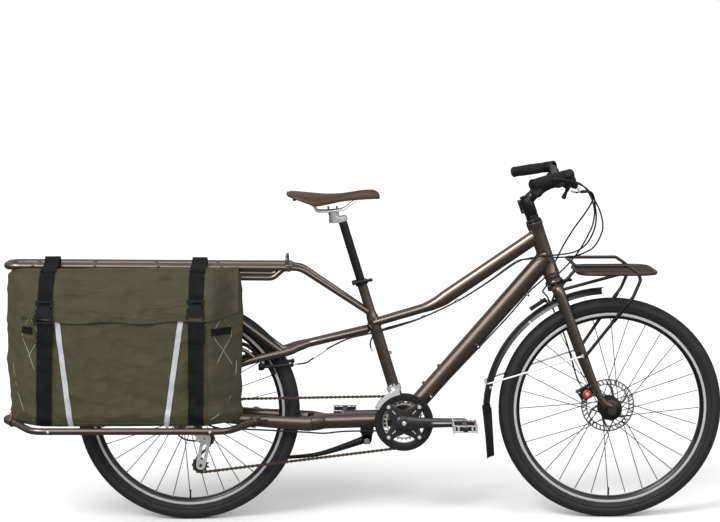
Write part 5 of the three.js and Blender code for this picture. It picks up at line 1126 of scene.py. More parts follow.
def main_frame():
    """Head tube, bent top tube, down tube, seat tube, bracket shell and lower tube."""
    form = Form()
    foot, top = steer_at(HEAD_FOOT), steer_at(HEAD_TOP)
    length = (top - foot).length
    form.turned([(18, 0), (22.6, 0), (24.2, 1.4), (24.2, 9), (23, 12), (22.4, 40),
                 (22.4, length - 40), (23, length - 12), (24.2, length - 9), (24.2, length - 1.4),
                 (22.6, length), (18, length)], foot, STEER_UP, 56)
    path = rounded([steer_at(846), TOP_TUBE_BEND, seat_at(589)], 240, 14)
    total = len(path) - 1
    form.oval([[*p, 21.5 - 8.5 * i / total, 18 + 2 * i / total] for i, p in enumerate(path)], 32)
    down_head = steer_at(779)
    steps = 8
    form.oval([[*BRACKET.lerp(down_head, i / steps), 25 + 2.5 * i / steps, 25 + 2 * i / steps]
               for i in range(steps + 1)], 36)
    seat = [(300, 17.5), (600, 17.5), (606, 17.3), (614, 15.6), (622, 14.6), (700, 14.6)]
    form.tube([seat_at(h) for h, r in seat], [r for h, r in seat], 32)
    form.washer(12.9, 14.6, 0, 12.6, seat_at(700), SEAT_UP, 32)
    shell = 36.5
    form.turned([(16, -shell), (20.2, -shell), (21.4, -shell + 1.2), (21.4, -26), (24.4, -24),
                 (24.4, 24), (21.4, 26), (21.4, shell - 1.2), (20.2, shell), (16, shell)],
                BRACKET, sides=56)
    form.tube([BRACKET, LOWER_TUBE_END], 23, 36)
    down_way = (down_head - BRACKET).normalized()
    form.bead(at(160, 0, 300) + down_way * 120, BRACKET - down_head, 25.4, BRACKET, ACROSS, 24)
    form.bead(down_head - down_way * 130, down_way, 27, foot, STEER_UP, 22.6, size=3)
    form.bead(steer_at(846) - at(110, 0, 22), at(1, 0, 0.24), 19, foot, STEER_UP, 22.6)
    form.bead(BRACKET - AHEAD * 90, AHEAD, 23, BRACKET, ACROSS, 24)
    form.bead(BRACKET + SEAT_UP * 90, -SEAT_UP, 17.5, BRACKET, ACROSS, 24)
    form.bead(seat_at(589) + at(110, 0, 22), at(-1, 0, -0.16), 15.6, seat_at(500), SEAT_UP, 17.5)
    outward = at(-0.753, 0, 0.658)
    for boss in (at(170.6, 0, 411.1), at(215.4, 0, 462.3)):
        form.rod(boss - outward * 6, boss, 4.6, 20)
        form.turned([(2.4, 0), (4.4, 0), (4.4, 1.6), (3.6, 2.4), (2.4, 2.4)], boss, outward, 20,
                    kind=1)
    for x, z, side in GUIDE_PLACES:
        form.brick(at(x, side, z), (14, 7, 7), 47)
        form.rod(at(x, side - 7, z), at(x, side + 5, z), 2.6, 12, 1, 0.5)
    for x, z in TOP_GUIDE_PLACES:
        form.brick(at(x, -11, z), (12, 14, 5), -32 if x > 200 else -14)
        form.rod(at(x, -21, z), at(x, -12, z), 2.2, 12, 1, 0.5)
    build("main_frame_tubes", form, "frame", "frame silver", ["main_frame"])


LOWER_STAY = [(1.225, 0.06, 0.891, 14, 8), (1.2, 0.07, 0.891, 21, 12), (1.1, 0.135, 0.894, 22, 13),
              (1.03, 0.155, 0.897, 21, 13), (0.6, 0.17, 0.93, 17, 12),
              (0.28, 0.222, 0.965, 12, 9), (0.07, 0.236, 0.99, 9, 8)]
UPPER_STAY = [(1.076, 0.022, 1.602, 12.4, 13), (0.97, 0.075, 1.57, 13.4, 12),
              (0.88, 0.118, 1.537, 12.4, 10.5), (0.497, 0.158, 1.445, 10.5, 10),
              (0.27, 0.195, 1.31, 9.5, 9), (0.01, 0.227, 1.075, 8.5, 8)]
FRONT_SOCKET = at(-317.1, 67.7, 307.6)
REAR_SOCKET = at(-1041.4, 95.7, 320.8)
LOADER_SIDE = 225
FRONT_LOADER_BEND = at(-395.3, LOADER_SIDE, 308.6)
REAR_LOADER_BEND = at(-953, LOADER_SIDE, 310.9)
BRAKE_STUD = at(-304.9, 39.6, 464)


def stay_rows(rows, hand):
    return [[*rear_place((ahead, side, height), hand), tall, wide]
            for ahead, side, height, tall, wide in rows]


def lower_stays():
    """The yoke, two flattened stays, the dropouts with their tongues, and four sockets."""
    form = Form()
    form.oval(spline([[*(LOWER_TUBE_END - at(back, 0, 0)), tall, wide] for back, tall, wide in (
        (-1, 23, 23.4), (8, 23.4, 28), (20, 23.4, 40), (32, 22.8, 47), (40, 19, 45),
        (44, 13, 40))], 4), 40)
    for hand in (-1, 1):
        form.oval(spline(stay_rows(LOWER_STAY, hand), 5), 24)
        dropout = REAR_AXLE + ACROSS * (hand * 70.8)
        outline = [(dropout.x + x, dropout.z + z) for x, z in (
            (34, -13), (18, -17), (0, -18), (-14, -12), (-19, 0), (-17, 12), (-8, 19), (6, 26),
            (14, 30), (20, 22), (24, 12), (36, 4))]
        form.plate(outline, dropout.y - 3, dropout.y + 3)
        if hand < 0:
            form.plate([(HANGER.x + x, HANGER.z + z) for x, z in (
                (14, 20), (-12, 16), (-13, 0), (-10, -9), (0, -12), (10, -8), (13, 4))],
                -73.8, -67.8)
        for place, bend in ((FRONT_SOCKET, FRONT_LOADER_BEND), (REAR_SOCKET, REAR_LOADER_BEND)):
            socket = mirrored(place, hand)
            way = (mirrored(bend, hand) - socket).normalized()
            start = socket - way * 6
            form.turned([(10.4, -2), (13.4, -2), (14.2, -1), (14.2, 37), (13.4, 38), (10.4, 38)],
                        start, way, 36)
            pin = start + way * 22
            form.rod(pin - UP * 18, pin - UP * 10, 3.6, 14, 1, 0.7)
        form.tube([start + way * 2, start - way * 12], 9, 20)
        front = mirrored(FRONT_SOCKET, hand)
        form.oval([[*(front + at(30, -hand * 3, 4)), 9, 6], [*front, 13, 7],
                   [*(front + at(-26, hand * 2, 6)), 8, 5]], 16)
    build("lower_stay_pair", form, "frame", "frame silver", ["lower_stays"])


def upper_stays():
    """The middle tube, two stays, their struts, and the braces up to the carrier."""
    form = Form()
    start, end = seat_at(576), at(-168.9, 0, 528.7)
    form.oval([[*start.lerp(end, t), tall, wide] for t, tall, wide in (
        (0.085, 8, 10), (0.1, 12, 14), (0.13, 13, 19), (0.18, 13, 20), (0.6, 13, 20),
        (0.85, 13, 20), (1, 13, 20), (1.03, 9, 15))], 32)
    form.bead(start.lerp(end, 0.6), start - end, 14.5, seat_at(500), SEAT_UP, 18.6)
    for hand in (-1, 1):
        form.oval(spline(stay_rows(UPPER_STAY, hand), 6), 24)
        strut_foot = rear_place((0.845, 0.12, 1.54), hand)
        rail = at(-533.9, RAIL_SIDE * hand, 733)
        form.rod(strut_foot, rail, 8, 20)
        brace = rounded([rear_place(s, hand) for s in (
            (0.633, 0.15, 1.47), (0.48, 0.158, 1.6), (0.25, 0.185, 1.5), (0.06, 0.225, 1.15))],
            55)
        form.tube(brace, 6, 18)
        form.rod(rear_place((-0.005, 0.227, 1.08), hand), at(-807.8, RAIL_SIDE * hand, 731), 8, 20)
        stud = mirrored(BRAKE_STUD, hand)
        form.rod(stud + at(-2, 0, 9), stud + at(6, hand * 13, 16), 5, 14)
    build("upper_stay_pair", form, "frame", "frame", ["upper_stays"])


RAIL_RADIUS = 10.8
CROSS_BAR_SHARES = (0.26, 0.48, 0.7, 0.9)
HANG_SIDE = 58
HOOP_PLACE = -227
HOOP_SIDE = 46
HOOP_TOP = 790
TAIL_LEG = -1001
EYE_PLACES = (-963, -783, -599, -415)


def rear_carrier():
    """Two long rails with cross bars, hanging rails, front stays, tail legs and their bar."""
    form = Form()
    end = RAIL_HEIGHT + RAIL_RISE
    loop = [at(RAIL_FRONT, -RAIL_SIDE, RAIL_HEIGHT), at(RAIL_END, -RAIL_SIDE, end),
            at(RAIL_END, RAIL_SIDE, end), at(RAIL_FRONT, RAIL_SIDE, RAIL_HEIGHT)]
    form.tube(rounded(loop, 44, 10), RAIL_RADIUS, 28)
    form.pin(loop[0], -RAIL_SIDE - 10.4, RAIL_SIDE + 10.4, RAIL_RADIUS, 28, 0, 2)
    for share in CROSS_BAR_SHARES:
        x = RAIL_FRONT + share * (RAIL_END - RAIL_FRONT)
        form.pin(at(x, 0, rail_height(x)), -RAIL_SIDE, RAIL_SIDE, 7, 20, soft=0)
    hoop = [at(HOOP_PLACE, HOOP_SIDE, RAIL_HEIGHT), at(HOOP_PLACE, HOOP_SIDE, HOOP_TOP)]
    hoop = [mirrored(point, -1) for point in hoop] + hoop[::-1]
    form.tube(rounded(hoop, 22), 4, 16)
    seat_side = seat_at(622)
    for hand in (-1, 1):
        form.tube(rounded([at(RAIL_FRONT, 49.5 * hand, 758), at(-185, 44 * hand, 754),
                           at(seat_side.x - 8, 19.6 * hand, 623)], 150), 8, 20)
        form.tube(rounded([at(-233, RAIL_SIDE * hand, 758), at(-267, HANG_SIDE * hand, 729),
                           at(-955, HANG_SIDE * hand, 738), at(-993, RAIL_SIDE * hand, 767)], 30),
                  8, 20)
        form.tube(rounded([at(TAIL_LEG, RAIL_SIDE * hand, rail_height(TAIL_LEG)),
                           at(TAIL_LEG, 62 * hand, 376.8), mirrored(REAR_SOCKET, hand)], 44), 9, 20)
        for x in EYE_PLACES:
            eye = at(x, (RAIL_SIDE + 10.6) * hand, rail_height(x))
            form.turned([(0, -2), (5.2, -2), (5.8, -1), (5.2, 0.4), (2.6, 1.2), (0, 1.2)], eye,
                        ACROSS * hand, 24, kind=1)
    form.rod(mirrored(REAR_SOCKET, -1), REAR_SOCKET, 9, 20)
    build("rear_carrier_rails", form, "frame", "frame dark", ["rear_carrier"])


def side_loader():
    """The wide tube round the foot of the bag, with its bright pins."""
    form = Form()
    route = [FRONT_SOCKET, FRONT_LOADER_BEND, REAR_LOADER_BEND, REAR_SOCKET]
    route = [mirrored(point, -1) for point in route]
    form.tube(rounded(route, 60, 12), 10, 28)
    for bend, back in ((route[1], -48), (route[2], 48)):
        form.rod(bend + at(back, -13, 0), bend + at(back, -9, 0), 4, 16, 1, 0.7)
    build("side_loader_tube", form, "frame", "frame silver", ["side_loader"])


class CARGO_OT_frame(bpy.types.Operator):
    """Builds the frame tubes, the stays, the rear carrier and the side loader"""

    bl_idname = "cargo_bicycle.frame"
    bl_label = "Frame and rear carrier"

    def execute(self, context):
        main_frame()
        lower_stays()
        upper_stays()
        rear_carrier()
        side_loader()
        return {"FINISHED"}


# Seat
SADDLE_BACK = -224.5
SADDLE_LENGTH = 270
SADDLE_HALF = 82
SADDLE_TOP = 983
SADDLE_DEPTH = 92
SADDLE_ROWS = [
    (0, 0.5, 0.1, 0.17), (0.03, 0.78, 0.055, 0.2), (0.12, 0.98, 0.065, 0.29), (0.24, 1, 0.09, 0.42),
    (0.32, 0.95, 0.11, 0.48), (0.42, 0.74, 0.127, 0.45), (0.56, 0.43, 0.115, 0.38),
    (0.68, 0.3, 0.07, 0.34), (0.78, 0.26, 0.022, 0.32), (0.88, 0.24, 0, 0.305),
    (0.95, 0.2, 0.04, 0.3), (0.985, 0.15, 0.11, 0.3), (1, 0.08, 0.2, 0.29)]


def saddle_ring(row, base=False):
    """One ring across the saddle: a crowned top, a rolled edge and a flat underside."""
    ahead, half, top, skirt = row
    x = SADDLE_BACK + SADDLE_LENGTH * ahead
    half *= SADDLE_HALF
    high, low = SADDLE_TOP - SADDLE_DEPTH * top, SADDLE_TOP - SADDLE_DEPTH * skirt
    ring = []
    steps = 26
    if base:
        for i in range(steps + 1):
            t = 2 * i / steps - 1
            ring.append(at(x, half * t * 0.9, low + 5))
        for i in range(steps + 1):
            t = 1 - 2 * i / steps
            ring.append(at(x, half * t * 0.84, low - 1.5 + 3 * (1 - t * t)))
        return ring
    for i in range(steps + 1):
        t = 2 * i / steps - 1
        bent = math.copysign(abs(t) ** 0.8, t)
        groove = 1.6 * math.exp(-(t / 0.16) ** 2) if 0.1 < ahead < 0.9 else 0
        ring.append(at(x, half * math.sin(bent * math.pi / 2),
                       low + (high - low) * math.cos(bent * math.pi / 2) ** 0.72 - groove))
    for i in range(1, 8):
        t = 1 - 2 * i / 8
        ring.append(at(x, half * t * 0.93, low - 1.4))
    return ring


def saddle():
    """A padded leather cover with a stitched edge, its base shell and its rails."""
    rows = spline(SADDLE_ROWS, 5)
    rows[0][1] = 0.42
    cover = Form()
    cover.skin([saddle_ring(row) for row in rows])
    piece = build("saddle_cover", cover, "seat", "leather",
                  ["saddle"], bevel=False, sharp=60)
    base = Form()
    base.skin([saddle_ring(row, base=True) for row in rows[2:-1]])
    base.brick(at(-203, 0, 957), (10, 56, 12))
    build("saddle_base", base, "seat", "plastic")
    seam = Form()
    for hand in (-1, 1):
        edge = [saddle_ring(row)[26 if hand > 0 else 0] + at(0, hand * -0.2, 2.4) for row in rows]
        seam.tube(edge, 0.9, 8)
    seam.tube([saddle_ring(rows[1])[i] + at(-1.2, 0, 1.5) for i in range(0, 27, 2)], 0.9, 8)
    build("saddle_seam", seam, "seat", "leather", bevel=False)
    rails = Form()
    for hand in (-1, 1):
        route = [at(x, side * hand, z) for x, side, z in (
            (-160, 30, 945), (-145, 29, 933), (-138, 27, 921), (-114.5, 24, 919.4), (-88, 23, 921),
            (-62, 22, 925), (-42, 20, 938), (-24, 18, 950.7))]
        rails.tube(curve(route, 6), 3.5, 14)
    build("saddle_rails", rails, "seat", "silver", ["saddle_wire"], bevel=False)


def seatpost():
    """The black post, its bright clamp head and two bolts, the collar and its lever."""
    form = Form()
    form.rod(seat_at(600), seat_at(893), 12.7, 36, 0, 1)
    for height in range(730, 880, 12):
        form.washer(12.5, 12.78, -0.2, 0.2, seat_at(height), SEAT_UP, 36)
    head = at(-90.7, 0, 914)
    form.oval([[*(head + at(1 + 5 * t, 0, 8 - 38 * t)), tall, wide] for t, tall, wide in (
        (0, 9, 16), (0.2, 11.5, 18), (0.5, 12.5, 16), (0.8, 10.5, 14), (1, 8, 12))], 24, 1)
    for lift, half in ((3, 17), (13, 14)):
        form.oval([[*(head + at(-2, side, lift + 0.5)), 4.4, half * room] for side, room in (
            (-27, 0.7), (-24, 1), (24, 1), (27, 0.7))], 24, 1)
    for x in (-13, 12):
        form.rod(head + at(x + 5, 0, -24), head + at(x - 2, 0, 20), 3, 16, 2, 0.6)
        form.rod(head + at(x + 6, 0, -30), head + at(x + 4, 0, -20), 5, 18, 2, 0.8)
    form.turned([(0, 0), (15, 0), (17, 4), (17, 14), (13, 18), (0, 18)], seat_at(888), SEAT_UP,
                36, kind=1)
    build("seatpost_and_head", form, "seat", "black silver steel", ["seatpost"])
    collar = Form()
    foot = seat_at(701)
    collar.turned([(14.9, 0), (18, 0), (19, 1), (19, 13.6), (18, 14.6), (13.2, 14.6), (13.2, 12),
                   (14.9, 12)], foot, SEAT_UP, 48)
    bolt = at(-30.2, 0, 708)
    for side in (-6.2, 6.2):
        collar.brick(bolt + at(0, side, 0), (14, 5, 13), -17)
    collar.pin(bolt, -20, 12, 3, 18, 1)
    collar.turned([(0, 8.6), (5, 8.6), (5.6, 9.4), (5.6, 12.6), (5, 13.4), (0, 13.4)], bolt,
                  sides=28, kind=1)
    build("seat_collar_band", collar, "frame", "black steel", ["seat_collar"])
    lever = Form()
    rows = [(-3, -21.6, 3, 5), (0, -22, 4.4, 6.4), (8, -22.4, 5.6, 5.4), (24, -22.5, 4.4, 2.6),
            (42, -22.8, 5, 2.4), (50, -23.2, 5.2, 2.2), (54, -23.2, 3, 1.2)]
    lever.oval(spline([[bolt.x + x, y, bolt.z + 1 + 0.19 * x, tall, wide]
                       for x, y, tall, wide in rows], 4), 20)
    build("seat_collar_cam_lever", lever, "collar_lever", "black",
          ["seat_collar_lever"])


class CARGO_OT_seat(bpy.types.Operator):
    """Builds the saddle, its rails, the post, the collar and its lever"""

    bl_idname = "cargo_bicycle.seat"
    bl_label = "Saddle and post"

    def execute(self, context):
        saddle()
        seatpost()
        return {"FINISHED"}


# Fork, mudguard and front carrier
FORK_ROWS = [(2.09, 0.01, 0.106, 15.5), (2, 0.012, 0.125, 15.5), (1.5, 0.024, 0.1515, 14),
             (1.3, 0.032, 0.16, 12), (1.15, 0.045, 0.167, 10.5), (1.08, 0.055, 0.168, 10),
             (1.02, 0.085, 0.166, 8.5)]
GUARD_CENTRE = at(717, 0, 324)
GUARD_RADIUS = 367
FLAP_LENGTH = 146


def headset():
    """The two bearing cups with their lips."""
    for name, height, rows in (
            ("upper", HEAD_TOP, [(15, 0.4), (22.6, 0.4), (23, 1), (23, 5.4), (21.6, 7), (18.6, 9),
                                 (18.2, 14), (19.2, 15), (19.2, 19), (17, 21), (15, 21.6)]),
            ("lower", HEAD_FOOT, [(15, -0.4), (22.6, -0.4), (23, -1), (23, -7), (22, -9),
                                  (22.4, -15), (25.6, -18), (26.5, -20), (26.5, -25.4),
                                  (25.6, -26.6), (15, -26.6)])):
        form = Form()
        form.turned(rows, steer_at(height), STEER_UP, 56)
        look, slot = ("black", "black_metal") if name == "upper" else ("frame", "frame_paint")
        build(f"headset_{name}_cup", form, "frame", look, [f"headset_{name}"])


def fork():
    """Two curved blades on a crown, their dropouts, and the steerer."""
    form = Form()
    for hand in (-1, 1):
        rows = []
        for height, ahead, side, radius in FORK_ROWS:
            point = steer_at(height * WHEEL_RADIUS, ahead * WHEEL_RADIUS,
                             side * hand * WHEEL_RADIUS)
            rows.append([*point, radius])
        form.taper(rows, 28)
        tip = FRONT_AXLE + ACROSS * (hand * 53.3)
        toe = Vector(rows[-1][:3])
        outline = [(tip.x + x, tip.z + z) for x, z in (
            (-12, -6), (-4, -13), (6, -13), (13, -5), (13, 6), (8, 14), (4, 24), (-8, 24),
            (-12, 10))]
        form.plate(outline, tip.y - 3, tip.y + 3)
        form.rod(toe + at(0, 0, 6), tip + at(-1, 0, 12), 7, 16, 0, 2)
        stay_eye = steer_at(505, 0.4, hand * 58)
        form.pin(stay_eye, stay_eye.y - 6, stay_eye.y + 6, 5, 16, 2)
    crown = steer_at(686)
    form.pin(crown, -38, 38, 15.4, 32, 0, 4)
    form.turned([(0, 0), (24, 0), (25, 2), (25, 12), (23, 14), (0, 14)], steer_at(687),
                STEER_UP, 40)
    form.rod(crown, steer_at(957), 14.2, 32)
    cap = steer_at(956.8)
    form.turned([(0, 0), (16.6, 0), (17.6, 1), (17.6, 3), (15, 5), (4, 5.6), (4, 4), (0, 4)],
                cap, STEER_UP, 36, kind=2)
    form.turned([(0, 4.4), (3.6, 4.4), (3.6, 6.4), (2, 6.8), (0, 6)], cap, STEER_UP, 24, kind=1)
    build("fork_blades", form, "steering", "frame silver black", ["fork"])


def guard_point(turn, reach, side):
    return GUARD_CENTRE + at(math.cos(turn) * reach, side, math.sin(turn) * reach)


def mudguard():
    """A thin rolled guard with a slanted front end, a flap, clips and wire stays."""
    form = Form()
    steps = 64
    across = 14
    outer, inner = [], []
    start, end = math.radians(92), math.radians(180.5)
    for i in range(steps + 1):
        turn = start + (end - start) * i / steps
        for shell, thin in ((outer, 0), (inner, 1.6)):
            row = []
            for j in range(across + 1):
                s = 2 * j / across - 1
                curl = math.asin(0.999 * s)
                reach = GUARD_RADIUS - thin - 17 * (1 - math.cos(curl))
                slant = 0.05 * abs(s) if i == 0 else 0
                row.append(guard_point(turn + slant, reach, (29 - thin) * s))
            shell.append(row)
    form.skin([row + other[::-1] for row, other in zip(outer, inner)])
    flap = []
    for i in range(13):
        share = i / 12
        drop = FLAP_LENGTH * share
        deep = 25 - 7 * share
        cut = 16 * share ** 6
        row = []
        for thin in (0, 2.2):
            line = []
            for j in range(15):
                s = 2 * j / 14 - 1
                bow = deep * (1 - abs(s) ** 2.4)
                line.append(at(GUARD_CENTRE.x - GUARD_RADIUS + 22 + drop * 0.06 - bow + thin,
                               (29 - thin) * s, GUARD_CENTRE.z + 14 - drop - cut * (1 - abs(s))))
            row.append(line)
        flap.append(row[0] + row[1][::-1])
    form.skin(flap, 1)
    for turn in (131, 168):
        for side in (-27.5, 27.5):
            clip = guard_point(math.radians(turn), GUARD_RADIUS - 13, side)
            form.rod(clip - ACROSS * 2.5, clip + ACROSS * 2.5, 4.4, 16, 2, 0.8)
    form.brick(at(511, 0, 641), (56, 24, 9), -33, 1)
    form.brick(at(585, 0, 710), (50, 22, 7), -8, 1)
    bracket = steer_at(664, -10)
    form.brick(bracket + at(-28, 0, -14), (44, 16, 3), 28, 1)
    form.brick(bracket + at(-8, 0, -3), (4, 18, 34), 19, 1)
    form.rod(bracket + at(-24, 0, -16), bracket + at(-26, 0, -6), 4, 16, 2, 0.8)
    build("front_mudguard_shell", form, "steering", "black plastic silver",
          ["front_mudguard"])
    stays = Form()
    eye = at(635, 66.8, 495)
    tail = at(356.3, 42, 408.8)
    stays.tube(rounded([mirrored(eye, -1), mirrored(tail, -1), tail, eye], 21), 2.8, 12)
    for hand in (-1, 1):
        stays.washer(2.6, 5.6, -2, 2, at(eye.x + 3, eye.y * hand, eye.z + 1), sides=20)
        stays.pin(at(eye.x + 3, 0, eye.z + 1), hand * 57, hand * 70, 2.6, 14)
    build("mudguard_stays", stays, "steering", "silver",
          ["mudguard_wire"], bevel=False)


TRAY_HEIGHT = 742
TRAY_BACK = 619
TRAY_FRONT = 846
TRAY_HALF = 122


def front_carrier():
    """A rod tray with slats, the raised hoop, and the legs down to the fork."""
    form = Form()
    corners = [at(TRAY_BACK, -TRAY_HALF, TRAY_HEIGHT), at(TRAY_FRONT, -TRAY_HALF, TRAY_HEIGHT),
               at(TRAY_FRONT, TRAY_HALF, TRAY_HEIGHT), at(TRAY_BACK, TRAY_HALF, TRAY_HEIGHT)]
    middle = at(TRAY_BACK, 0, TRAY_HEIGHT)
    ring = rounded([middle, *corners, middle], 62, 9)
    form.tube(ring[:-1], 5, 20, closed=True)
    for share in (-0.72, -0.36, 0, 0.36, 0.72):
        side = share * TRAY_HALF
        form.brick(at((TRAY_BACK + TRAY_FRONT) / 2, side, TRAY_HEIGHT + 0.6),
                   (TRAY_FRONT - TRAY_BACK, 15, 5))
    for x in (TRAY_BACK + 52, TRAY_FRONT - 52):
        form.brick(at(x, 0, TRAY_HEIGHT - 3), (16, 2 * TRAY_HALF, 3))
    for hand in (-1, 1):
        blade = steer_at(1.5 * WHEEL_RADIUS, 0.024 * WHEEL_RADIUS, 0.1515 * hand * WHEEL_RADIUS)
        knee, foot = at(773, TRAY_HALF * hand, 676), blade + at(6, 26 * hand, 0)
        leg = [at(611, TRAY_HALF * hand, 767), at(755.2, TRAY_HALF * hand, 767),
               at(785.8, TRAY_HALF * hand, 746), at(794, TRAY_HALF * hand, 726), knee, foot]
        form.tube(rounded(leg, 16), 5, 18)
        form.rod(knee.lerp(foot, 0.1), knee.lerp(foot, 0.42), 6.2, 18, 1, 1)
        form.rod(blade + at(6, 12 * hand, 0), blade + at(6, 33 * hand, 0), 5.6, 18, 1, 1)
    form.tube(rounded([at(640, -TRAY_HALF, 767), at(606, -TRAY_HALF, 767), at(606, TRAY_HALF, 767),
                       at(640, TRAY_HALF, 767)], 30, 9), 5, 20)
    strut = steer_at(678.5, 15)
    form.rod(middle, strut + at(-8, 0, 6), 5, 16)
    form.rod(at(TRAY_FRONT - 60, 0, TRAY_HEIGHT - 4), strut, 5, 16)
    build("front_carrier_tray", form, "steering", "carrier black",
          ["front_carrier"])


class CARGO_OT_fork(bpy.types.Operator):
    """Builds the headset, the fork, the mudguard and the front carrier"""

    bl_idname = "cargo_bicycle.fork"
    bl_label = "Fork and front carrier"

    def execute(self, context):
        headset()
        fork()
        mudguard()
        front_carrier()
        return {"FINISHED"}


# Cockpit
GRIP_LENGTH = 116
BAR_ROWS = [(-0.324, 1, 0.03), (0.022, 0.72, 0.1), (0.006, 0.17, 0)]
PIVOT = at(503.8, 0, 974.5)
LEVER_ROOT = at(592.7, 220, 1003)
LEVER_TIP = at(524, 299.5, 1026.4)
PADDLE_ROOT = at(569.3, 196.6, 987.4)
PADDLE_TIP = at(558.4, 218.4, 970.2)


def bar_points():
    """The bar's line from its right end to its left end."""
    half = [BAR_CENTRE + at(ahead * BAR_HALF, side * BAR_HALF, up * BAR_HALF)
            for ahead, side, up in BAR_ROWS]
    whole = [mirrored(point, -1) for point in half] + half[::-1]
    return rounded(whole, 60, 9)


def handlebar():
    form = Form()
    form.tube(bar_points(), 11.1, 28)
    build("swept_handlebar", form, "steering", "black", ["handlebar"])
    stem = Form()
    foot = steer_at(905)
    stem.turned([(14.5, 0), (18.4, 0), (19, 0.8), (19, 51), (18.4, 52), (14.5, 52)], foot, STEER_UP,
                40)
    back = steer_at(931)
    stem.brick(back + at(-21, 0, -2), (12, 22, 40), -19)
    for height in (916, 944):
        bolt = steer_at(height) + at(-22, 0, 0)
        stem.pin(bolt, -13, 13, 2.6, 14, 1)
        stem.pin(bolt, -15, -10, 4.2, 16, 1)
    stem.pin(PIVOT, -19, 19, 18.7, 40, 0, 1.6)
    for hand in (-1, 1):
        stem.turned([(0, 18.4), (11, 18.4), (12.6, 19.2), (12.6, 20.6), (11, 21.6), (4.6, 21.6),
                     (4.2, 19.6), (0, 19.6)], PIVOT, ACROSS * hand, 40, kind=1)
    stem.oval([[*PIVOT.lerp(BAR_CENTRE, t), tall, wide] for t, tall, wide in (
        (0.1, 17, 15), (0.35, 13.4, 13), (0.65, 13, 13), (0.9, 16.4, 18))], 28)
    stem.oval([[*steer_at(945), 18, 17], [*steer_at(945).lerp(PIVOT, 0.55), 16, 16],
               [*PIVOT, 15, 15]], 28)
    stem.turned([(11.3, -24), (18, -24), (19, -23), (19, 23), (18, 24), (11.3, 24)], BAR_CENTRE,
                sides=44)
    for side in (-17, 17):
        for lift in (-13, 13):
            stem.rod(BAR_CENTRE + at(12, side, lift), BAR_CENTRE + at(19.5, side, lift * 1.03),
                     3.4, 16, 1, 0.7)
    build("adjustable_stem", stem, "steering", "black dark", ["stem"])


def controls(label, hand):
    """The grip, the hood with its clamp, the brake lever and the shift paddle of one side."""
    line = bar_points()
    if hand > 0:
        line = line[::-1]
    end, way = line[0], (line[1] - line[0]).normalized()
    grip = Form()
    profile = [(11.2, 0.4), (15, -2.6), (16.4, -1), (16.4, 3), (15.2, 5)]
    ribs = 18
    for i in range(ribs):
        place = 9 + i * (GRIP_LENGTH - 22) / ribs
        swell = 0.9 * math.sin(math.pi * i / ribs)
        profile += [(14.6 + swell, place), (15.6 + swell, place + 1.4), (15.6 + swell, place + 3.2),
                    (14.6 + swell, place + 4.4)]
    profile += [(15.2, GRIP_LENGTH - 9), (16.2, GRIP_LENGTH - 6), (15.8, GRIP_LENGTH - 1),
                (11.2, GRIP_LENGTH)]
    grip.turned(profile, end, way, 36)
    grip.turned([(0, -2.4), (9, -2.4), (10.6, -1.4), (10.6, 0.6), (0, 0.6)], end, way, 32, kind=1)
    grip.turned([(11.2, GRIP_LENGTH - 0.4), (16.2, GRIP_LENGTH - 0.4), (16.8, GRIP_LENGTH + 1),
                 (16.8, GRIP_LENGTH + 6), (11.2, GRIP_LENGTH + 6.4)], end, way, 36, kind=1)
    build(f"grip_{label}_rubber", grip, "steering", "grip black",
          [f"grip_{label}"], bevel=False)
    hood = Form()
    seat = end + way * (GRIP_LENGTH + 20)
    hood.turned([(11.4, -13), (15.4, -13), (16.4, -11.6), (16.4, 11), (15.4, 13), (11.4, 13)],
                seat, way, 36)
    root, paddle = mirrored(LEVER_ROOT, hand), mirrored(PADDLE_ROOT, hand)
    inward = at(0, -hand, 0)
    hood.oval([[*(seat + at(4, 0, -6)), 15, 13], [*seat.lerp(root, 0.5), 13, 12],
               [*(root + at(-3, 0, 0)), 10, 9], [*(root + at(3, 0, -1)), 8, 7]], 20)
    body = seat + at(6, 0, -24) + inward * 4
    hood.turned([(0, -9), (15, -9), (18, -7), (19, -2), (19, 3), (16, 7), (9, 9.6), (0, 10)], body,
                at(0.42, 0, -0.9), 40)
    hood.turned([(0, 9.6), (6.4, 9.6), (7, 10.6), (6.4, 11.6), (0, 11.8)], body,
                at(0.42, 0, -0.9), 28, kind=1)
    hood.oval([[*body.lerp(paddle, 0.2), 8, 8], [*paddle, 5, 6]], 16)
    hood.rod(root + inward * 2 + at(2, 0, 2), root + inward * 18 + at(3, 0, 4), 4.4, 18, 1, 0.8)
    hood.turned([(0, 0), (4, 0), (4.4, 1), (4.4, 2), (0, 2)], root + UP * 8, UP, 20, kind=1)
    build(f"brake_hood_{label}_body", hood, "steering", "plastic dark",
          [f"brake_hood_{label}"])
    lever = Form()
    tip = mirrored(LEVER_TIP, hand)
    bow = at(10, 0, 3)
    rows = [[*(root + at(0, 0, -1)), 7, 6], [*(root.lerp(tip, 0.14) + bow * 0.5), 7.4, 4.4],
            [*(root.lerp(tip, 0.35) + bow), 6.6, 3.6], [*(root.lerp(tip, 0.65) + bow * 0.8), 6, 3.2],
            [*(root.lerp(tip, 0.9) + bow * 0.15), 6.4, 3.6], [*tip, 6.2, 4.6],
            [*(tip + (tip - root).normalized() * 4), 2.6, 2.4]]
    lever.oval(spline(rows, 5), 18)
    build(f"brake_lever_{label}_blade", lever, f"lever_{label}", "black",
          [f"brake_lever_{label}"])
    press = Form()
    far = mirrored(PADDLE_TIP, hand)
    press.oval(spline([[*paddle, 4, 4], [*paddle.lerp(far, 0.4), 5.4, 3], [*far, 6.6, 2.6],
                       [*(far + (far - paddle).normalized() * 4), 3.4, 1.6]], 4), 16)
    build(f"shift_paddle_{label}_blade", press, f"paddle_{label}", "plastic",
          [f"shift_paddle_{label}"])


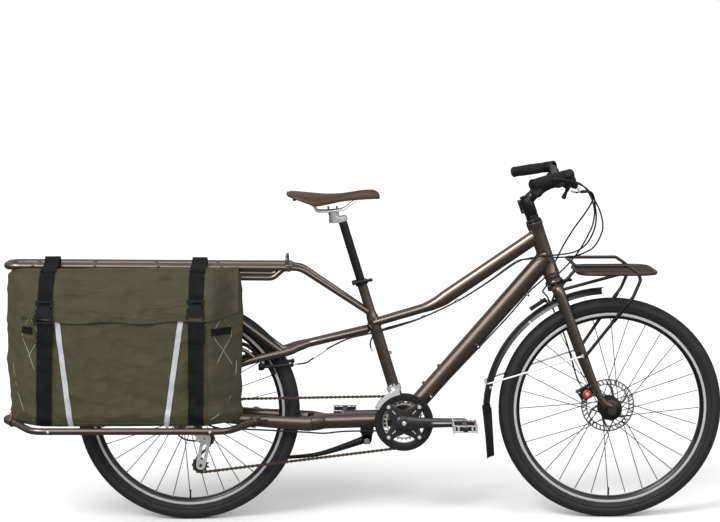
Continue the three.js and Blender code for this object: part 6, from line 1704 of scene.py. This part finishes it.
class CARGO_OT_cockpit(bpy.types.Operator):
    """Builds the handlebar, the stem, the grips and the controls"""

    bl_idname = "cargo_bicycle.cockpit"
    bl_label = "Handlebar and controls"

    def execute(self, context):
        handlebar()
        for label, hand in HANDS.items():
            controls(label, hand)
        return {"FINISHED"}


# Brakes and stand
def front_caliper():
    """A two part caliper with its bolts, arm and red adjuster knob."""
    form = Form()
    middle = at(660, 41, 367)
    tilt = -30
    turn = Matrix.Rotation(math.radians(tilt), 3, "Y")

    def on(x, y, z):
        return middle + turn @ at(x, y, z)

    form.brick(on(0, 7.6, 0), (44, 9.6, 38), tilt)
    form.brick(on(0, -7.6, 0), (42, 9.6, 36), tilt)
    form.brick(on(-6, 0, 17), (26, 16, 5), tilt)
    form.brick(on(-18, 0, 0), (7, 18, 30), tilt)
    way = turn @ ACROSS
    form.turned([(0, -22), (12, -22), (14, -20.6), (14, -13), (0, -13)], on(2, 0, -2), way, 36,
                kind=1)
    form.turned([(0, -24), (5, -24), (6, -23), (6, -22), (0, -22)], on(2, 0, -2), way, 24, kind=2)
    form.turned([(0, 12), (15, 12), (16, 13.4), (15, 18), (11, 20), (0, 20)], on(0, 0, 0), way, 36)
    for x, z in ((-16, 13), (16, 13), (16, -13), (-16, -13)):
        form.rod(on(x, -13.4, z), on(x, 13.4, z), 2.8, 14, 2, 0.7)
    form.oval([[*on(0, 20, 0), 8, 3], [*on(-14, 21, 10), 6, 2.6], [*on(-24, 21, 15), 5, 2.4]], 14)
    form.rod(on(-26, 8, 17), on(-12, 8, 12), 3.4, 14, 2, 0.6)
    build("front_caliper_body", form, "steering", "black red silver",
          ["front_caliper"])


def brake_arm(label, hand):
    """A linear pull arm on its stud, with its shoe and springs."""
    form = Form()
    stud = mirrored(BRAKE_STUD, hand)
    along = at(0.998, 0, 0.065)
    out = at(-0.065, 0, 0.998)
    form.turned([(4.6, -9), (8.4, -9), (9, -8), (9, 8), (8.4, 9), (4.6, 9)], stud, out, 28)
    form.turned([(0, 8.6), (5, 8.6), (5.4, 10), (4, 11.6), (0, 11.6)], stud, out, 24, kind=1)
    form.oval(spline([[*(stud + along * reach + ACROSS * (hand * bow)), 5, wide]
                      for reach, bow, wide in ((-4, 0, 5), (10, 0.4, 6.4), (24, 0, 6.6),
                                               (50, -0.6, 5.2), (76, -1.4, 4.8), (92, -2.2, 4.6),
                                               (95, -2.4, 3))], 4), 16)
    holder = stud + along * 23
    shoe = at(holder.x, 19 * hand, holder.z)
    form.pin(holder, 24 * hand, 49 * hand, 3.4, 16, 1)
    for side, radius in ((29, 7), (33, 7), (43, 5.6)):
        form.pin(holder, side * hand, (side + 2.4) * hand, radius, 20, 1)
    tangent = math.degrees(math.atan2(shoe.x - REAR_AXLE.x, shoe.z - REAR_AXLE.z))
    form.brick(shoe + at(0, hand * 2.4, 0), (58, 4, 11), tangent, 2)
    form.brick(shoe + at(0, -hand * 1.6, 0), (62, 5, 9), tangent, 2)
    head = stud + along * 90 + ACROSS * (hand * -2.2)
    form.rod(head - out * 7, head + out * 7, 3, 14, 1, 0.6)
    form.washer(5, 6.4, -2, 2, stud + along * 4, out, 20, kind=1)
    build(f"brake_arm_{label}_set", form, f"rear_brake_{label}",
          "black dark plastic", [f"brake_arm_{label}"])


STAND_PIN = at(5, 0, 237)
STAND_LEG = [(0, 0.118, 0, 13), (-0.06, 0.118, -0.036, 11.5), (-0.43, 0.195, -0.17, 7),
             (-0.71, 0.247, -0.212, 5.5), (-0.83, 0.272, -0.232, 5.5)]


def stand():
    """The folded side stand: its bracket with the pin, and the bent leg with a rubber foot."""
    bracket = Form()
    bracket.brick(STAND_PIN + at(0, 0, 34), (40, 34, 22))
    for side in (-14, 14):
        bracket.plate([(STAND_PIN.x + x, STAND_PIN.z + z) for x, z in (
            (-18, 26), (-13, -4), (-7, -11), (7, -11), (13, -4), (18, 26))], side - 3, side + 3)
    bracket.pin(STAND_PIN + at(0, 0, 6), -17, 17, 15, 36, 0, 2)
    bracket.pin(STAND_PIN, -24, 46, 5.8, 24, 1, 1)
    hex_nut(bracket, STAND_PIN, -28, -22, 9, 1)
    bracket.rod(STAND_PIN + at(0, 0, 14), STAND_PIN + at(0, 0, 24), 7, 20, 1, 1)
    build("kickstand_mount", bracket, "frame", "black steel", ["kickstand_bracket"])
    leg = Form()
    rows = [[*(STAND_PIN + at(a, s, z) * WHEEL_RADIUS), r] for a, s, z, r in STAND_LEG]
    leg.taper(rows, 24)
    eye = STAND_PIN + at(0, STAND_LEG[0][1] * WHEEL_RADIUS, 0)
    leg.turned([(6.4, -9), (14, -9), (15, -8), (15, 8), (14, 9), (6.4, 9)], eye, sides=36)
    foot = Vector(rows[-1][:3])
    way = at(-0.95, 0.1, -0.24)
    leg.tube([foot - way * 12, foot - way * 8, foot + way * 10, foot + way * 14],
             [6.4, 8, 8, 5], 20, 1)
    leg.pin(STAND_PIN, 29, 31, 9, 24)
    build("kickstand_leg_bar", leg, "stand", "black plastic", ["kickstand_leg"])


class CARGO_OT_brakes(bpy.types.Operator):
    """Builds the front caliper, the rear brake arms and the side stand"""

    bl_idname = "cargo_bicycle.brakes"
    bl_label = "Brakes and stand"

    def execute(self, context):
        front_caliper()
        for label, hand in HANDS.items():
            brake_arm(label, hand)
        stand()
        return {"FINISHED"}


# Pannier
BAG_MIDDLE = (BAG_FRONT + BAG_BACK) / 2
BAG_HALF = (BAG_FRONT - BAG_BACK) / 2
BAG_HEIGHT = BAG_TOP - BAG_FOOT
# Shares by height: back, face, half length at the back, half length at the face
BAG_ROWS = [(0, 1, 0.96, 0.965, 0.69), (0.03, 1, 0.985, 0.98, 0.71), (0.08, 1, 1, 0.985, 0.72),
            (0.3, 1, 1, 0.99, 0.73), (0.5, 1, 1, 1, 0.73), (0.64, 0.98, 1, 1, 0.74),
            (0.74, 0.79, 0.97, 1, 0.76), (0.86, 0.72, 0.92, 1, 0.78), (0.97, 0.7, 0.84, 0.99, 0.8),
            (1, 0.7, 0.72, 0.96, 0.79)]
STRAPS = {"rear": (-905, -921), "front": (-478, -486)}
STRAP_WIDTH = 43
STRIPS = {"rear": ((-875, 629), (-844, 320)), "front": ((-524, 623), (-571, 317))}


def bag_row(height):
    """The bag's shares at a height, from 0 at the foot to 1 at the top."""
    for low, high in zip(BAG_ROWS, BAG_ROWS[1:]):
        if height <= high[0]:
            t = (height - low[0]) / (high[0] - low[0])
            t = t * t * (3 - 2 * t)
            return [a + (b - a) * t for a, b in zip(low, high)][1:]
    return list(BAG_ROWS[-1][1:])


def wander(x, y, z):
    """Smooth noise from about -1 to 1."""
    return noise.noise(at(x, y, z))


def crease(x, z):
    """How far the canvas stands in or out there: sag, folds from the straps, and creases."""
    height = (z - BAG_FOOT) / BAG_HEIGHT
    middle = 7.0 * math.sin(math.pi * min(max(height, 0), 1)) * math.cos(
        math.pi * (x - BAG_MIDDLE) / (2.4 * BAG_HALF))
    pull = 0.0
    for top, foot in STRAPS.values():
        pull -= 6.5 * math.exp(-((x - foot - (top - foot) * height) / 34) ** 2)
    drift = 14 * wander(x / 140, z / 90, 3)
    folds = wander((x + drift) / 46, z / 150, 1.5)
    long_folds = wander(x / 210, (z + 0.4 * x) / 40, 7.2)
    fine = wander(x / 21, z / 27, 11)
    ridge = 1 - abs(wander((x - 0.5 * z) / 75, (z + 0.3 * x) / 62, 19)) * 2.6
    low = max(0.0, 1 - height * 3.2)
    sag = 3.85 * low * math.sin((z + 9 * wander(x / 80, 0, 5)) / 13)
    return middle + pull + sag + sizes().crease / MM * (
        0.9 * folds + 0.8 * long_folds + 0.28 * fine + 0.5 * max(ridge, 0) ** 2)


def bag_loop(height):
    """The bag's outline at a height, seen from above, with its corners rounded."""
    back, face, back_share, face_share = bag_row(height)
    near, far = -BAG_BACK_SIDE * back, -BAG_FACE_SIDE * face
    half_back, half_face = BAG_HALF * back_share, BAG_HALF * face_share
    between = near + (far - near) / 4
    corners = [(-half_back, near), (-half_back, between), (-half_face, far), (half_face, far),
               (half_back, between), (half_back, near)]
    corners = [at(BAG_MIDDLE + x, y, BAG_FOOT + BAG_HEIGHT * height) for x, y in corners]
    loop = []
    for corner, after, count in zip(corners, corners[1:] + corners[:1], (5, 18, 64, 18, 5, 40)):
        loop.extend(corner.lerp(after, step / count) for step in range(count))
    for _ in range(3):
        loop = [(a + b * 2 + c) / 4 for a, b, c in zip(loop[-1:] + loop[:-1], loop,
                                                      loop[1:] + loop[:1])]
    return loop


def creased(height):
    """How much of the creases is left at a height: less along the foot and the top."""
    return min(1.0, (1 - height) * 16 + 0.25, height * 12 + 0.3)


def bag_rings(count):
    """Rings of the bag from its foot to its top, with sag, folds and creases."""
    rings = []
    for step in range(count + 1):
        height = step / count
        loop = bag_loop(height)
        ring = []
        for before, point, after in zip(loop[-1:] + loop, loop, loop[1:] + loop[:1]):
            way = (after - before).normalized()
            out = at(way.y, -way.x, 0)
            behind = out.y > 0 and point.y > -BAG_BACK_SIDE * 1.02
            free = 0.0 if behind else min(1.0, max(0.0, (-point.y - 62) / 60))
            amount = crease(point.x, point.z) * free * creased(height)
            ring.append(point + (-out if out.y > 0 else out) * amount)
        rings.append(ring)
    return rings


def face_side(x, z, room):
    """The side place of the bag's canvas at that place on its face, with room outside it."""
    height = min(max((z - BAG_FOOT) / BAG_HEIGHT, 0.0), 1.0)
    loop = bag_loop(height)
    side = 0.0
    for a, b in zip(loop, loop[1:] + loop[:1]):
        if (a.x - x) * (b.x - x) <= 0 and a.x != b.x:
            side = min(side, a.y + (b.y - a.y) * (x - a.x) / (b.x - a.x))
    return side - crease(x, z) * creased(height) - room


def line_way(line, i):
    """The way that a line of number pairs runs at its point i."""
    before, after = line[max(i - 1, 0)], line[min(i + 1, len(line) - 1)]
    return Vector((after[0] - before[0], after[1] - before[1])).normalized()


def ribbon(form, line, width, thickness, room):
    """A flat band that lies on the face of the bag. Line is places ahead and up."""
    rings = []
    for i, (x, z) in enumerate(line):
        way = line_way(line, i)
        side = Vector((way.y, -way.x))
        steps = 5
        outer, inner = [], []
        for j in range(steps + 1):
            s = (j / steps - 0.5) * width
            px, pz = x + side.x * s, z + side.y * s
            crown = 0.35 * (1 - (2 * j / steps - 1) ** 2)
            y = face_side(px, pz, room)
            outer.append(at(px, y - thickness - crown, pz))
            inner.append(at(px, y + 0.8, pz))
        rings.append(outer + inner[::-1])
    form.skin(rings)


def stretch(start, end, steps):
    return [(start[0] + (end[0] - start[0]) * i / steps, start[1] + (end[1] - start[1]) * i / steps)
            for i in range(steps + 1)]


def seam_line(form, line, radius, room):
    """A round seam that lies on the face of the bag. Line is places ahead and up."""
    form.tube([at(x, face_side(x, z, room), z) for x, z in line], radius, 6)


def bag_shell():
    """The canvas body: face, gussets, foot and back in one shell, with piping and seams."""
    form = Form()
    rings = bag_rings(84)
    middle = at(BAG_MIDDLE, -BAG_BACK_SIDE * 1.4, BAG_FOOT - 2)
    foot = [[p.lerp(middle, inward) - UP * (3 * inward) for p in rings[0]]
            for inward in (1, 0.65, 0.3, 0.08)]
    top = [[at(p.x, p.y + (-BAG_BACK_SIDE * 1.05 - p.y) * inward,
               p.z + 3 * inward * (1 - abs(noise.noise(p * 0.02)))) for p in rings[-1]]
           for inward in (0.03, 0.14, 0.4, 0.7, 1)]
    form.skin(foot + rings + top)
    shell = build("pannier_shell", form, "frame", "canvas",
                  ["pannier_bag"], bevel=False, sharp=70)
    trim = Form()
    for sign in (-1, 1):
        line = []
        for i in range(41):
            height = 0.02 + 0.68 * i / 40
            half = BAG_HALF * bag_row(height)[3] - 6
            line.append((BAG_MIDDLE + sign * half, BAG_FOOT + BAG_HEIGHT * height))
        seam_line(trim, line, 2.5, 1.0)
    line = [(BAG_MIDDLE + BAG_HALF * 0.7 * (2 * i / 60 - 1), BAG_FOOT + 9) for i in range(61)]
    seam_line(trim, line, 2.0, 0.2)
    build("pannier_piping", trim, "frame", "canvas", bevel=False)
    patches = Form()
    for sign in (-1, 1):
        rows = []
        for i in range(13):
            z = BAG_FOOT + 4 + 92 * i / 12
            outer = BAG_HALF * bag_row((z - BAG_FOOT) / BAG_HEIGHT)[3] - 8
            inner = BAG_HALF * (0.5 + 0.19 * i / 12)
            row = [BAG_MIDDLE + sign * (inner + (outer - inner) * j / 8) for j in range(9)]
            rows.append([at(x, face_side(x, z, 1.3), z) for x in row]
                        + [at(x, face_side(x, z, -0.6), z) for x in reversed(row)])
        patches.skin(rows)
    build("pannier_corner_panels", patches, "frame", "canvas", bevel=False)


LID_BACK = -994
LID_FRONT = -361
LID_LENGTH = LID_FRONT - LID_BACK


def lid_edge(x, share):
    """The height of the lid's lower edge: a little wavy, and higher at both ends."""
    return 621 + 19 * (2 * share - 1) ** 4 + 3 * math.sin(x / 31)


def bag_lid():
    """The flap that folds over the top and down the face, with a hem along its edge."""
    form = Form()
    columns, drop_steps, top_steps = 72, 16, 8
    rings = []
    hem = []
    for j in range(columns + 1):
        x = LID_BACK + 3 + (LID_LENGTH - 6) * j / columns
        edge = lid_edge(x, j / columns)
        outer, inner = [], []
        for i in range(drop_steps + 1):
            z = edge + (BAG_TOP - 4 - edge) * i / drop_steps
            y = face_side(min(max(x, BAG_BACK + 60), BAG_FRONT - 20), z, 0)
            y -= 2.6 + 4.6 * (1 - i / drop_steps) * (0.6 + wander(x / 60, 4, 2))
            outer.append(at(x, y - 1.2, z))
            inner.append(at(x, y + 0.6, z))
        start = outer[-1].y
        for i in range(1, top_steps + 1):
            s = i / top_steps
            swell = 3.5 * math.sin(math.pi * s) + 1.4 * wander(x / 50, s * 2, 8)
            outer.append(at(x, start + (-72 - start) * s, BAG_TOP + 2.4 + swell))
            inner.append(at(x, start + (-72 - start) * s, BAG_TOP + 0.8 + swell))
        rings.append(outer + inner[::-1])
        hem.append(outer[0] + at(0, -0.4, 1))
    form.skin(rings)
    form.tube(hem, 1.9, 8)
    build("pannier_lid", form, "frame", "lid", bevel=False, sharp=60)
    stitch = Form()
    for rise in (9, 13):
        for j in range(4, 124):
            x = LID_BACK + LID_LENGTH * j / 128
            z = lid_edge(x, j / 128) + rise
            y = face_side(x, z, 6.7) - 4.2 * wander(x / 60, 4, 2)
            stitch.rod(at(x - 1.5, y, z), at(x + 1.5, y, z), 0.5, 5)
    build("pannier_lid_stitches", stitch, "frame", "canvas", bevel=False)


def buckle(form, x, z, slope):
    """A side release buckle: a frame, two prongs and a slotted tail."""
    y = face_side(x, z, 8.4)
    for dz, high, wide in ((22, 20, 50), (-20, 26, 52)):
        px = x + slope * dz
        side = face_side(px, z + dz, 8.2)
        form.brick(at(px, side, z + dz + high * 0.3), (wide, 5.6, 6), kind=1)
        form.brick(at(px, side, z + dz - high * 0.4), (wide, 5.6, 5), kind=1)
        for hand in (-1, 1):
            form.brick(at(px + hand * (wide / 2 - 3.4), side, z + dz), (6.8, 6, high), kind=1)
    form.brick(at(x, y, z), (34, 6.6, 26), kind=1)
    for hand in (-1, 1):
        form.brick(at(x + hand * 21, y, z - 1), (6, 6, 18), kind=1)


def straps():
    """Two webbing straps from the rail down the face, their buckles, tabs and strips."""
    for name, (top, foot) in STRAPS.items():
        form = Form()
        line = []
        for i in range(61):
            z = BAG_FOOT + 3 + (BAG_HEIGHT - 6) * i / 60
            line.append((foot + (top - foot) * (z - BAG_FOOT) / BAG_HEIGHT, z))
        ribbon(form, line, STRAP_WIDTH, 1.5, 4.4)
        face = face_side(top, BAG_TOP - 4, 5)
        rail = rail_height(top)
        smooth = spline([
            (face, BAG_TOP - 6), (face + 3, BAG_TOP + 5), (face + 30, BAG_TOP + 11),
            (-92, BAG_TOP + 14), (-76, rail + 20), (-64, rail + 29), (-50, rail + 28),
            (-41, rail + 14), (-42, rail - 4), (-56, rail - 13)], 5)
        rings = []
        for i, (y, z) in enumerate(smooth):
            way = line_way(smooth, i)
            out = Vector((-way.y, way.x))
            rings.append([at(top + sx * STRAP_WIDTH / 2, y + out.x * w, z + out.y * w)
                          for sx, w in ((-1, -0.8), (1, -0.8), (1, 0.9), (-1, 0.9))])
        form.skin(rings)
        buckle(form, foot + (top - foot) * 0.76 - 2, 652, (top - foot) / BAG_HEIGHT)
        tail = [(foot + (top - foot) * 0.7 + 4, z) for z in (618, 606, 590, 574, 560)]
        ribbon(form, tail, STRAP_WIDTH - 3, 1.4, 7.0)
        build(f"bag_strap_{name}_webbing", form, "frame", "webbing plastic",
              [f"bag_strap_{name}"], bevel=False, sharp=40)
    strips = Form()
    for start, end in STRIPS.values():
        ribbon(strips, stretch(start, end, 44), 15, 0.7, 1.6)
    build("pannier_reflective_strips", strips, "frame", "reflector", bevel=False)
    tabs = Form()
    for (x0, x1), (z0, z1) in (((-979, -947), (609, 589)), ((-437, -384), (601, 580))):
        ribbon(tabs, [((x0 + x1) / 2, z0 + (z1 - z0) * i / 5) for i in range(6)], x1 - x0, 2.2,
               2.4)
    build("pannier_tabs", tabs, "frame", "webbing", bevel=False)


def gusset_stitches():
    """Pale crossed seams on both gussets, and a curved seam round each corner panel."""
    form = Form()
    lines = []
    for top, cross, legs in (((-953, 640), (-958, 528), ((-985, 486), (-944, 486))),
                             ((-408, 632), (-406, 534), ((-427, 491), (-383, 491)))):
        for bow, leg in zip((-24, 24), reversed(legs)):
            lines.append([top, ((top[0] + cross[0]) / 2 + bow, (top[1] + cross[1]) / 2), cross,
                          leg])
    lines.append([(-443, 336), (-400, 372), (-376, 452), (-371, 500)])
    lines.append([(-950, 336), (-988, 372), (-1010, 452), (-1013, 500)])
    for line in lines:
        seam_line(form, [(x, z) for x, z in spline(line, 8)], 0.75, 0.7)
    build("pannier_gusset_stitches", form, "frame", "stitch", bevel=False)


class CARGO_OT_bag(bpy.types.Operator):
    """Builds the canvas bag with its lid, seams, straps and strips"""

    bl_idname = "cargo_bicycle.bag"
    bl_label = "Bag"

    def execute(self, context):
        bag_shell()
        bag_lid()
        straps()
        gusset_stitches()
        return {"FINISHED"}


# Cables, each from its control to its brake or derailleur
CABLES = {
    "rear_shift_cable": [
        (581.9, -196.4, 987), (600, -195, 983), (618, -182, 987), (640, -150, 979),
        (654, -110, 962), (657, -62, 944), (640, -20, 905), (612, 12, 858), (586, 34, 808),
        (562, 44, 756), (538, 46, 718), (508, 30, 694), (482, 6, 674), (424, -8, 608),
        (335, -17, 514), (195, -23, 364), (142, -24, 287), (116, -22, 267), (60, -24, 268),
        (-60, -24, 267), (-120, -36, 264), (-168, -52, 270), (-260, -54, 276), (-345, -62, 282),
        (-420, -80, 288), (-465, -98, 304), (-510, -103, 312), (-540, -101, 298),
        (-548, -96, 276), (-530, -92, 260), (-506, -88, 254), (-485.7, -86, 253.3)],
    "rear_brake_cable": [
        (599.3, -212.4, 995.5), (605, -210, 985), (622, -198, 984), (640, -172, 983),
        (655, -128, 967), (663, -92, 942), (671, -64, 902), (667, -50, 864), (651, -43, 829),
        (629, -42, 808), (600, -38, 796), (560, -33, 790), (520, -32, 786), (482, -27, 780),
        (443, -20, 766), (360, -18, 708), (271, -18, 653), (172, -20, 607), (103, -26, 583),
        (53, -28, 569), (10, -28, 559), (-48, -24, 545), (-100, -18, 520), (-128, -14, 502),
        (-155, -13, 484), (-176, -18, 472), (-212.5, -33.3, 470.3)],
    "front_shift_cable": [
        (599.3, 212.4, 995.5), (605, 210, 985), (624, 198, 984), (650, 172, 982),
        (673, 140, 966), (688, 104, 938), (700, 66, 905), (705, 46, 868), (698, 40, 839),
        (678, 37, 806), (650, 36, 789), (614, 34, 778), (570, 31, 776), (525, 33, 773),
        (480, 24, 772), (443, 12, 764), (360, 0, 706), (272, 0, 651), (172, 0, 604),
        (100, 8, 581), (66, 20, 570), (40, 24, 558), (22, 14, 543), (16, 4, 522), (22, 2, 502)],
    "front_brake_cable": [
        (581.9, 196.4, 987), (600, 194, 984), (620, 184, 988), (648, 162, 986), (668, 132, 966),
        (680, 96, 936), (680, 50, 908), (670, 6, 875), (656, -14, 850), (641, -24, 824),
        (617, -28, 788), (590, -35, 758), (562, -42, 732), (536, -34, 704), (524, -10, 682),
        (530, 20, 672), (542, 42, 658), (556, 52, 630), (584, 52, 570), (602, 50, 520),
        (620, 50, 460), (634, 48, 412), (649, 46, 384.6)],
}


class CARGO_OT_cables(bpy.types.Operator):
    """Builds the four cable housings with their ferrules"""

    bl_idname = "cargo_bicycle.cables"
    bl_label = "Cables"

    def execute(self, context):
        radius = sizes().cable / MM
        for name, route in CABLES.items():
            form = Form()
            path = curve(route, 5)
            form.tube(path, radius, 12)
            for tip, inner in ((path[0], path[2]), (path[-1], path[-3])):
                way = (inner - tip).normalized()
                form.tube([tip, tip + way * 12], radius + 0.7, 14, 1)
            if name == "rear_brake_cable":
                sleeve = [point for point in path if -152 < point.x < -112]
                form.tube(sleeve, radius + 1.3, 14, 1)
            crosses = name != "front_brake_cable"
            piece = build(f"{name}_housing", form, "steering", "plastic silver",
                          [name], bevel=False, ride=not crosses)
            if crosses:
                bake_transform(piece)
        return {"FINISHED"}


# Stage
CAMERA_PLACE = (-0.0143, -5.4, 1.345)
CAMERA_PITCH = 0.144750
CAMERA_ROLL = -0.0050756
CAMERA_LENS = 92.35
CAMERA_RISE = 0.10


def make_floor():
    """A wide pale floor that meets the white background and keeps the shadow."""
    mesh = bpy.data.meshes.new("studio_floor")
    reach = 60
    mesh.from_pydata([(-reach, -reach, 0), (reach, -reach, 0), (reach, reach, 0),
                      (-reach, reach, 0)], [], [(0, 1, 2, 3)])
    floor = placed("studio_floor", mesh)
    paper = bpy.data.materials.new("studio_paper")
    paper.use_nodes = True
    shader = paper.node_tree.nodes["Principled BSDF"]
    shader.inputs["Base Color"].default_value = (0.94, 0.94, 0.94, 1)
    shader.inputs["Roughness"].default_value = 0.9
    shader.inputs["Specular IOR Level"].default_value = 0.1
    mesh.materials.append(paper)
    floor.visible_glossy = False


AMBIENT_LOW = 0.1
AMBIENT_HIGH = 0.7
BOX_STRENGTH = 2.3
SUN_STRENGTH = 1.7


def make_light():
    """Soft light from above and ahead, and a world that is white to the camera."""
    lamp = bpy.data.lights.new("key_light", "SUN")
    lamp.energy = SUN_STRENGTH
    lamp.angle = math.radians(22)
    placed("key_light", lamp).rotation_euler = (math.radians(36), math.radians(-32), 0)
    world = bpy.data.worlds.new("studio_world")
    bpy.context.scene.world = world
    world.use_nodes = True
    tree = world.node_tree
    tree.nodes.clear()
    place = wire(tree, "ShaderNodeTexCoord")
    split = wire(tree, "ShaderNodeSeparateXYZ", {0: place.outputs["Generated"]})
    base = wire(tree, "ShaderNodeMapRange", {
        0: ramp(tree, split.outputs["Z"], -0.3, 1.0), 3: AMBIENT_LOW, 4: AMBIENT_HIGH})
    near = ramp(tree, split.outputs["Y"], -0.05, -0.45)
    over = ramp(tree, split.outputs["Z"], 0.2, 0.36)
    under = ramp(tree, split.outputs["Z"], 0.8, 0.62)
    box = calc(tree, "MULTIPLY", calc(tree, "MULTIPLY", near, over), under)
    light = calc(tree, "MULTIPLY_ADD", box, BOX_STRENGTH, base.outputs[0])
    soft = wire(tree, "ShaderNodeBackground", {"Color": (1, 1, 1, 1), "Strength": light})
    white = wire(tree, "ShaderNodeBackground", {"Color": (1, 1, 1, 1), "Strength": 1.0})
    rays = wire(tree, "ShaderNodeLightPath")
    mix = wire(tree, "ShaderNodeMixShader", {0: rays.outputs["Is Camera Ray"],
                                            1: soft.outputs[0], 2: white.outputs[0]})
    wire(tree, "ShaderNodeOutputWorld", {"Surface": mix.outputs[0]})


def make_camera():
    lens = bpy.data.cameras.new("photo_camera")
    lens.lens = CAMERA_LENS
    lens.sensor_width = 36
    lens.shift_y = CAMERA_RISE
    lens.dof.use_dof = False
    camera = placed("photo_camera", lens)
    ahead = at(0, math.cos(CAMERA_PITCH), -math.sin(CAMERA_PITCH))
    up = at(0, math.sin(CAMERA_PITCH), math.cos(CAMERA_PITCH))
    turned_right = AHEAD * math.cos(CAMERA_ROLL) + up * math.sin(CAMERA_ROLL)
    turned_up = up * math.cos(CAMERA_ROLL) - AHEAD * math.sin(CAMERA_ROLL)
    pose = Matrix((turned_right, turned_up, -ahead)).transposed().to_4x4()
    pose.translation = Vector(CAMERA_PLACE)
    camera.matrix_world = pose
    bpy.context.scene.camera = camera


class CARGO_OT_stage(bpy.types.Operator):
    """Sets the floor, the light and the camera of the photograph"""

    bl_idname = "cargo_bicycle.stage"
    bl_label = "Stage"

    def execute(self, context):
        make_floor()
        make_light()
        make_camera()
        context.scene.view_settings.view_transform = "Standard"
        return {"FINISHED"}


STEPS = ("wheels", "drive", "cranks", "frame", "seat", "fork", "cockpit", "brakes", "bag",
         "cables", "stage")


class CARGO_PT_panel(bpy.types.Panel):
    """Lists the steps, the sizes and the colours"""

    bl_label = "Cargo Bicycle"
    bl_idname = "CARGO_PT_panel"
    bl_space_type = "VIEW_3D"
    bl_region_type = "UI"
    bl_category = "Cargo Bicycle"

    def draw(self, context):
        for step in STEPS:
            self.layout.operator(f"cargo_bicycle.{step}")
        for group in (context.scene.cargo_bike_sizes, context.scene.cargo_bike_colours):
            for key in group.__annotations__:
                self.layout.prop(group, key)


CLASSES = (CargoBikeSizes, CargoBikeColours, CARGO_OT_wheels, CARGO_OT_drive, CARGO_OT_cranks,
           CARGO_OT_frame, CARGO_OT_seat, CARGO_OT_fork, CARGO_OT_cockpit, CARGO_OT_brakes,
           CARGO_OT_bag, CARGO_OT_cables, CARGO_OT_stage, CARGO_PT_panel)


def register():
    for item in CLASSES:
        bpy.utils.register_class(item)
    bpy.types.Scene.cargo_bike_sizes = bpy.props.PointerProperty(type=CargoBikeSizes)
    bpy.types.Scene.cargo_bike_colours = bpy.props.PointerProperty(type=CargoBikeColours)


def unregister():
    del bpy.types.Scene.cargo_bike_colours
    del bpy.types.Scene.cargo_bike_sizes
    for item in reversed(CLASSES):
        bpy.utils.unregister_class(item)


def main():
    register()
    for step in STEPS:
        result = getattr(bpy.ops.cargo_bicycle, step)()
        if result != {"FINISHED"}:
            raise RuntimeError(f"the step {step} did not finish")


if __name__ == "__main__":
    main()
